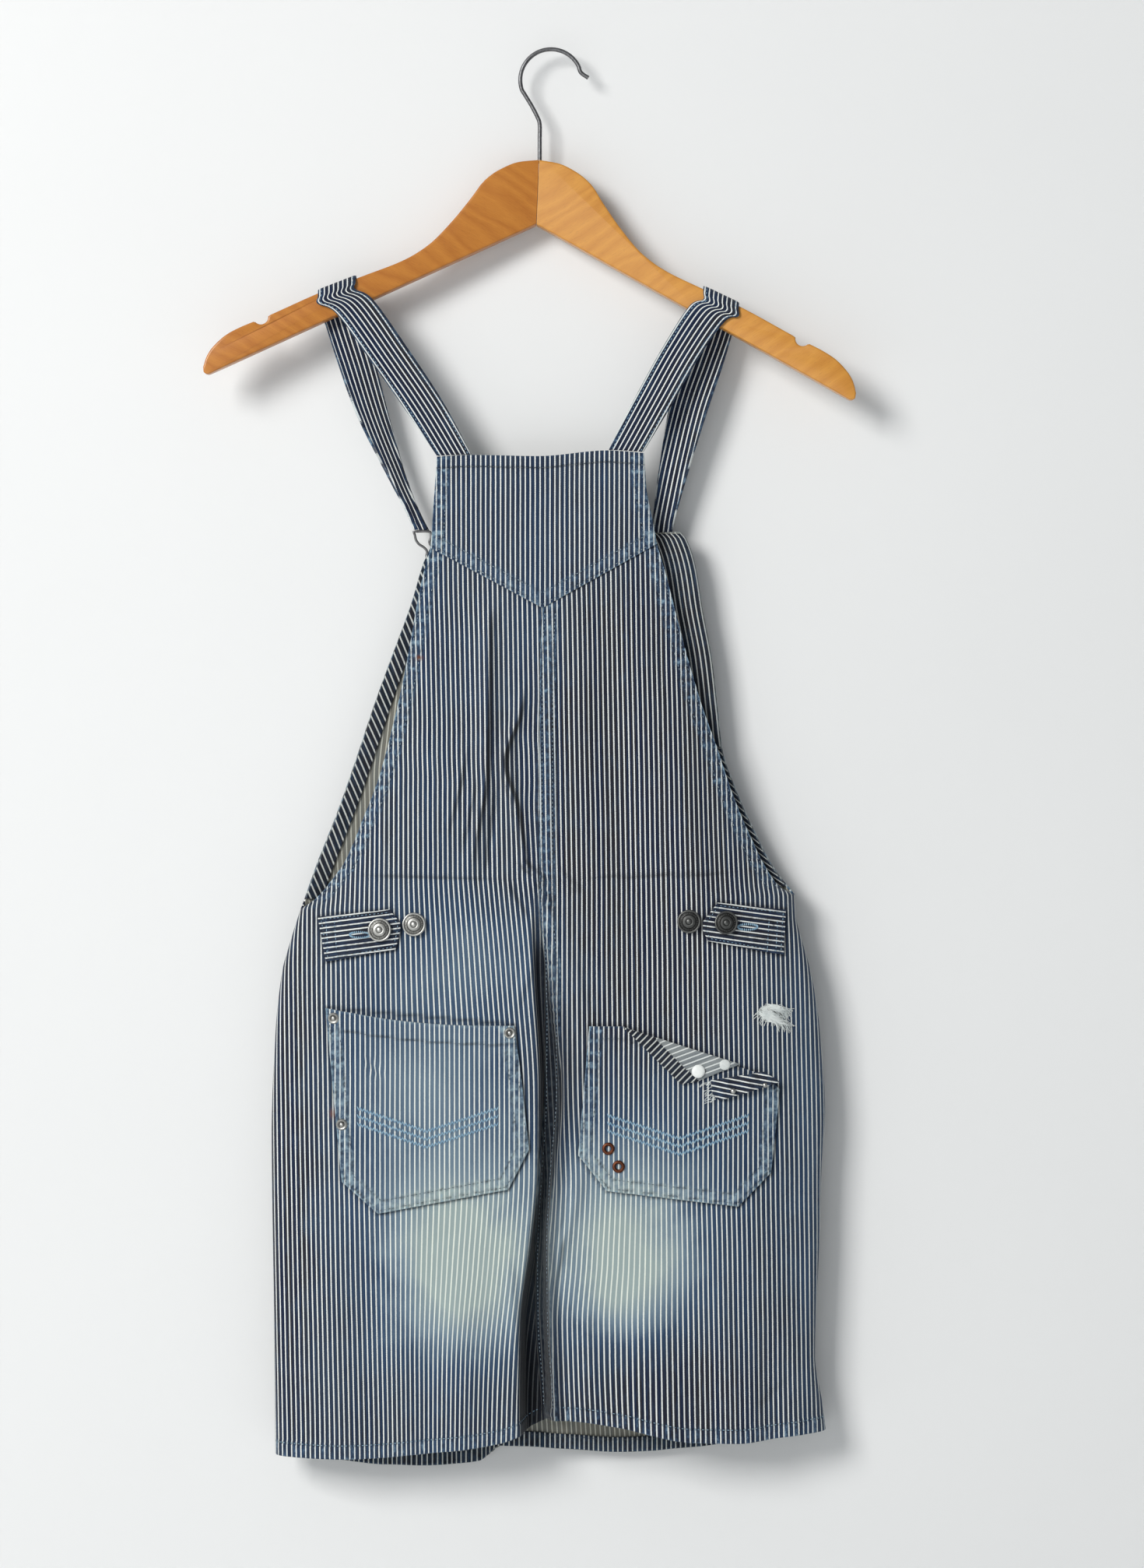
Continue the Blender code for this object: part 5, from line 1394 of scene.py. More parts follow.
@dataclass(frozen=True)
class Front:
    """The whole front in one piece, from the bib's top to the hem, facing the wall."""

    name: str = "front_panel"
    column_step: float = 3.0
    row_step: float = 3.0
    side: tuple[float, float] = (5.0, 12.0)     # where the turn and the edge's columns end
    hem_reach: float = 90.0      # how far up the hem's curve bends the rows

    def grid(self) -> tuple[Array, Array, Array, Array]:
        """Place across, height, and distances from the left and right border."""
        f = FORM
        spans = ((f.front_left[0][0], f.left_junction, f.front_hem[0][1]),
                 (f.front_right[0][0], f.right_junction, f.front_hem[-1][1]))
        low = steps(((13.0, 1.3), (spans[0][1] - spans[0][2], self.row_step)))
        high = steps(((spans[0][0] - spans[0][1] - 12.0, self.row_step),
                      (spans[0][0] - spans[0][1], 1.3)))[1:]
        heights = []
        for top, junction, hem in spans:
            heights.append(np.concatenate([
                hem + low / low[-1] * (junction - hem),
                junction + high / high[-1] * (top - junction)]))
        left_x = f.edges(Layer.FRONT, heights[0])[0]
        right_x = f.edges(Layer.FRONT, heights[1])[1]
        width = (right_x - left_x)[:, None]
        turn = self.side[0] * (1.0 - np.cos(np.linspace(0.0, math.pi / 2, 7)))
        near = np.concatenate([turn, steps(((self.side[1], 1.1),), self.side[0])[1:]])
        count = int((width.max() - 2 * near[-1]) / self.column_step)
        share = np.linspace(0.0, 1.0, count + 2)[1:-1]
        away = np.concatenate([
            np.broadcast_to(near, (len(width), len(near))),
            near[-1] + (width - 2 * near[-1]) * share, width - near[::-1]], axis=1)
        part = away / width
        x = left_x[:, None] + away
        z = heights[0][:, None] + (heights[1] - heights[0])[:, None] * part
        straight = f.front_hem[0][1] + (f.front_hem[-1][1] - f.front_hem[0][1]) * part
        share_hem = ease(1.0 - (heights[0] - f.front_hem[0][1])[:, None] / self.hem_reach)
        return x, z + share_hem * (curve(f.front_hem, x) - straight), away, width - away

    def build(self, fabric: Fabric) -> bpy.types.Object:
        """Make the front, with its bib hem, armhole edges and turned-up hem line."""
        f = FORM
        x, z, from_left, from_right = self.grid()
        side = np.minimum(from_left, from_right)
        open_edge = ease((z + 610.0) / 14.0)
        lift = open_edge * SEAMS.edge_lift(side, z, 7.0)
        worn = open_edge * SEAMS.edge_wear(side, z, 7.0)
        hem = z - curve(f.front_hem, x)
        hem_lift = 0.5 * ease((11.0 - hem) / 1.2) - 0.35 * bell(hem - SEAMS.hem_row, 1.4)
        hem_lift = hem_lift + 0.35 * ripple(x, 9.0, 8.0) * ease((14.0 - hem) / 5.0)
        lift = lift + ease(side / 4.0) * hem_lift
        top = z[-1:] - z
        lift = lift + 0.45 * ease((16.0 - top) / 1.6) - 0.35 * bell(top - 14.6, 1.4)
        worn = worn + 0.25 * ease((1.6 - hem) / 1.6) + 0.25 * ease((1.6 - top) / 1.6)
        worn = worn + 0.2 * ease((11.5 - hem) / 2.0) * mottle(x, 9.0, 8.0)
        coarse = f.point(Layer.FRONT, x, z, 0.0, fine=False)
        u = arc_across(coarse, x.shape[1] // 2)
        points = f.point(Layer.FRONT, x, z, lift)
        grids = mirrored(points, np.stack([u, z], axis=-1), worn)
        return cloth_sheet(self.name, *grids, fabric, PANEL_THICKNESS, Cut(400.0, 665.0, 0.8),
                           ON_STRAPS)


@dataclass(frozen=True)
class Facing:
    """Strip cut on the slant and sewn inside an armhole edge of the front."""

    name: str
    left: bool
    top: float
    bottom: float
    width: float = 12.0
    slant: float = 38.0
    upright_above: float | None = None  # above this its stripes follow the edge, and it is wider
    more: float = 12.0

    @property
    def cut(self) -> Cut:
        """Its flat size."""
        length = self.top - self.bottom + 8.0
        if self.upright_above is None:
            return Cut(self.width, length)
        return Cut(self.width + self.more, length, 0.82)

    def build(self, fabric: Fabric) -> bpy.types.Object:
        """Make the strip; its right side faces the viewer."""
        f = FORM
        z = np.linspace(self.bottom, self.top, 150)[:, None]
        start = self.top if self.upright_above is None else self.upright_above
        upright = z > start
        widened = 0.0 if self.upright_above is None else ease((z - start + 6.0) / 30.0)
        wide = self.width + self.more * widened
        away = 0.3 + (wide - 0.3) * np.linspace(0.0, 1.0, 13)[None, :]
        edge = f.edges(Layer.FRONT, z)[0 if self.left else 1]
        x = edge + (away if self.left else -away)
        z = z + 0.0 * away
        relief = 0.25 * bell(away - self.width / 2, self.width / 2) - 0.3 * bell(away - 10.2, 1.2)
        relief = relief + 0.16 * ripple(z, 9.0, 2.0)
        points = f.point(Layer.FRONT, x, z, -2.75 - relief)
        turn = math.radians(self.slant if self.left else -self.slant)
        grain = np.stack([
            np.where(upright, away + 0.8, away * math.cos(turn) + z * math.sin(turn)),
            np.where(upright, z, z * math.cos(turn) - away * math.sin(turn))], axis=-1)
        worn = 0.25 * ease((1.5 - away) / 1.5) + 0.1 * mottle(z, 9.0, 2.0)
        grids = (points, grain, worn) if self.left else mirrored(points, grain, worn)
        return cloth_sheet(self.name, *grids, fabric, STRIP_THICKNESS, self.cut, ("front_panel",))


@dataclass(frozen=True)
class FrontTurnup:
    """Turned-up hem inside the front, seen under the lifted back hem."""

    name: str = "front_hem_turnup"
    depth: float = 11.0

    def build(self, fabric: Fabric) -> bpy.types.Object:
        """Make the strip; its right side faces the viewer."""
        f = FORM
        x = np.linspace(f.front_hem[0][0] + 15.0, f.front_hem[-1][0] - 15.0, 150)[None, :]
        height = np.linspace(0.5, self.depth, 9)[:, None]
        z = curve(f.front_hem, x) + height
        relief = -0.25 * bell(height - 9.2, 1.2) + 0.16 * ripple(x, 9.0, 8.0)
        points = f.point(Layer.FRONT, x + 0.0 * height, z, -3.1 - relief)
        grain = np.stack([x + 0.0 * height, -z], axis=-1)
        worn = 0.15 + 0.2 * ease((1.5 - height) / 1.5) + 0.0 * x
        return cloth_sheet(self.name, points, grain, worn, fabric, STRIP_THICKNESS,
                           Cut(365.0, self.depth), ("front_panel",))


# ------------------------------------------------------------------ pieces laid on the back

Outline = tuple[tuple[float, float], ...]
Reshape = Callable[[Array, Array], tuple[Array, Array]]


@dataclass(frozen=True)
class Side:
    """One side of a convex outline: where it starts, its direction and the way inwards."""

    start: tuple[float, float]
    along: tuple[float, float]
    inward: tuple[float, float]
    outward: tuple[float, float]     # as long as the side


def sides_of(outline: Outline) -> list[Side]:
    """Sides of a convex outline, in order."""
    centre = np.mean(outline, axis=0)
    sides = []
    for (x0, z0), (x1, z1) in zip(outline, outline[1:] + outline[:1]):
        length = math.hypot(x1 - x0, z1 - z0)
        nx, nz = z1 - z0, x0 - x1
        if (centre[0] - x0) * nx + (centre[1] - z0) * nz < 0:
            nx, nz = -nx, -nz
        along = ((x1 - x0) / length, (z1 - z0) / length)
        sides.append(Side((x0, z0), along, (nx / length, nz / length), (-nx, -nz)))
    return sides


def border_distances(outline: Outline, x: Array, z: Array) -> Array:
    """Distance inwards from each side of a convex outline: one row a side."""
    return np.array([(x - side.start[0]) * side.inward[0] + (z - side.start[1]) * side.inward[1]
                     for side in sides_of(outline)])


def turned(x: Array, z: Array, across: tuple[float, float]) -> Array:
    """Distances along a direction and square to it, as the stripes need them."""
    return np.stack([x * across[0] + z * across[1], z * across[0] - x * across[1]], axis=-1)


@dataclass(frozen=True)
class Patch:
    """Piece of cloth laid on the back and cut to a convex outline."""

    name: str
    outline: Outline
    step: float = 1.9
    lift: float = 1.75           # of its outer face over the panel
    thickness: float = 1.35
    turned_in: tuple[int, ...] = ()     # sides that are turned in and stitched down
    mouth: tuple[int, ...] = ()         # sides with a wider hem
    hem: float = 16.0
    seed: float = 0.0
    wear: float = 1.0
    across: tuple[float, float] = (1.0, 0.0)    # direction that the stripes repeat in
    band: tuple[int, float] | None = None       # side and width of a hem that shows
    reshape: Reshape | None = None
    extra: Callable[[Array, Array], Array] | None = None
    cut: Cut = Cut(150.0, 150.0, 0.9)
    rests_on: tuple[str, ...] = ()

    @property
    def mouth_row(self) -> float:
        """How far in from its mouth the hem is sewn."""
        return self.hem - 1.4

    def relief(self, x: Array, z: Array) -> tuple[Array, Array]:
        """Lift over its plain face and wear, from its sides."""
        away = border_distances(self.outline, x, z)
        lift, worn = np.zeros_like(x), np.zeros_like(x)
        for k, side in enumerate(sides_of(self.outline)):
            along = (x - side.start[0]) * side.along[0] + (z - side.start[1]) * side.along[1]
            if k in self.turned_in:
                edge = SEAMS.edge_lift(away[k], along + 40.0 * k, self.seed + k, 0.75)
                lift = np.where(np.abs(edge) > np.abs(lift), edge, lift)
                worn = np.maximum(worn, SEAMS.edge_wear(away[k], along + 40.0 * k, self.seed + k))
            if k in self.mouth:
                edge = 0.5 * ease((self.hem - away[k]) / 1.4)
                edge = edge - 0.35 * bell(away[k] - self.mouth_row, 1.3)
                puckers = 0.2 * ripple(along, 11.0, self.seed) * ease((20 - away[k]) / 8)
                lift = lift + edge + puckers
                worn = np.maximum(worn, 0.4 * ease((1.6 - away[k]) / 1.6))
            if self.band and k == self.band[0]:
                lift = lift + 0.8 * ease((self.band[1] - away[k]) / 0.9)
                lift = lift + 0.3 * ripple(along, 7.0, self.seed) * bell(away[k] - 5.0, 9.0)
        return lift, worn * self.wear

    def painted_shade(self, x: Array, z: Array) -> Array:
        """Painted shade in the grooves of its rows of stitches."""
        away = border_distances(self.outline, x, z)
        shade = np.zeros_like(x)
        inside = away.min(axis=0)
        if len(self.turned_in) > 2:
            shade = SEAMS.row_shade(inside, x + z, self.seed)
        for k in self.mouth:
            row = bell(away[k] - self.mouth_row, 1.4) * (0.55 + 0.25 * ripple(x, 6.0, self.seed))
            shade = np.maximum(np.where(away[k] < self.hem - 3.0, 0.0, shade), row)
        return shade

    def flat_shape(self) -> bmesh.types.BMesh:
        """Fine grid cut to the outline, flat, in millimetres."""
        lows, highs = np.min(self.outline, axis=0), np.max(self.outline, axis=0)
        cells = [max(2, round(span / self.step)) for span in (highs - lows).tolist()]
        shape = bmesh.new()
        bmesh.ops.create_grid(shape, x_segments=cells[0], y_segments=cells[1], size=0.5)
        for vert in shape.verts:
            vert.co = Vector((lows[0] + (vert.co.x + 0.5) * (highs[0] - lows[0]),
                              lows[1] + (vert.co.y + 0.5) * (highs[1] - lows[1]), 0.0))
        for side in sides_of(self.outline):
            everything = shape.verts[:] + shape.edges[:] + shape.faces[:]
            bmesh.ops.bisect_plane(shape, geom=everything, dist=0.01, plane_co=(*side.start, 0.0),
                                   plane_no=(*side.outward, 0.0), clear_outer=True)
        bmesh.ops.remove_doubles(shape, verts=shape.verts, dist=0.12)
        shape.verts.index_update()
        return shape

    def build(self, fabric: Fabric) -> bpy.types.Object:
        """Make the piece.

        Args:
            fabric: Its denim.

        Returns:
            The piece.
        """
        shape = self.flat_shape()
        plain = np.array([vert.co[:2] for vert in shape.verts])
        x, z = plain[:, 0], plain[:, 1]
        lift, worn = self.relief(x, z)
        height, more = self.reshape(x, z) if self.reshape else (z, 0.0 * z)
        if self.extra:
            more = more + self.extra(x, z)
        points = FORM.point(Layer.BACK, x, height, self.lift + lift + more)
        grain = bars = turned(x, z, self.across)
        layer = shape.loops.layers.uv.new(GRAIN)
        # the second layer carries the painted shade
        shade, dark = (shape.verts.layers.float.new(key) for key in (WORN, PAINTED_SHADE))
        painted_shade = self.painted_shade(x, z)
        hemmed = np.zeros(len(x), bool)
        if self.band:
            hemmed = border_distances(self.outline, x, z)[self.band[0]] < self.band[1]
            bars = turned(x, z, sides_of(self.outline)[self.band[0]].along)
        for face in shape.faces:
            shown = all(hemmed[vert.index] for vert in face.verts)
            face.material_index = int(shown)
            for loop in face.loops:
                loop[layer].uv = (bars if shown else grain)[loop.vert.index] * MM
        for k, vert in enumerate(shape.verts):
            vert[shade] = float(np.clip(worn[k], 0.0, 1.0))
            vert[dark] = float(painted_shade[k])
            vert.co = Vector(points[k]) * MM
        mesh = bpy.data.meshes.new(self.name)
        shape.to_mesh(mesh)
        shape.free()
        item = to_object(self.name, mesh, (fabric.right, fabric.wrong))
        give_wall(item, self.thickness)
        attach(item, (self.name,))
        declare(self.cut)
        return item

    def surface(self, x: Array, z: Array) -> Array:
        """Lift of its outer face at points, for what is sewn on it."""
        lift, _ = self.relief(x, z)
        _, more = self.reshape(x, z) if self.reshape else (z, 0.0 * z)
        return self.lift + lift + more + (self.extra(x, z) if self.extra else 0.0)

    def sew(self, stitches: Stitching, inset: float, sides: Sequence[int],
            **options: float) -> None:
        """Sew along sides of the outline, set in from them."""
        corners = inset_outline(self.outline, inset)
        for k in sides:
            path = line(corners[k], corners[(k + 1) % len(corners)])
            x, z = path[:, 0], path[:, 1]
            lift = self.surface(x, z) + 0.02
            height = self.reshape(x, z)[0] if self.reshape else z
            stitches.on_back(x, height, lift, **options)


def inset_outline(outline: Outline, inset: float) -> list[tuple[float, float]]:
    """Corners of a convex outline moved in by a distance."""
    lines = [(*side.inward, float(np.dot(side.inward, side.start)) + inset)
             for side in sides_of(outline)]
    corners = []
    for first, second in zip(lines[-1:] + lines[:-1], lines):
        det = first[0] * second[1] - second[0] * first[1]
        corners.append(((first[2] * second[1] - second[2] * first[1]) / det,
                        (first[0] * second[2] - second[0] * first[2]) / det))
    return corners


LEFT_POCKET: Outline = (
    (-159.0, -681.6), (-25.1, -693.7), (-20.7, -735.0), (-14.8, -779.0), (-30.5, -809.0),
    (-122.2, -826.0), (-147.5, -803.5), (-151.2, -765.0))
RIGHT_POCKET: Outline = (
    (26.6, -694.2), (50.1, -694.2), (151.0, -729.2), (160.4, -738.7), (156.3, -781.5),
    (154.4, -797.4), (131.4, -821.0), (39.2, -810.1), (18.9, -785.1))
TURNED_CORNER: Outline = ((50.6, -694.6), (148.4, -725.6), (101.9, -733.0), (93.0, -736.6))
CORNER_TAIL: Outline = (
    (112.0, -731.9), (148.4, -726.1), (160.6, -734.6), (134.0, -741.6), (118.6, -746.6),
    (113.4, -741.0))
LEFT_TAB: Outline = (
    (-164.8, -617.6), (-114.2, -612.1), (-106.6, -621.0), (-106.4, -626.5), (-109.8, -640.1),
    (-158.8, -648.9))
RIGHT_TAB: Outline = (
    (106.6, -620.6), (117.0, -607.2), (165.2, -612.6), (163.5, -644.5), (110.2, -634.1),
    (106.5, -626.0))


def left_mouth(x: Array, z: Array) -> tuple[Array, Array]:
    """Sag of the left pocket's mouth, fading downwards, and a slight gape."""
    (x0, z0), (x1, z1) = LEFT_POCKET[0], LEFT_POCKET[1]
    part = np.clip((x - x0) / (x1 - x0), 0.0, 1.0)
    below = (z0 + (z1 - z0) * part) - z
    near = 1.0 - ease(below / 45.0)
    bow = np.sin(math.pi * part)
    return z - 4.0 * bow * near, 1.6 * bow * near ** 2


def corner_lift(x: Array, z: Array) -> tuple[Array, Array]:
    """Lift of the turned-out corner, growing away from its fold, and its soft curl."""
    (x0, z0), (x1, z1) = TURNED_CORNER[0], TURNED_CORNER[1]
    length = math.hypot(x1 - x0, z1 - z0)
    away = np.abs((x1 - x0) / length * (z - z0) - (z1 - z0) / length * (x - x0))
    curl = 0.35 * np.sin(x * 0.11) * ease(away / 6.0)
    return z, 0.06 * away + 0.9 * bell(away - 3.0, 3.5) + curl


def tail_lift(x: Array, z: Array) -> tuple[Array, Array]:
    """Crumple of the small end piece of that corner."""
    wave = 0.9 + 0.75 * np.sin(x * 0.42) + 0.5 * np.sin(x * 0.9 + z * 0.5)
    return z, wave + 0.03 * (x - CORNER_TAIL[0][0]) + 1.2


def pocket_slack(middle: float) -> Callable[[Array, Array], Array]:
    """Soft bagging of a pocket round its middle."""
    def lift(x: Array, z: Array) -> Array:
        """Lift at points of the pocket."""
        return (0.8 * bell(x - middle, 70.0) * bell(z + 750.0, 62.0)
                + 0.3 * ripple(x + 0.5 * z, 42.0, middle) * bell(z + 752.0, 60.0))
    return lift


POCKET_LEFT = Patch("pocket_left", LEFT_POCKET, turned_in=(1, 2, 3, 4, 5, 6, 7), mouth=(0,),
                    hem=15.0, seed=2.0, reshape=left_mouth, extra=pocket_slack(-88.0),
                    cut=Cut(140.0, 150.0, 0.88), rests_on=("back_left_panel",))
POCKET_RIGHT = Patch("pocket_right", RIGHT_POCKET, turned_in=(3, 4, 5, 6, 7, 8), mouth=(0,),
                     hem=10.0, seed=5.0, extra=pocket_slack(90.0), cut=Cut(145.0, 130.0, 0.82),
                     rests_on=("back_right_panel",))
CORNER = Patch("pocket_right_turned_corner", TURNED_CORNER, step=1.0, lift=3.3, thickness=1.1,
               reshape=corner_lift, wear=0.5, across=(-0.35, 0.937), band=(3, 11.0),
               cut=Cut(103.0, 24.0, 0.45, Held.FOLDED), rests_on=("pocket_right",))
TAIL = Patch("pocket_right_corner_tail", CORNER_TAIL, step=1.0, lift=3.3, thickness=1.1,
             reshape=tail_lift, turned_in=(0, 3), wear=0.25, across=(0.2, 0.98),
             cut=Cut(50.0, 18.0, 0.7, Held.FOLDED), rests_on=("pocket_right",))
TAB_LEFT = Patch("waist_tab_left", LEFT_TAB, step=1.1, turned_in=(0, 1, 2, 3, 4, 5), seed=3.0,
                 across=(-0.14, 0.99), wear=0.22, cut=Cut(60.0, 31.0, 0.9),
                 rests_on=("back_left_panel",))
TAB_RIGHT = Patch("waist_tab_right", RIGHT_TAB, step=1.1, turned_in=(0, 1, 2, 3, 4, 5), seed=6.0,
                  across=(0.15, 0.989), wear=0.22, cut=Cut(60.0, 31.0, 0.9),
                  rests_on=("back_right_panel",))


# ------------------------------------------------------------------ hanger, straps and wire

@dataclass(frozen=True)
class Hanger:
    """Wooden hanger: two arms joined at a mitre, bowed towards the viewer and tilted."""

    pivot: tuple[float, float] = (-9.1, -78.3)
    tilt: float = math.radians(2.3)
    thick: float = 12.0
    corner: float = 2.8
    length: float = 231.0
    tip: float = 226.0           # where the rounding of the tip's underside begins
    bow: float = 26.0
    top: Pairs = ((0, 0), (14, -2.2), (28.5, -9.0), (38.8, -17.6), (46.5, -29.0), (61, -48.5),
                  (76, -65.0), (92, -76.2), (121, -89.5), (150, -102.5), (186.5, -121.3),
                  (213, -134.6), (224, -144.5), (229, -152.5), (231, -160.0))
    bottom_at_mitre: float = -46.0
    bottom_slope: float = -0.5235
    notch: tuple[float, float] = (192.0, -122.6)
    notch_radius: float = 5.2
    wire: float = 3.0            # diameter of the hook's wire

    def place(self, along: Array, across: Array, height: Array, mirror: int) -> Array:
        """Points from the hanger's own frame, bowed and tilted as it hangs."""
        along, across, height = np.broadcast_arrays(*(np.asarray(part, float)
                                                      for part in (along, across, height)))
        x = mirror * along
        y = across - self.bow * along / self.length
        return np.stack([self.pivot[0] + x * math.cos(self.tilt) + height * math.sin(self.tilt), y,
                         self.pivot[1] - x * math.sin(self.tilt) + height * math.cos(self.tilt)],
                        axis=-1)

    def over(self, mirror: int, x: float) -> Array:
        """Middle line of a strap's border over an arm, from the back to the wall side."""
        top = 0.0
        for _ in range(6):
            along = (x - self.pivot[0] - top * math.sin(self.tilt)) / math.cos(self.tilt)
            top = float(curve(self.top, abs(along)))
        rounding, clear, half_strap = 3.0, 0.5, 1.2
        inside = self.thick / 2 - rounding
        radius = rounding + clear + half_strap
        shoulder = top - rounding
        path = [(-inside - radius, shoulder - 5.0)]
        for middle, angles in ((-inside, (180, 135, 95)), (inside, (85, 45, 0))):
            path += [(middle + radius * math.cos(math.radians(angle)),
                      shoulder + radius * math.sin(math.radians(angle))) for angle in angles]
        path.append((inside + radius, shoulder - 5.0))
        return np.array([self.place(abs(along), across, height, mirror)
                         for across, height in path])

    def outline(self) -> Array:
        """Side view of an arm, from the mitre along the top to the tip and back below."""
        along = steps(((20, 2.5), (200, 3.0), (self.length, 1.2)), 0.15)
        top = curve(self.top, along)
        cx, cz = self.notch
        near = np.hypot(along - cx, top - cz) < self.notch_radius
        first, last = np.nonzero(near)[0][[0, -1]]
        start = math.atan2(top[first] - cz, along[first] - cx)
        end = math.atan2(top[last] - cz, along[last] - cx)
        turn = np.linspace(start % math.tau, end + math.tau, 15)
        bite = np.stack([cx + self.notch_radius * np.cos(turn),
                         cz + self.notch_radius * np.sin(turn)], axis=-1)
        upper = np.stack([along, top], axis=-1)
        low_along = self.length - steps(
            ((self.length - self.tip + 0.3, 1.0), (self.length, 6.0)), 0.4)
        low_along[-1] = 0.15
        low = self.bottom_at_mitre + self.bottom_slope * low_along
        low = low + 0.16 * np.maximum(low_along - self.tip, 0.0) ** 2
        return np.concatenate([upper[:first], bite, upper[last + 1:],
                               np.stack([low_along, low], axis=-1)])

    def arm(self, name: str, mirror: int, wood: bpy.types.Material) -> bpy.types.Object:
        """Make an arm: its side view drawn out to its thickness, edges rounded, then bowed."""
        shape = bmesh.new()
        rim = [shape.verts.new((x, -self.thick / 2, z)) for x, z in self.outline()]
        face = shape.faces.new(rim)
        out = bmesh.ops.extrude_face_region(shape, geom=[face])["geom"]
        bmesh.ops.translate(shape, vec=(0.0, self.thick, 0.0),
                            verts=[part for part in out if isinstance(part, bmesh.types.BMVert)])
        borders = [edge for edge in shape.edges
                   if abs(edge.verts[0].co.y - edge.verts[1].co.y) < 0.01
                   and max(edge.verts[0].co.x, edge.verts[1].co.x) > 0.2]
        bmesh.ops.bevel(shape, geom=borders, offset=self.corner, offset_type="OFFSET", segments=4,
                        profile=0.5, affect="EDGES", material=-1, clamp_overlap=True)
        for vert in shape.verts:
            slim = 1.0 - 0.35 * float(ease((vert.co.x - 215.0) / 16.0))
            vert.co = Vector(self.place(vert.co.x, vert.co.y * slim, vert.co.z, mirror))
        item = from_bmesh(name, shape, (wood,))
        item.data.set_sharp_from_angle(angle=math.radians(32))
        return attach(item, (name,))


HANGER = Hanger()


def hook_route() -> Array:
    """Middle line of the hanger's hook."""
    shank = [(-8.6, 0.0, -80.0), (-8.6, 0.0, -64.0), (-8.6, 0.0, -52.3), (-10.4, 0.0, -46.6),
             (-14.6, 0.0, -38.6), (-19.6, 0.0, -30.4)]
    turn = np.radians(np.linspace(198.0, 14.0, 15))
    ring = [(-0.5 + 22.0 * math.cos(a), 0.0, -20.5 + 22.0 * math.sin(a)) for a in turn]
    return through(shank + ring + [(26.1, 0.0, -18.9)], 110)


Station = tuple[float, float, float, float, float, float]     # left border, then right


@dataclass(frozen=True)
class Strap:
    """Band up the back, over the hanger and down inside to its bib hook."""

    name: str
    mirror: int
    up: tuple[Station, ...]
    over: tuple[float, float]
    down: tuple[Station, ...]
    count: int = 190
    across: int = 22
    thick: float = 2.2

    def build(self, fabric: Fabric, stitches: Stitching) -> bpy.types.Object:
        """Make the strap and sew its borders.

        Args:
            fabric: Its denim.
            stitches: Where its stitches go.

        Returns:
            The strap.
        """
        crossing = [HANGER.over(self.mirror, x) for x in self.over]
        lefts = through([row[:3] for row in self.up] + list(crossing[0])
                        + [row[:3] for row in self.down], self.count)
        rights = through([row[3:] for row in self.up] + list(crossing[1])
                         + [row[3:] for row in self.down], self.count)
        part = np.linspace(0.0, 1.0, self.across + 1)[None, :, None]
        middle = lefts[:, None] * (1 - part) + rights[:, None] * part
        along = np.gradient(middle, axis=0)
        sideways = np.broadcast_to((rights - lefts)[:, None], middle.shape)
        out = np.cross(sideways, along)
        out = out / np.linalg.norm(out, axis=-1, keepdims=True)
        width = np.linalg.norm(rights - lefts, axis=-1)[:, None]
        run = along_lengths((lefts + rights) / 2)[:, None]
        place = part[..., 0] * width
        side = np.minimum(place, width - place)
        wave = (run, 9.0, 2.0 + self.mirror)
        lift = (self.thick / 2 + 0.12 - 0.5 * ease((0.8 - side) / 0.8)
                - 0.3 * bell(side - SEAMS.first_row, 1.1)
                + 0.22 * ripple(*wave) * ease((5.0 - side) / 3.0))
        worn = 0.3 * ease((1.2 - side) / 1.2)
        worn = worn + 0.34 * mottle(*wave) * ease((4.5 - side) / 2.0)
        points = middle + out * lift[..., None]
        grain = np.stack([place - width / 2 + 0.6, run + 0.0 * place], axis=-1)
        arm = "hanger_left_arm" if self.mirror < 0 else "hanger_right_arm"
        item = cloth_sheet(self.name, points, grain, worn, fabric, self.thick,
                           Cut(27.0, 330.0, 0.92), (arm,))
        sewn = int(np.argmin(np.abs(place[0] - SEAMS.first_row)))
        for column in (sewn, self.across - sewn):
            stitches.run(points[:, column] + out[:, column] * 0.05, out[:, column])
        return item


STRAPS = (
    Strap("strap_left", -1,
          ((-81.4, -21.4, -290.9, -56.9, -21.4, -289.8),
           (-104.0, -22.6, -258.0, -77.4, -22.6, -252.0),
           (-130.0, -23.6, -221.5, -102.5, -23.2, -214.0),
           (-152.5, -24.4, -190.5, -126.5, -22.4, -180.5)),
          (-165.4, -138.8),
          ((-160.8, -8.6, -198.0, -134.0, -5.6, -196.0),
           (-153.0, -9.4, -222.0, -126.0, -5.0, -222.0),
           (-138.7, -11.0, -261.0, -114.8, -3.4, -265.0),
           (-117.0, -10.0, -304.0, -103.0, -2.6, -306.0),
           (-105.0, -8.0, -327.0, -94.4, -3.8, -328.0),
           (-98.6, -6.2, -342.3, -87.4, -4.6, -342.3))),
    Strap("strap_right", 1,
          ((40.6, -21.4, -286.5, 65.2, -21.4, -288.1),
           (58.0, -22.6, -252.0, 84.6, -22.6, -256.0),
           (78.0, -22.8, -215.5, 104.5, -23.2, -221.5),
           (97.2, -21.8, -185.4, 122.8, -23.0, -196.0)),
          (107.6, 132.6),
          ((101.6, -5.2, -204.0, 127.7, -7.0, -206.6),
           (94.4, -4.2, -222.0, 121.8, -7.4, -226.0),
           (84.6, -3.0, -250.0, 111.0, -8.4, -258.0),
           (77.6, -2.6, -290.0, 99.0, -7.4, -296.0),
           (72.4, -3.2, -330.0, 88.4, -5.2, -333.0),
           (70.6, -4.7, -350.6, 84.8, -4.7, -350.6))))

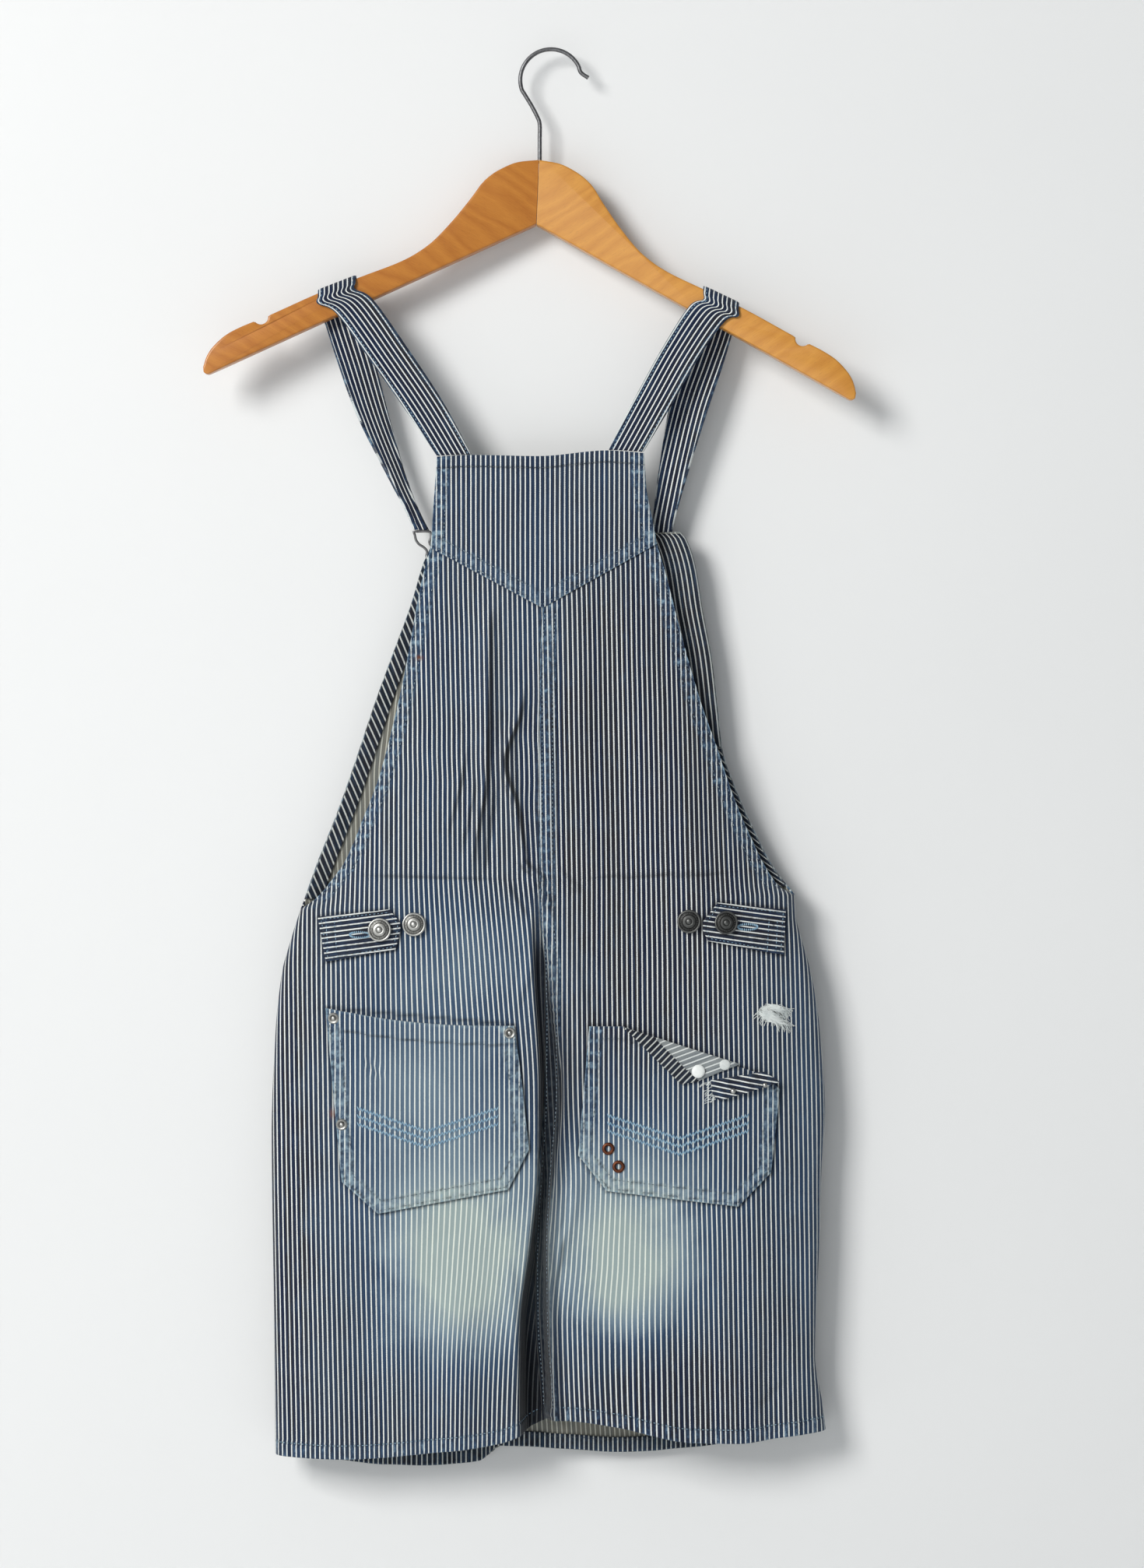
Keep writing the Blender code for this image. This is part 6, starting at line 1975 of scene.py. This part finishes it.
BIB_WIRE = 1.8
BIB_HOOKS: dict[str, Outline] = {
    "bib_hook_left": (
        (-98.5, -343.5), (-87.5, -343.5), (-86.2, -347.5), (-87.2, -351.5), (-84.0, -356.0),
        (-78.6, -361.2), (-75.6, -366.6), (-77.0, -371.6), (-81.0, -373.4), (-85.0, -371.4),
        (-87.0, -366.4), (-89.3, -361.4), (-89.0, -357.6), (-91.2, -354.8), (-94.6, -352.6),
        (-96.8, -349.6), (-97.6, -346.4)),
    "bib_hook_right": (
        (72.0, -351.9), (83.6, -351.9), (84.0, -356.2), (82.2, -360.4), (82.0, -364.4),
        (83.6, -368.4), (83.4, -373.6), (80.2, -377.4), (75.4, -377.4), (72.2, -373.6),
        (72.0, -368.4), (73.6, -364.4), (73.4, -360.4), (71.6, -356.2))}


# ------------------------------------------------------------------ metal

ProfileRow = tuple[float, float, float]     # radius, height, how bright it is rubbed


def spun(name: str, profile: Sequence[ProfileRow], foot: tuple[Array, Array], sides: int,
         metal: bpy.types.Material, ring: bool = False,
         ornament: Callable[[bmesh.types.BMesh], None] | None = None) -> bpy.types.Object:
    """Round piece that stands on the cloth.

    Args:
        name: The piece's name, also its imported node.
        profile: Radius, height and brightness from the foot up.
        foot: Where its foot stands, and which way it stands.
        sides: How many steps its turn has.
        metal: Its material.
        ring: Whether the profile closes on itself.
        ornament: What adds raised work to it.

    Returns:
        The piece.
    """
    shape = bmesh.new()
    shade = shape.verts.layers.float.new(WORN)
    verts = []
    for radius, height, bright in profile:
        vert = shape.verts.new((radius, 0.0, height))
        vert[shade] = bright
        verts.append(vert)
    pairs = list(zip(verts, verts[1:])) + ([(verts[-1], verts[0])] if ring else [])
    edges = [shape.edges.new(pair) for pair in pairs]
    bmesh.ops.spin(shape, geom=verts + edges, cent=(0, 0, 0), axis=(0, 0, 1), angle=math.tau,
                   steps=sides, use_merge=True, use_duplicate=False)
    bmesh.ops.remove_doubles(shape, verts=shape.verts, dist=0.005)
    bmesh.ops.recalc_face_normals(shape, faces=shape.faces)
    if ornament:
        ornament(shape)
    place, out = (Vector(part) for part in foot)
    turn = Vector((0, 0, 1)).rotation_difference(out).to_matrix().to_4x4()
    bmesh.ops.transform(shape, matrix=Matrix.Translation(place) @ turn, verts=shape.verts)
    item = from_bmesh(name, shape, (metal,), closed=False)
    item.data.set_sharp_from_angle(angle=math.radians(50))
    return attach(item, (name,))


def beads(radius: float, height: float, count: int, size: float
          ) -> Callable[[bmesh.types.BMesh], None]:
    """Ring of small raised grains, a plain border of the buttons' faces."""
    def add(shape: bmesh.types.BMesh) -> None:
        """Add the grains to a face."""
        shade = shape.verts.layers.float[WORN]
        for k in range(count):
            turn = math.tau * k / count
            place = Matrix.Translation((radius * math.cos(turn), radius * math.sin(turn), height))
            grain = bmesh.ops.create_uvsphere(shape, u_segments=6, v_segments=4, radius=size,
                                              matrix=place)
            for vert in grain["verts"]:
                vert[shade] = 0.9
    return add


def button_face(radius: float, neck: float, tall: float) -> tuple[ProfileRow, ...]:
    """Domed tack button on its neck: rim, groove, raised ring and a plain low dome."""
    rim = tall + 0.5
    return ((0, 0, 0.2), (neck, 0, 0.2), (neck, tall, 0.1), (radius - 0.9, tall, 0.1),
            (radius - 0.2, tall + 0.25, 0.4), (radius, rim + 0.35, 0.8),
            (radius - 0.25, rim + 0.95, 1.0), (radius - 0.8, rim + 1.15, 1.0),
            (radius - 1.35, rim + 0.95, 0.5), (radius - 1.6, rim + 0.8, 0.05),
            (radius - 2.0, rim + 0.95, 0.2), (radius * 0.62, rim + 1.45, 0.55),
            (radius * 0.60, rim + 1.2, 0.05), (radius * 0.55, rim + 1.22, 0.05),
            (radius * 0.53, rim + 1.6, 0.6), (radius * 0.4, rim + 1.85, 0.75),
            (radius * 0.30, rim + 2.0, 0.85), (radius * 0.27, rim + 1.8, 0.1),
            (radius * 0.22, rim + 1.85, 0.2), (radius * 0.18, rim + 2.15, 0.9),
            (0, rim + 2.3, 1.0))


def rivet_head(radius: float, tall: float) -> tuple[ProfileRow, ...]:
    """Low round rivet head with a small nub."""
    return ((0, 0, 0.2), (radius, 0, 0.3), (radius * 1.0, tall * 0.4, 0.8),
            (radius * 0.9, tall * 0.75, 1.0), (radius * 0.75, tall, 1.0),
            (radius * 0.6, tall * 0.85, 0.3), (radius * 0.42, tall * 0.7, 0.1),
            (radius * 0.34, tall * 1.15, 0.8), (radius * 0.2, tall * 1.4, 1.0),
            (0, tall * 1.45, 1.0))


def stand(layer: Layer, x: float, z: float, lift: float) -> tuple[Array, Array]:
    """Foot and direction of a piece that stands on a layer of the cloth."""
    return FORM.point(layer, x, z, lift), FORM.normal(layer, x, z)


@dataclass(frozen=True)
class Metalwork:
    """Buttons, rivets, eyelets and what is left of two rivets on the torn corner."""

    button_radius: float = 8.35
    bib_radius: float = 7.5
    tab_lift: float = 1.75 + 0.9     # outer face of a tab, with its hem, over the panel

    def build(self, tack: bpy.types.Material, tack_shaded: bpy.types.Material,
              copper: bpy.types.Material, cap: bpy.types.Material) -> None:
        """Make them all, each on the piece that carries it."""
        for name, x, z, lift, tall in (("left_outer", -120.8, -626.4, self.tab_lift, 1.4),
                                       ("left_inner", -96.9, -622.5, 0.5, 2.2),
                                       ("right_outer", 122.5, -621.4, self.tab_lift, 1.4),
                                       ("right_inner", 97.0, -620.3, 0.5, 2.2)):
            # the buttons on the right take the darker copy of the metal, which paints their shade
            spun("tab_button_" + name, button_face(self.button_radius, 3.2, tall),
                 stand(Layer.BACK, x, z, lift), 40, tack if x < 0 else tack_shaded,
                 ornament=beads(5.9, tall + 2.0, 22, 0.36))
        for name, x, z in (("left", -81.2, -368.0), ("right", 77.8, -372.2)):
            spun("bib_button_" + name, button_face(self.bib_radius, 2.6, 2.4),
                 stand(Layer.FRONT, x, z, 0.5), 36, tack,
                 ornament=beads(5.2, 4.35, 20, 0.34))
        for number, (x, z) in enumerate(((-153.2, -688.7), (-29.4, -698.8), (-147.4, -763.3)), 1):
            spun(f"pocket_rivet_{number}", rivet_head(4.1, 1.5), stand(Layer.BACK, x, z, 2.0), 26,
                 tack)
        ring = ((2.0, 0, 0.1), (4.2, 0, 0.2), (4.4, 0.5, 0.6), (4.0, 1.0, 0.9), (3.2, 1.25, 1.0),
                (2.4, 1.1, 0.5), (2.0, 0.8, 0.1))
        for number, (x, z) in enumerate(((40.0, -780.2), (47.2, -792.8)), 1):
            spun(f"pocket_eyelet_{number}", ring, stand(Layer.BACK, x, z, 2.1), 28, copper,
                 ring=True)
        dome = ((0, 0, 1.0), (4.6, 0, 0.6), (4.7, 0.5, 0.9), (4.2, 1.1, 1.0), (3.0, 1.5, 1.0),
                (0, 1.7, 1.0))
        flat = tuple((0.8 * radius, 0.6 * height, 0.4 * bright) for radius, height, bright in dome)
        for number, profile, x, z, lift in ((1, dome, 103.3, -725.6, 4.6),
                                            (2, flat, 121.9, -721.0, 4.3)):
            spun(f"corner_rivet_cap_{number}", profile, stand(Layer.BACK, x, z, lift), 28, cap)
        point = ((0, 0, 0.2), (1.9, 0, 0.2), (1.9, 0.6, 0.8), (1.2, 1.3, 1.0), (0, 1.6, 1.0))
        for number, (x, z) in enumerate(((127.4, -739.4), (149.3, -735.5)), 1):
            lift = float(TAIL.surface(np.array([x]), np.array([z]))[0])
            spun(f"corner_rivet_point_{number}", point, stand(Layer.BACK, x, z, lift), 16, tack)


# ------------------------------------------------------------------ seams

@dataclass(frozen=True)
class Sewing:
    """All rows of stitches of the body, sewn on the piece that shows them."""

    hole: tuple[float, float] = (7.0, 2.0)      # half sizes of a buttonhole
    drop: float = 16.0           # how far the chevron's middle lies below its ends
    gap: float = 5.5             # from one row of it to the next

    def build(self, pale: bpy.types.Material, dark: bpy.types.Material,
              blue: bpy.types.Material) -> None:
        """Sew the body's seams.

        Args:
            pale: Thread of the main seams.
            dark: Thread of the yoke's top and the hems.
            blue: Thread of the pockets and tabs.
        """
        self.yoke(pale, dark)
        self.back(pale, blue)
        self.patches(blue, dark)
        self.front(pale, dark)

    def yoke(self, pale: bpy.types.Material, dark: bpy.types.Material) -> None:
        """Rows along the yoke's seam, sides and top."""
        f = FORM
        seams = Stitching("yoke_stitches", pale, "denim")
        for away, start, end in zip(SEAMS.yoke_rows, (-83.5, -81.5), (72.5, 70.5)):
            x = np.linspace(start, end, 160)
            seams.on_back(x, f.yoke_seam(x) + away / YOKE.slope, 0.85)
        for side in (0, 1):
            self.edge(seams, Layer.BACK, side, np.linspace(-352.0, -293.0, 60), 0.95)
        seams.finish()
        top = Stitching("yoke_top_stitches", dark, "denim")
        x = np.linspace(-72.0, 57.0, 130)
        top.on_back(x, curve(f.yoke_top, x) - SEAMS.yoke_top_row, 1.05, width=0.7)
        top.finish()

    def edge(self, stitches: Stitching, layer: Layer, side: int, z: Array, lift: float) -> None:
        """Both rows along a turned-in edge: side 0 is the left one."""
        for away in SEAMS.rows:
            x = FORM.edges(layer, z)[side] + (away, -away)[side]
            stitches.run(FORM.point(layer, x, z, lift), FORM.normal(layer, x, z))

    def back(self, pale: bpy.types.Material, blue: bpy.types.Material) -> None:
        """Rows along the armhole edges, the felled centre seam and the hem."""
        f = FORM
        left = Stitching("back_left_stitches", pale, "denim")
        right = Stitching("back_right_stitches", pale, "denim")
        for stitches, side, end in ((left, 0, -606.0), (right, 1, -597.0)):
            self.edge(stitches, Layer.BACK, side, np.linspace(end, -362.0, 200), 0.1)
        for away in SEAMS.fell_rows:
            z = np.linspace(-968.0, -402.0, 500)
            right.on_back(f.seam_x(z) + away, z, 0.72)
        left.finish()
        right.finish()
        hem = Stitching("back_hem_stitches", blue, "denim")
        for start, end in ((-193.0, -9.0), (-5.0, 193.0)):
            x = np.linspace(start, end, 260)
            hem.on_back(x, curve(f.back_hem, x) + SEAMS.hem_row, 0.22)
        hem.finish()

    def patches(self, blue: bpy.types.Material, dark: bpy.types.Material) -> None:
        """Double rows on the pockets, rows on the tabs, and plain rows across each pocket."""
        for patch, sides in ((POCKET_LEFT, (1, 2, 3, 4, 5, 6, 7)),
                             (POCKET_RIGHT, (4, 5, 6, 7, 8))):
            stitches = Stitching(patch.name + "_stitches", dark, "denim_faded")
            for inset in SEAMS.rows:
                patch.sew(stitches, inset, sides)
            patch.sew(stitches, patch.mouth_row, patch.mouth)
            stitches.finish()
        for patch, sign, outer, hole in (
                (TAB_LEFT, 1.0, LEFT_TAB[0][0], (-135.0, -630.0)),
                (TAB_RIGHT, -1.0, RIGHT_TAB[2][0], (138.0, -624.5))):
            stitches = Stitching(patch.name + "_stitches", blue, "denim_dark")
            patch.sew(stitches, SEAMS.first_row, range(len(patch.outline)), width=0.5)
            for away in (6.0, 12.0):
                x, z = line((outer + sign * away, -620.0),
                            (outer + sign * (away + 1.5), -643.0)).T
                stitches.on_back(x, z, patch.surface(x, z) + 0.05, width=0.5)
            self.buttonhole(stitches, patch, *hole)
            stitches.finish()
        self.chevron("pocket_left_rows", POCKET_LEFT, (-136.0, -88.0, -38.0), -752.0, blue)
        self.chevron("pocket_right_rows", POCKET_RIGHT, (40.0, 90.0, 138.0), -757.0, blue)

    def buttonhole(self, stitches: Stitching, patch: Patch, x: float, z: float) -> None:
        """Close bar stitches round a tab's buttonhole."""
        turn = np.linspace(0.0, math.tau, 31)[:-1]
        px, pz = x + self.hole[0] * np.cos(turn), z + self.hole[1] * np.sin(turn)
        stitches.scatter(px, pz, patch.surface(px, pz) + 0.4, 0.25 * np.cos(turn), 2.2, 1.1)

    def chevron(self, name: str, patch: Patch, xs: tuple[float, float, float], z: float,
                thread: bpy.types.Material) -> None:
        """Plain work on a pocket: three rows of slanted stitches in a low chevron."""
        stitches = Stitching(name, thread, "denim_faded")
        corners = ((xs[0], z), (xs[1], z - self.drop), (xs[2], z))
        path = np.concatenate([line(*corners[:2], 1.2), line(*corners[1:], 1.2)[1:]])
        for row in range(3):
            px, pz = path[:, 0], path[:, 1] - self.gap * row
            lean = np.where(np.arange(len(px)) % 2, 0.5, -0.5)
            stitches.scatter(px, pz, patch.surface(px, pz) + 0.25, lean, 4.4, 0.95)
        stitches.finish()

    def front(self, pale: bpy.types.Material, dark: bpy.types.Material) -> None:
        """Rows of the front: armhole edges, bib top, hem and the turn-up inside."""
        f = FORM
        seams = Stitching("front_stitches", pale, "denim_inside")
        for side, top, end in ((0, -366.0, -606.0), (1, -356.0, -597.0)):
            self.edge(seams, Layer.FRONT, side, np.linspace(end, top, 200), 0.1)
        x = np.linspace(-84.0, 88.0, 160)
        z = -354.9 + (x + 86.5) * (11.4 / 177.5) - 14.6
        seams.run(f.point(Layer.FRONT, x, z, 0.15), f.normal(Layer.FRONT, x, z))
        seams.finish()
        hem = Stitching("front_hem_stitches", dark, "denim_inside")
        x = np.linspace(-190.0, 190.0, 360)
        z = curve(f.front_hem, x) + SEAMS.hem_row
        hem.run(f.point(Layer.FRONT, x, z, 0.22), f.normal(Layer.FRONT, x, z))
        x = np.linspace(-178.0, 178.0, 360)
        z = curve(f.front_hem, x) + 9.2
        hem.run(f.point(Layer.FRONT, x, z, -2.95), -f.normal(Layer.FRONT, x, z))
        hem.finish()


@dataclass(frozen=True)
class Frays:
    """Loose white threads over the tear and at the torn corner."""

    thickness: float = 0.34
    over: int = 150              # threads across the tear
    around: int = 34             # short ends round its border
    at_corner: int = 16          # curls at the torn corner of the pocket

    def strands(self) -> list[tuple[Array, Array, Array]]:
        """Place across, height and lift of each thread's points."""
        cx, cz = TEAR.centre
        half_x, half_z = TEAR.half
        t = np.linspace(0.0, 1.0, 9)
        made = []
        for k in range(self.over):
            s, q, r = noise_of(k, 12.9898, 78.233, 37.719)
            z0 = cz + half_z * (2.2 * s - 1.1)
            reach = half_x * math.sqrt(max(0.1, 1.0 - ((z0 - cz) / 5.6) ** 2))
            length = (6.0 + 15.0 * r) * (1.0 if k % 3 else 0.6)
            x = cx - reach - 1.5 + 3.0 * q + length * t * (1.0 - 0.35 * q * t)
            z = z0 - (2.0 + 5.0 * q) * t * t + 1.1 * np.sin(t * 6.0 + k) * r - 1.5 * t
            made.append((x, z, 0.25 + 2.1 * np.sin(math.pi * t) * (0.4 + r)))
        for k in range(self.around):
            s, r = noise_of(k, 45.164, 94.673)
            turn = math.tau * k / self.around
            x = cx + (half_x + (2.5 + 3.0 * s) * t) * math.cos(turn)
            z = cz + (half_z + (2.0 + 2.5 * r) * t) * math.sin(turn) - 2.4 * t * t
            made.append((x, z, 0.3 + 0.9 * np.sin(math.pi * t * 0.8)))
        for k in range(self.at_corner):
            s, r = noise_of(k, 23.14, 61.7)
            x = 112.0 + 3.5 * s - (3.0 + 5.0 * r) * t
            z = -733.0 - 12.5 * s - 1.8 * t * t * (1.0 + r) + 0.6 * np.sin(5.0 * t + k)
            made.append((x, z, 4.6 + 0.8 * np.sin(3.0 * t + k)))
        return made

    def build(self, white: bpy.types.Material) -> None:
        """Make the threads: laid over the gap, curled at its ends, and a few at the corner."""
        x, z, lift = (np.stack(rows) for rows in zip(*self.strands()))
        routes = FORM.point(Layer.BACK, x, z, lift)
        attach(wires("frayed_threads", routes, self.thickness, white, 1), ())


# ------------------------------------------------------------------ studio

Place = tuple[float, float, float]


@dataclass(frozen=True)
class Lamp:
    """Square lamp that faces a point, in metres and watts."""

    name: str
    place: Place
    aim: Place
    size: float
    power: float
    tone: Colour

    def build(self) -> None:
        """Hang it in the scene."""
        lamp = bpy.data.lights.new(self.name, "AREA")
        lamp.size = self.size
        lamp.energy = self.power
        lamp.color = self.tone
        item = bpy.data.objects.new(self.name, lamp)
        item.location = self.place
        turn = (Vector(self.aim) - Vector(self.place)).to_track_quat("-Z", "Y")
        item.rotation_euler = turn.to_euler()
        bpy.context.collection.objects.link(item)


@dataclass(frozen=True)
class Studio:
    """Camera, soft light from the upper left, white wall and pale floor."""

    camera: Place = (0.01446, -2.630, -0.52352)
    lens: float = 84.5
    sensor: float = 36.0
    sky: Colour = (0.93, 0.97, 1.0)
    sky_strength: float = 0.27
    lamps: tuple[Lamp, ...] = (
        Lamp("window", (-2.2, -3.2, 1.0), (0.0, 0.0, -0.52), 1.5, 135.0, (1.0, 0.985, 0.96)),
        Lamp("fill", (-0.6, -2.6, -1.2), (0.0, 0.0, -1.0), 2.0, 10.0, (0.95, 0.98, 1.0)))
    paint: Colour = (0.80, 0.81, 0.815)
    wall_y: float = 0.0165
    wall_size: float = 2.6
    floor_z: float = -1.42
    floor_size: float = 3.0

    def build(self) -> None:
        """Make the camera, set it as the scene's camera and set a plain view transform."""
        lens = bpy.data.cameras.new("camera")
        lens.lens = self.lens
        lens.sensor_width = self.sensor
        lens.clip_end = 30.0
        camera = bpy.data.objects.new("camera", lens)
        camera.location = self.camera
        camera.rotation_euler = (math.radians(90.0), 0.0, 0.0)
        bpy.context.collection.objects.link(camera)
        scene = bpy.context.scene
        scene.camera = camera
        scene.view_settings.view_transform = "Standard"
        scene.view_settings.look = "None"

    def surroundings(self) -> None:
        """Lights, world, wall and floor."""
        world = bpy.data.worlds.new("studio")
        bpy.context.scene.world = world
        world.use_nodes = True
        shade = world.node_tree.nodes["Background"]
        shade.inputs["Color"].default_value = (*self.sky, 1.0)
        shade.inputs["Strength"].default_value = self.sky_strength
        for lamp in self.lamps:
            lamp.build()
        pale = plain_wall("wall_white", self.paint)
        upright = Matrix.Rotation(math.radians(90), 4, "X")
        floor = (0.0, self.wall_y - self.floor_size, self.floor_z)
        for name, size, place, turn in (
                ("wall", self.wall_size, (0.0, self.wall_y, -0.5), upright),
                ("floor", self.floor_size, floor, Matrix.Identity(4))):
            shape = bmesh.new()
            bmesh.ops.create_grid(shape, x_segments=2, y_segments=2, size=size,
                                  matrix=Matrix.Translation(place) @ turn)
            mesh = bpy.data.meshes.new(name)
            shape.to_mesh(mesh)
            shape.free()
            to_object(name, mesh, (pale,))


# ------------------------------------------------------------------ the whole

def fabrics() -> dict[str, Fabric]:
    """Every denim of the garment, by its slot."""
    washed = (Fade(-61.0, -860.0, 36.0, 44.0, 0.76), Fade(-70.0, -834.0, 62.0, 62.0, 0.42),
              Fade(50.0, -860.0, 34.0, 42.0, 0.64), Fade(54.0, -828.0, 54.0, 62.0, 0.40),
              Fade(-60.0, -885.0, 50.0, 54.0, 0.22), Fade(48.0, -885.0, 46.0, 52.0, 0.2),
              Fade(-60.0, -655.0, 70.0, 46.0, 0.24), Fade(186.0, -790.0, 14.0, 160.0, 0.16),
              Fade(62.0, -640.0, 60.0, 100.0, -0.16), Fade(60.0, -490.0, 50.0, 110.0, -0.14),
              Fade(70.0, -955.0, 60.0, 50.0, -0.16), Fade(-190.0, -800.0, 22.0, 190.0, -0.16),
              Fade(-90.0, -740.0, 56.0, 46.0, 0.24))
    rust = (Fade(-154.4, -756.0, 2.2, 3.2, 0.5), Fade(-93.9, -434.0, 2.4, 1.6, 0.6))
    body = Denim("striped_denim", fades=washed, stains=rust, base_wear=0.09)
    pocket = Denim("striped_denim_pockets", fades=washed, base_wear=0.14)
    wrong = Denim("striped_denim_wrong_side", white=seen(214, 214, 200),
                  white_faded=seen(218, 218, 206), navy=seen(104, 108, 106),
                  charcoal=seen(118, 116, 108), faded=seen(160, 164, 158),
                  mid_faded=seen(128, 134, 132), contrast=0.85)
    strap = Denim("striped_denim_straps")
    # painted shade: a darker copy of the striped denim, for the facings, the front's turn-up and
    # part of the turned corner
    slanted_shaded = Denim("striped_denim_slanted_shaded", navy=seen(18, 26, 36), white=seen(206, 208, 202))
    tab = Denim("striped_denim_tabs")
    made = {denim.name: denim.build() for denim in (body, pocket, wrong, strap, slanted_shaded, tab)}
    inside = made[wrong.name]
    torn_out = replace(wrong, name="striped_denim_turned_out", white=seen(232, 236, 234),
                       navy=seen(96, 104, 110), charcoal=seen(120, 126, 128),
                       mid_faded=seen(150, 160, 164), base_wear=0.05).build()
    return {"body": Fabric(made[body.name], inside, "denim"),
            "front": Fabric(made[strap.name], inside, "denim_inside"),
            "pocket": Fabric(made[pocket.name], inside, "denim_faded"),
            "corner": Fabric(torn_out, made[slanted_shaded.name], "denim_inside"),
            "tail": Fabric(made[tab.name], inside, "denim_dark"),
            "strap": Fabric(made[strap.name], made[strap.name], "denim"),
            "facing": Fabric(made[slanted_shaded.name], inside, "denim_dark"),
            "tab": Fabric(made[tab.name], inside, "denim_dark")}


def main() -> None:
    """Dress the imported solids."""
    logging.basicConfig(level=logging.INFO, format="%(levelname)s %(name)s: %(message)s")
    studio = Studio()
    studio.build()
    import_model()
    cloth = fabrics()
    pale = Thread("thread_pale", seen(96, 122, 142), seen(168, 186, 196)).build()
    dark = Thread("thread_dark", seen(36, 44, 52), seen(78, 92, 104)).build()
    blue = Thread("thread_blue", seen(112, 150, 180), seen(156, 188, 206)).build()
    white = Thread("thread_white", seen(214, 222, 222), seen(240, 244, 242)).build()
    tack = Metal("tack_metal", seen(196, 196, 192), seen(36, 36, 35)).build()
    # painted shade: a darker copy of the tack metal, for the buttons on the right
    tack_shaded = Metal("tack_metal_shaded", seen(104, 105, 104), seen(22, 22, 22), 0.4).build()
    wire = Metal("steel_wire", seen(200, 202, 205), seen(96, 96, 98), 0.22, relief=0.05).build()
    copper = Metal("copper", seen(112, 68, 50), seen(38, 20, 16), 0.42).build()
    cap = Metal("white_cap", seen(236, 240, 238), seen(178, 184, 184), 0.38, 0.0, 0.08).build()
    left_wood = Wood("wood_left", seen(196, 128, 46), seen(164, 94, 22), -27.0, 0.0).build()
    right_wood = Wood("wood_right", seen(212, 150, 60), seen(184, 118, 36), 30.0, 300.0).build()
    HANGER.arm("hanger_left_arm", -1, left_wood)
    HANGER.arm("hanger_right_arm", 1, right_wood)
    hook = wires("hanger_hook", [hook_route()], HANGER.wire, wire, 4, caps=True)
    attach(hook, ("hanger_hook",))
    for strap in STRAPS:
        stitches = Stitching(strap.name + "_stitches", blue, "denim")
        strap.build(cloth["strap"], stitches)
        stitches.finish()
    for name, route in BIB_HOOKS.items():
        x, z = np.array(route).T
        bib = FORM.middle_y + FORM.depths[0][3]
        y = np.maximum(bib + 0.5 + BIB_WIRE / 2, FORM.point(Layer.FRONT, x, z, 1.4)[:, 1])
        loop = through(np.stack([x, y, z], axis=-1).tolist() + [[x[0], y[0], z[0]]], 90)[:-1]
        attach(wires(name, [loop], BIB_WIRE, wire, 4, closed=True), (name,))
    Front().build(cloth["front"])
    Facing("front_left_facing", True, -355.4, -605.0).build(cloth["facing"])
    Facing("front_right_facing", False, -345.4, -596.0,
           upright_above=-497.0).build(cloth["facing"])
    FrontTurnup().build(cloth["facing"])
    BackPanel("back_left_panel", True, pull=(
        (-590, 0), (-660, 5), (-740, 9), (-800, 8), (-860, 3), (-930, -5), (-1010, -9)
        )).build(cloth["body"])
    BackPanel("back_right_panel", False, torn=True, pull=(
        (-590, 0), (-740, -2), (-800, -1), (-860, -5), (-905, -9), (-1010, -7)
        )).build(cloth["body"])
    YOKE.build(cloth["body"])
    for patch, kind in ((POCKET_LEFT, "pocket"), (POCKET_RIGHT, "pocket"), (TAB_LEFT, "tab"),
                        (TAB_RIGHT, "tab"), (CORNER, "corner"), (TAIL, "tail")):
        patch.build(cloth[kind])
    Metalwork().build(tack, tack_shaded, copper, cap)
    Sewing().build(pale, dark, blue)
    Frays().build(white)
    studio.surroundings()


if __name__ == "__main__":
    main()
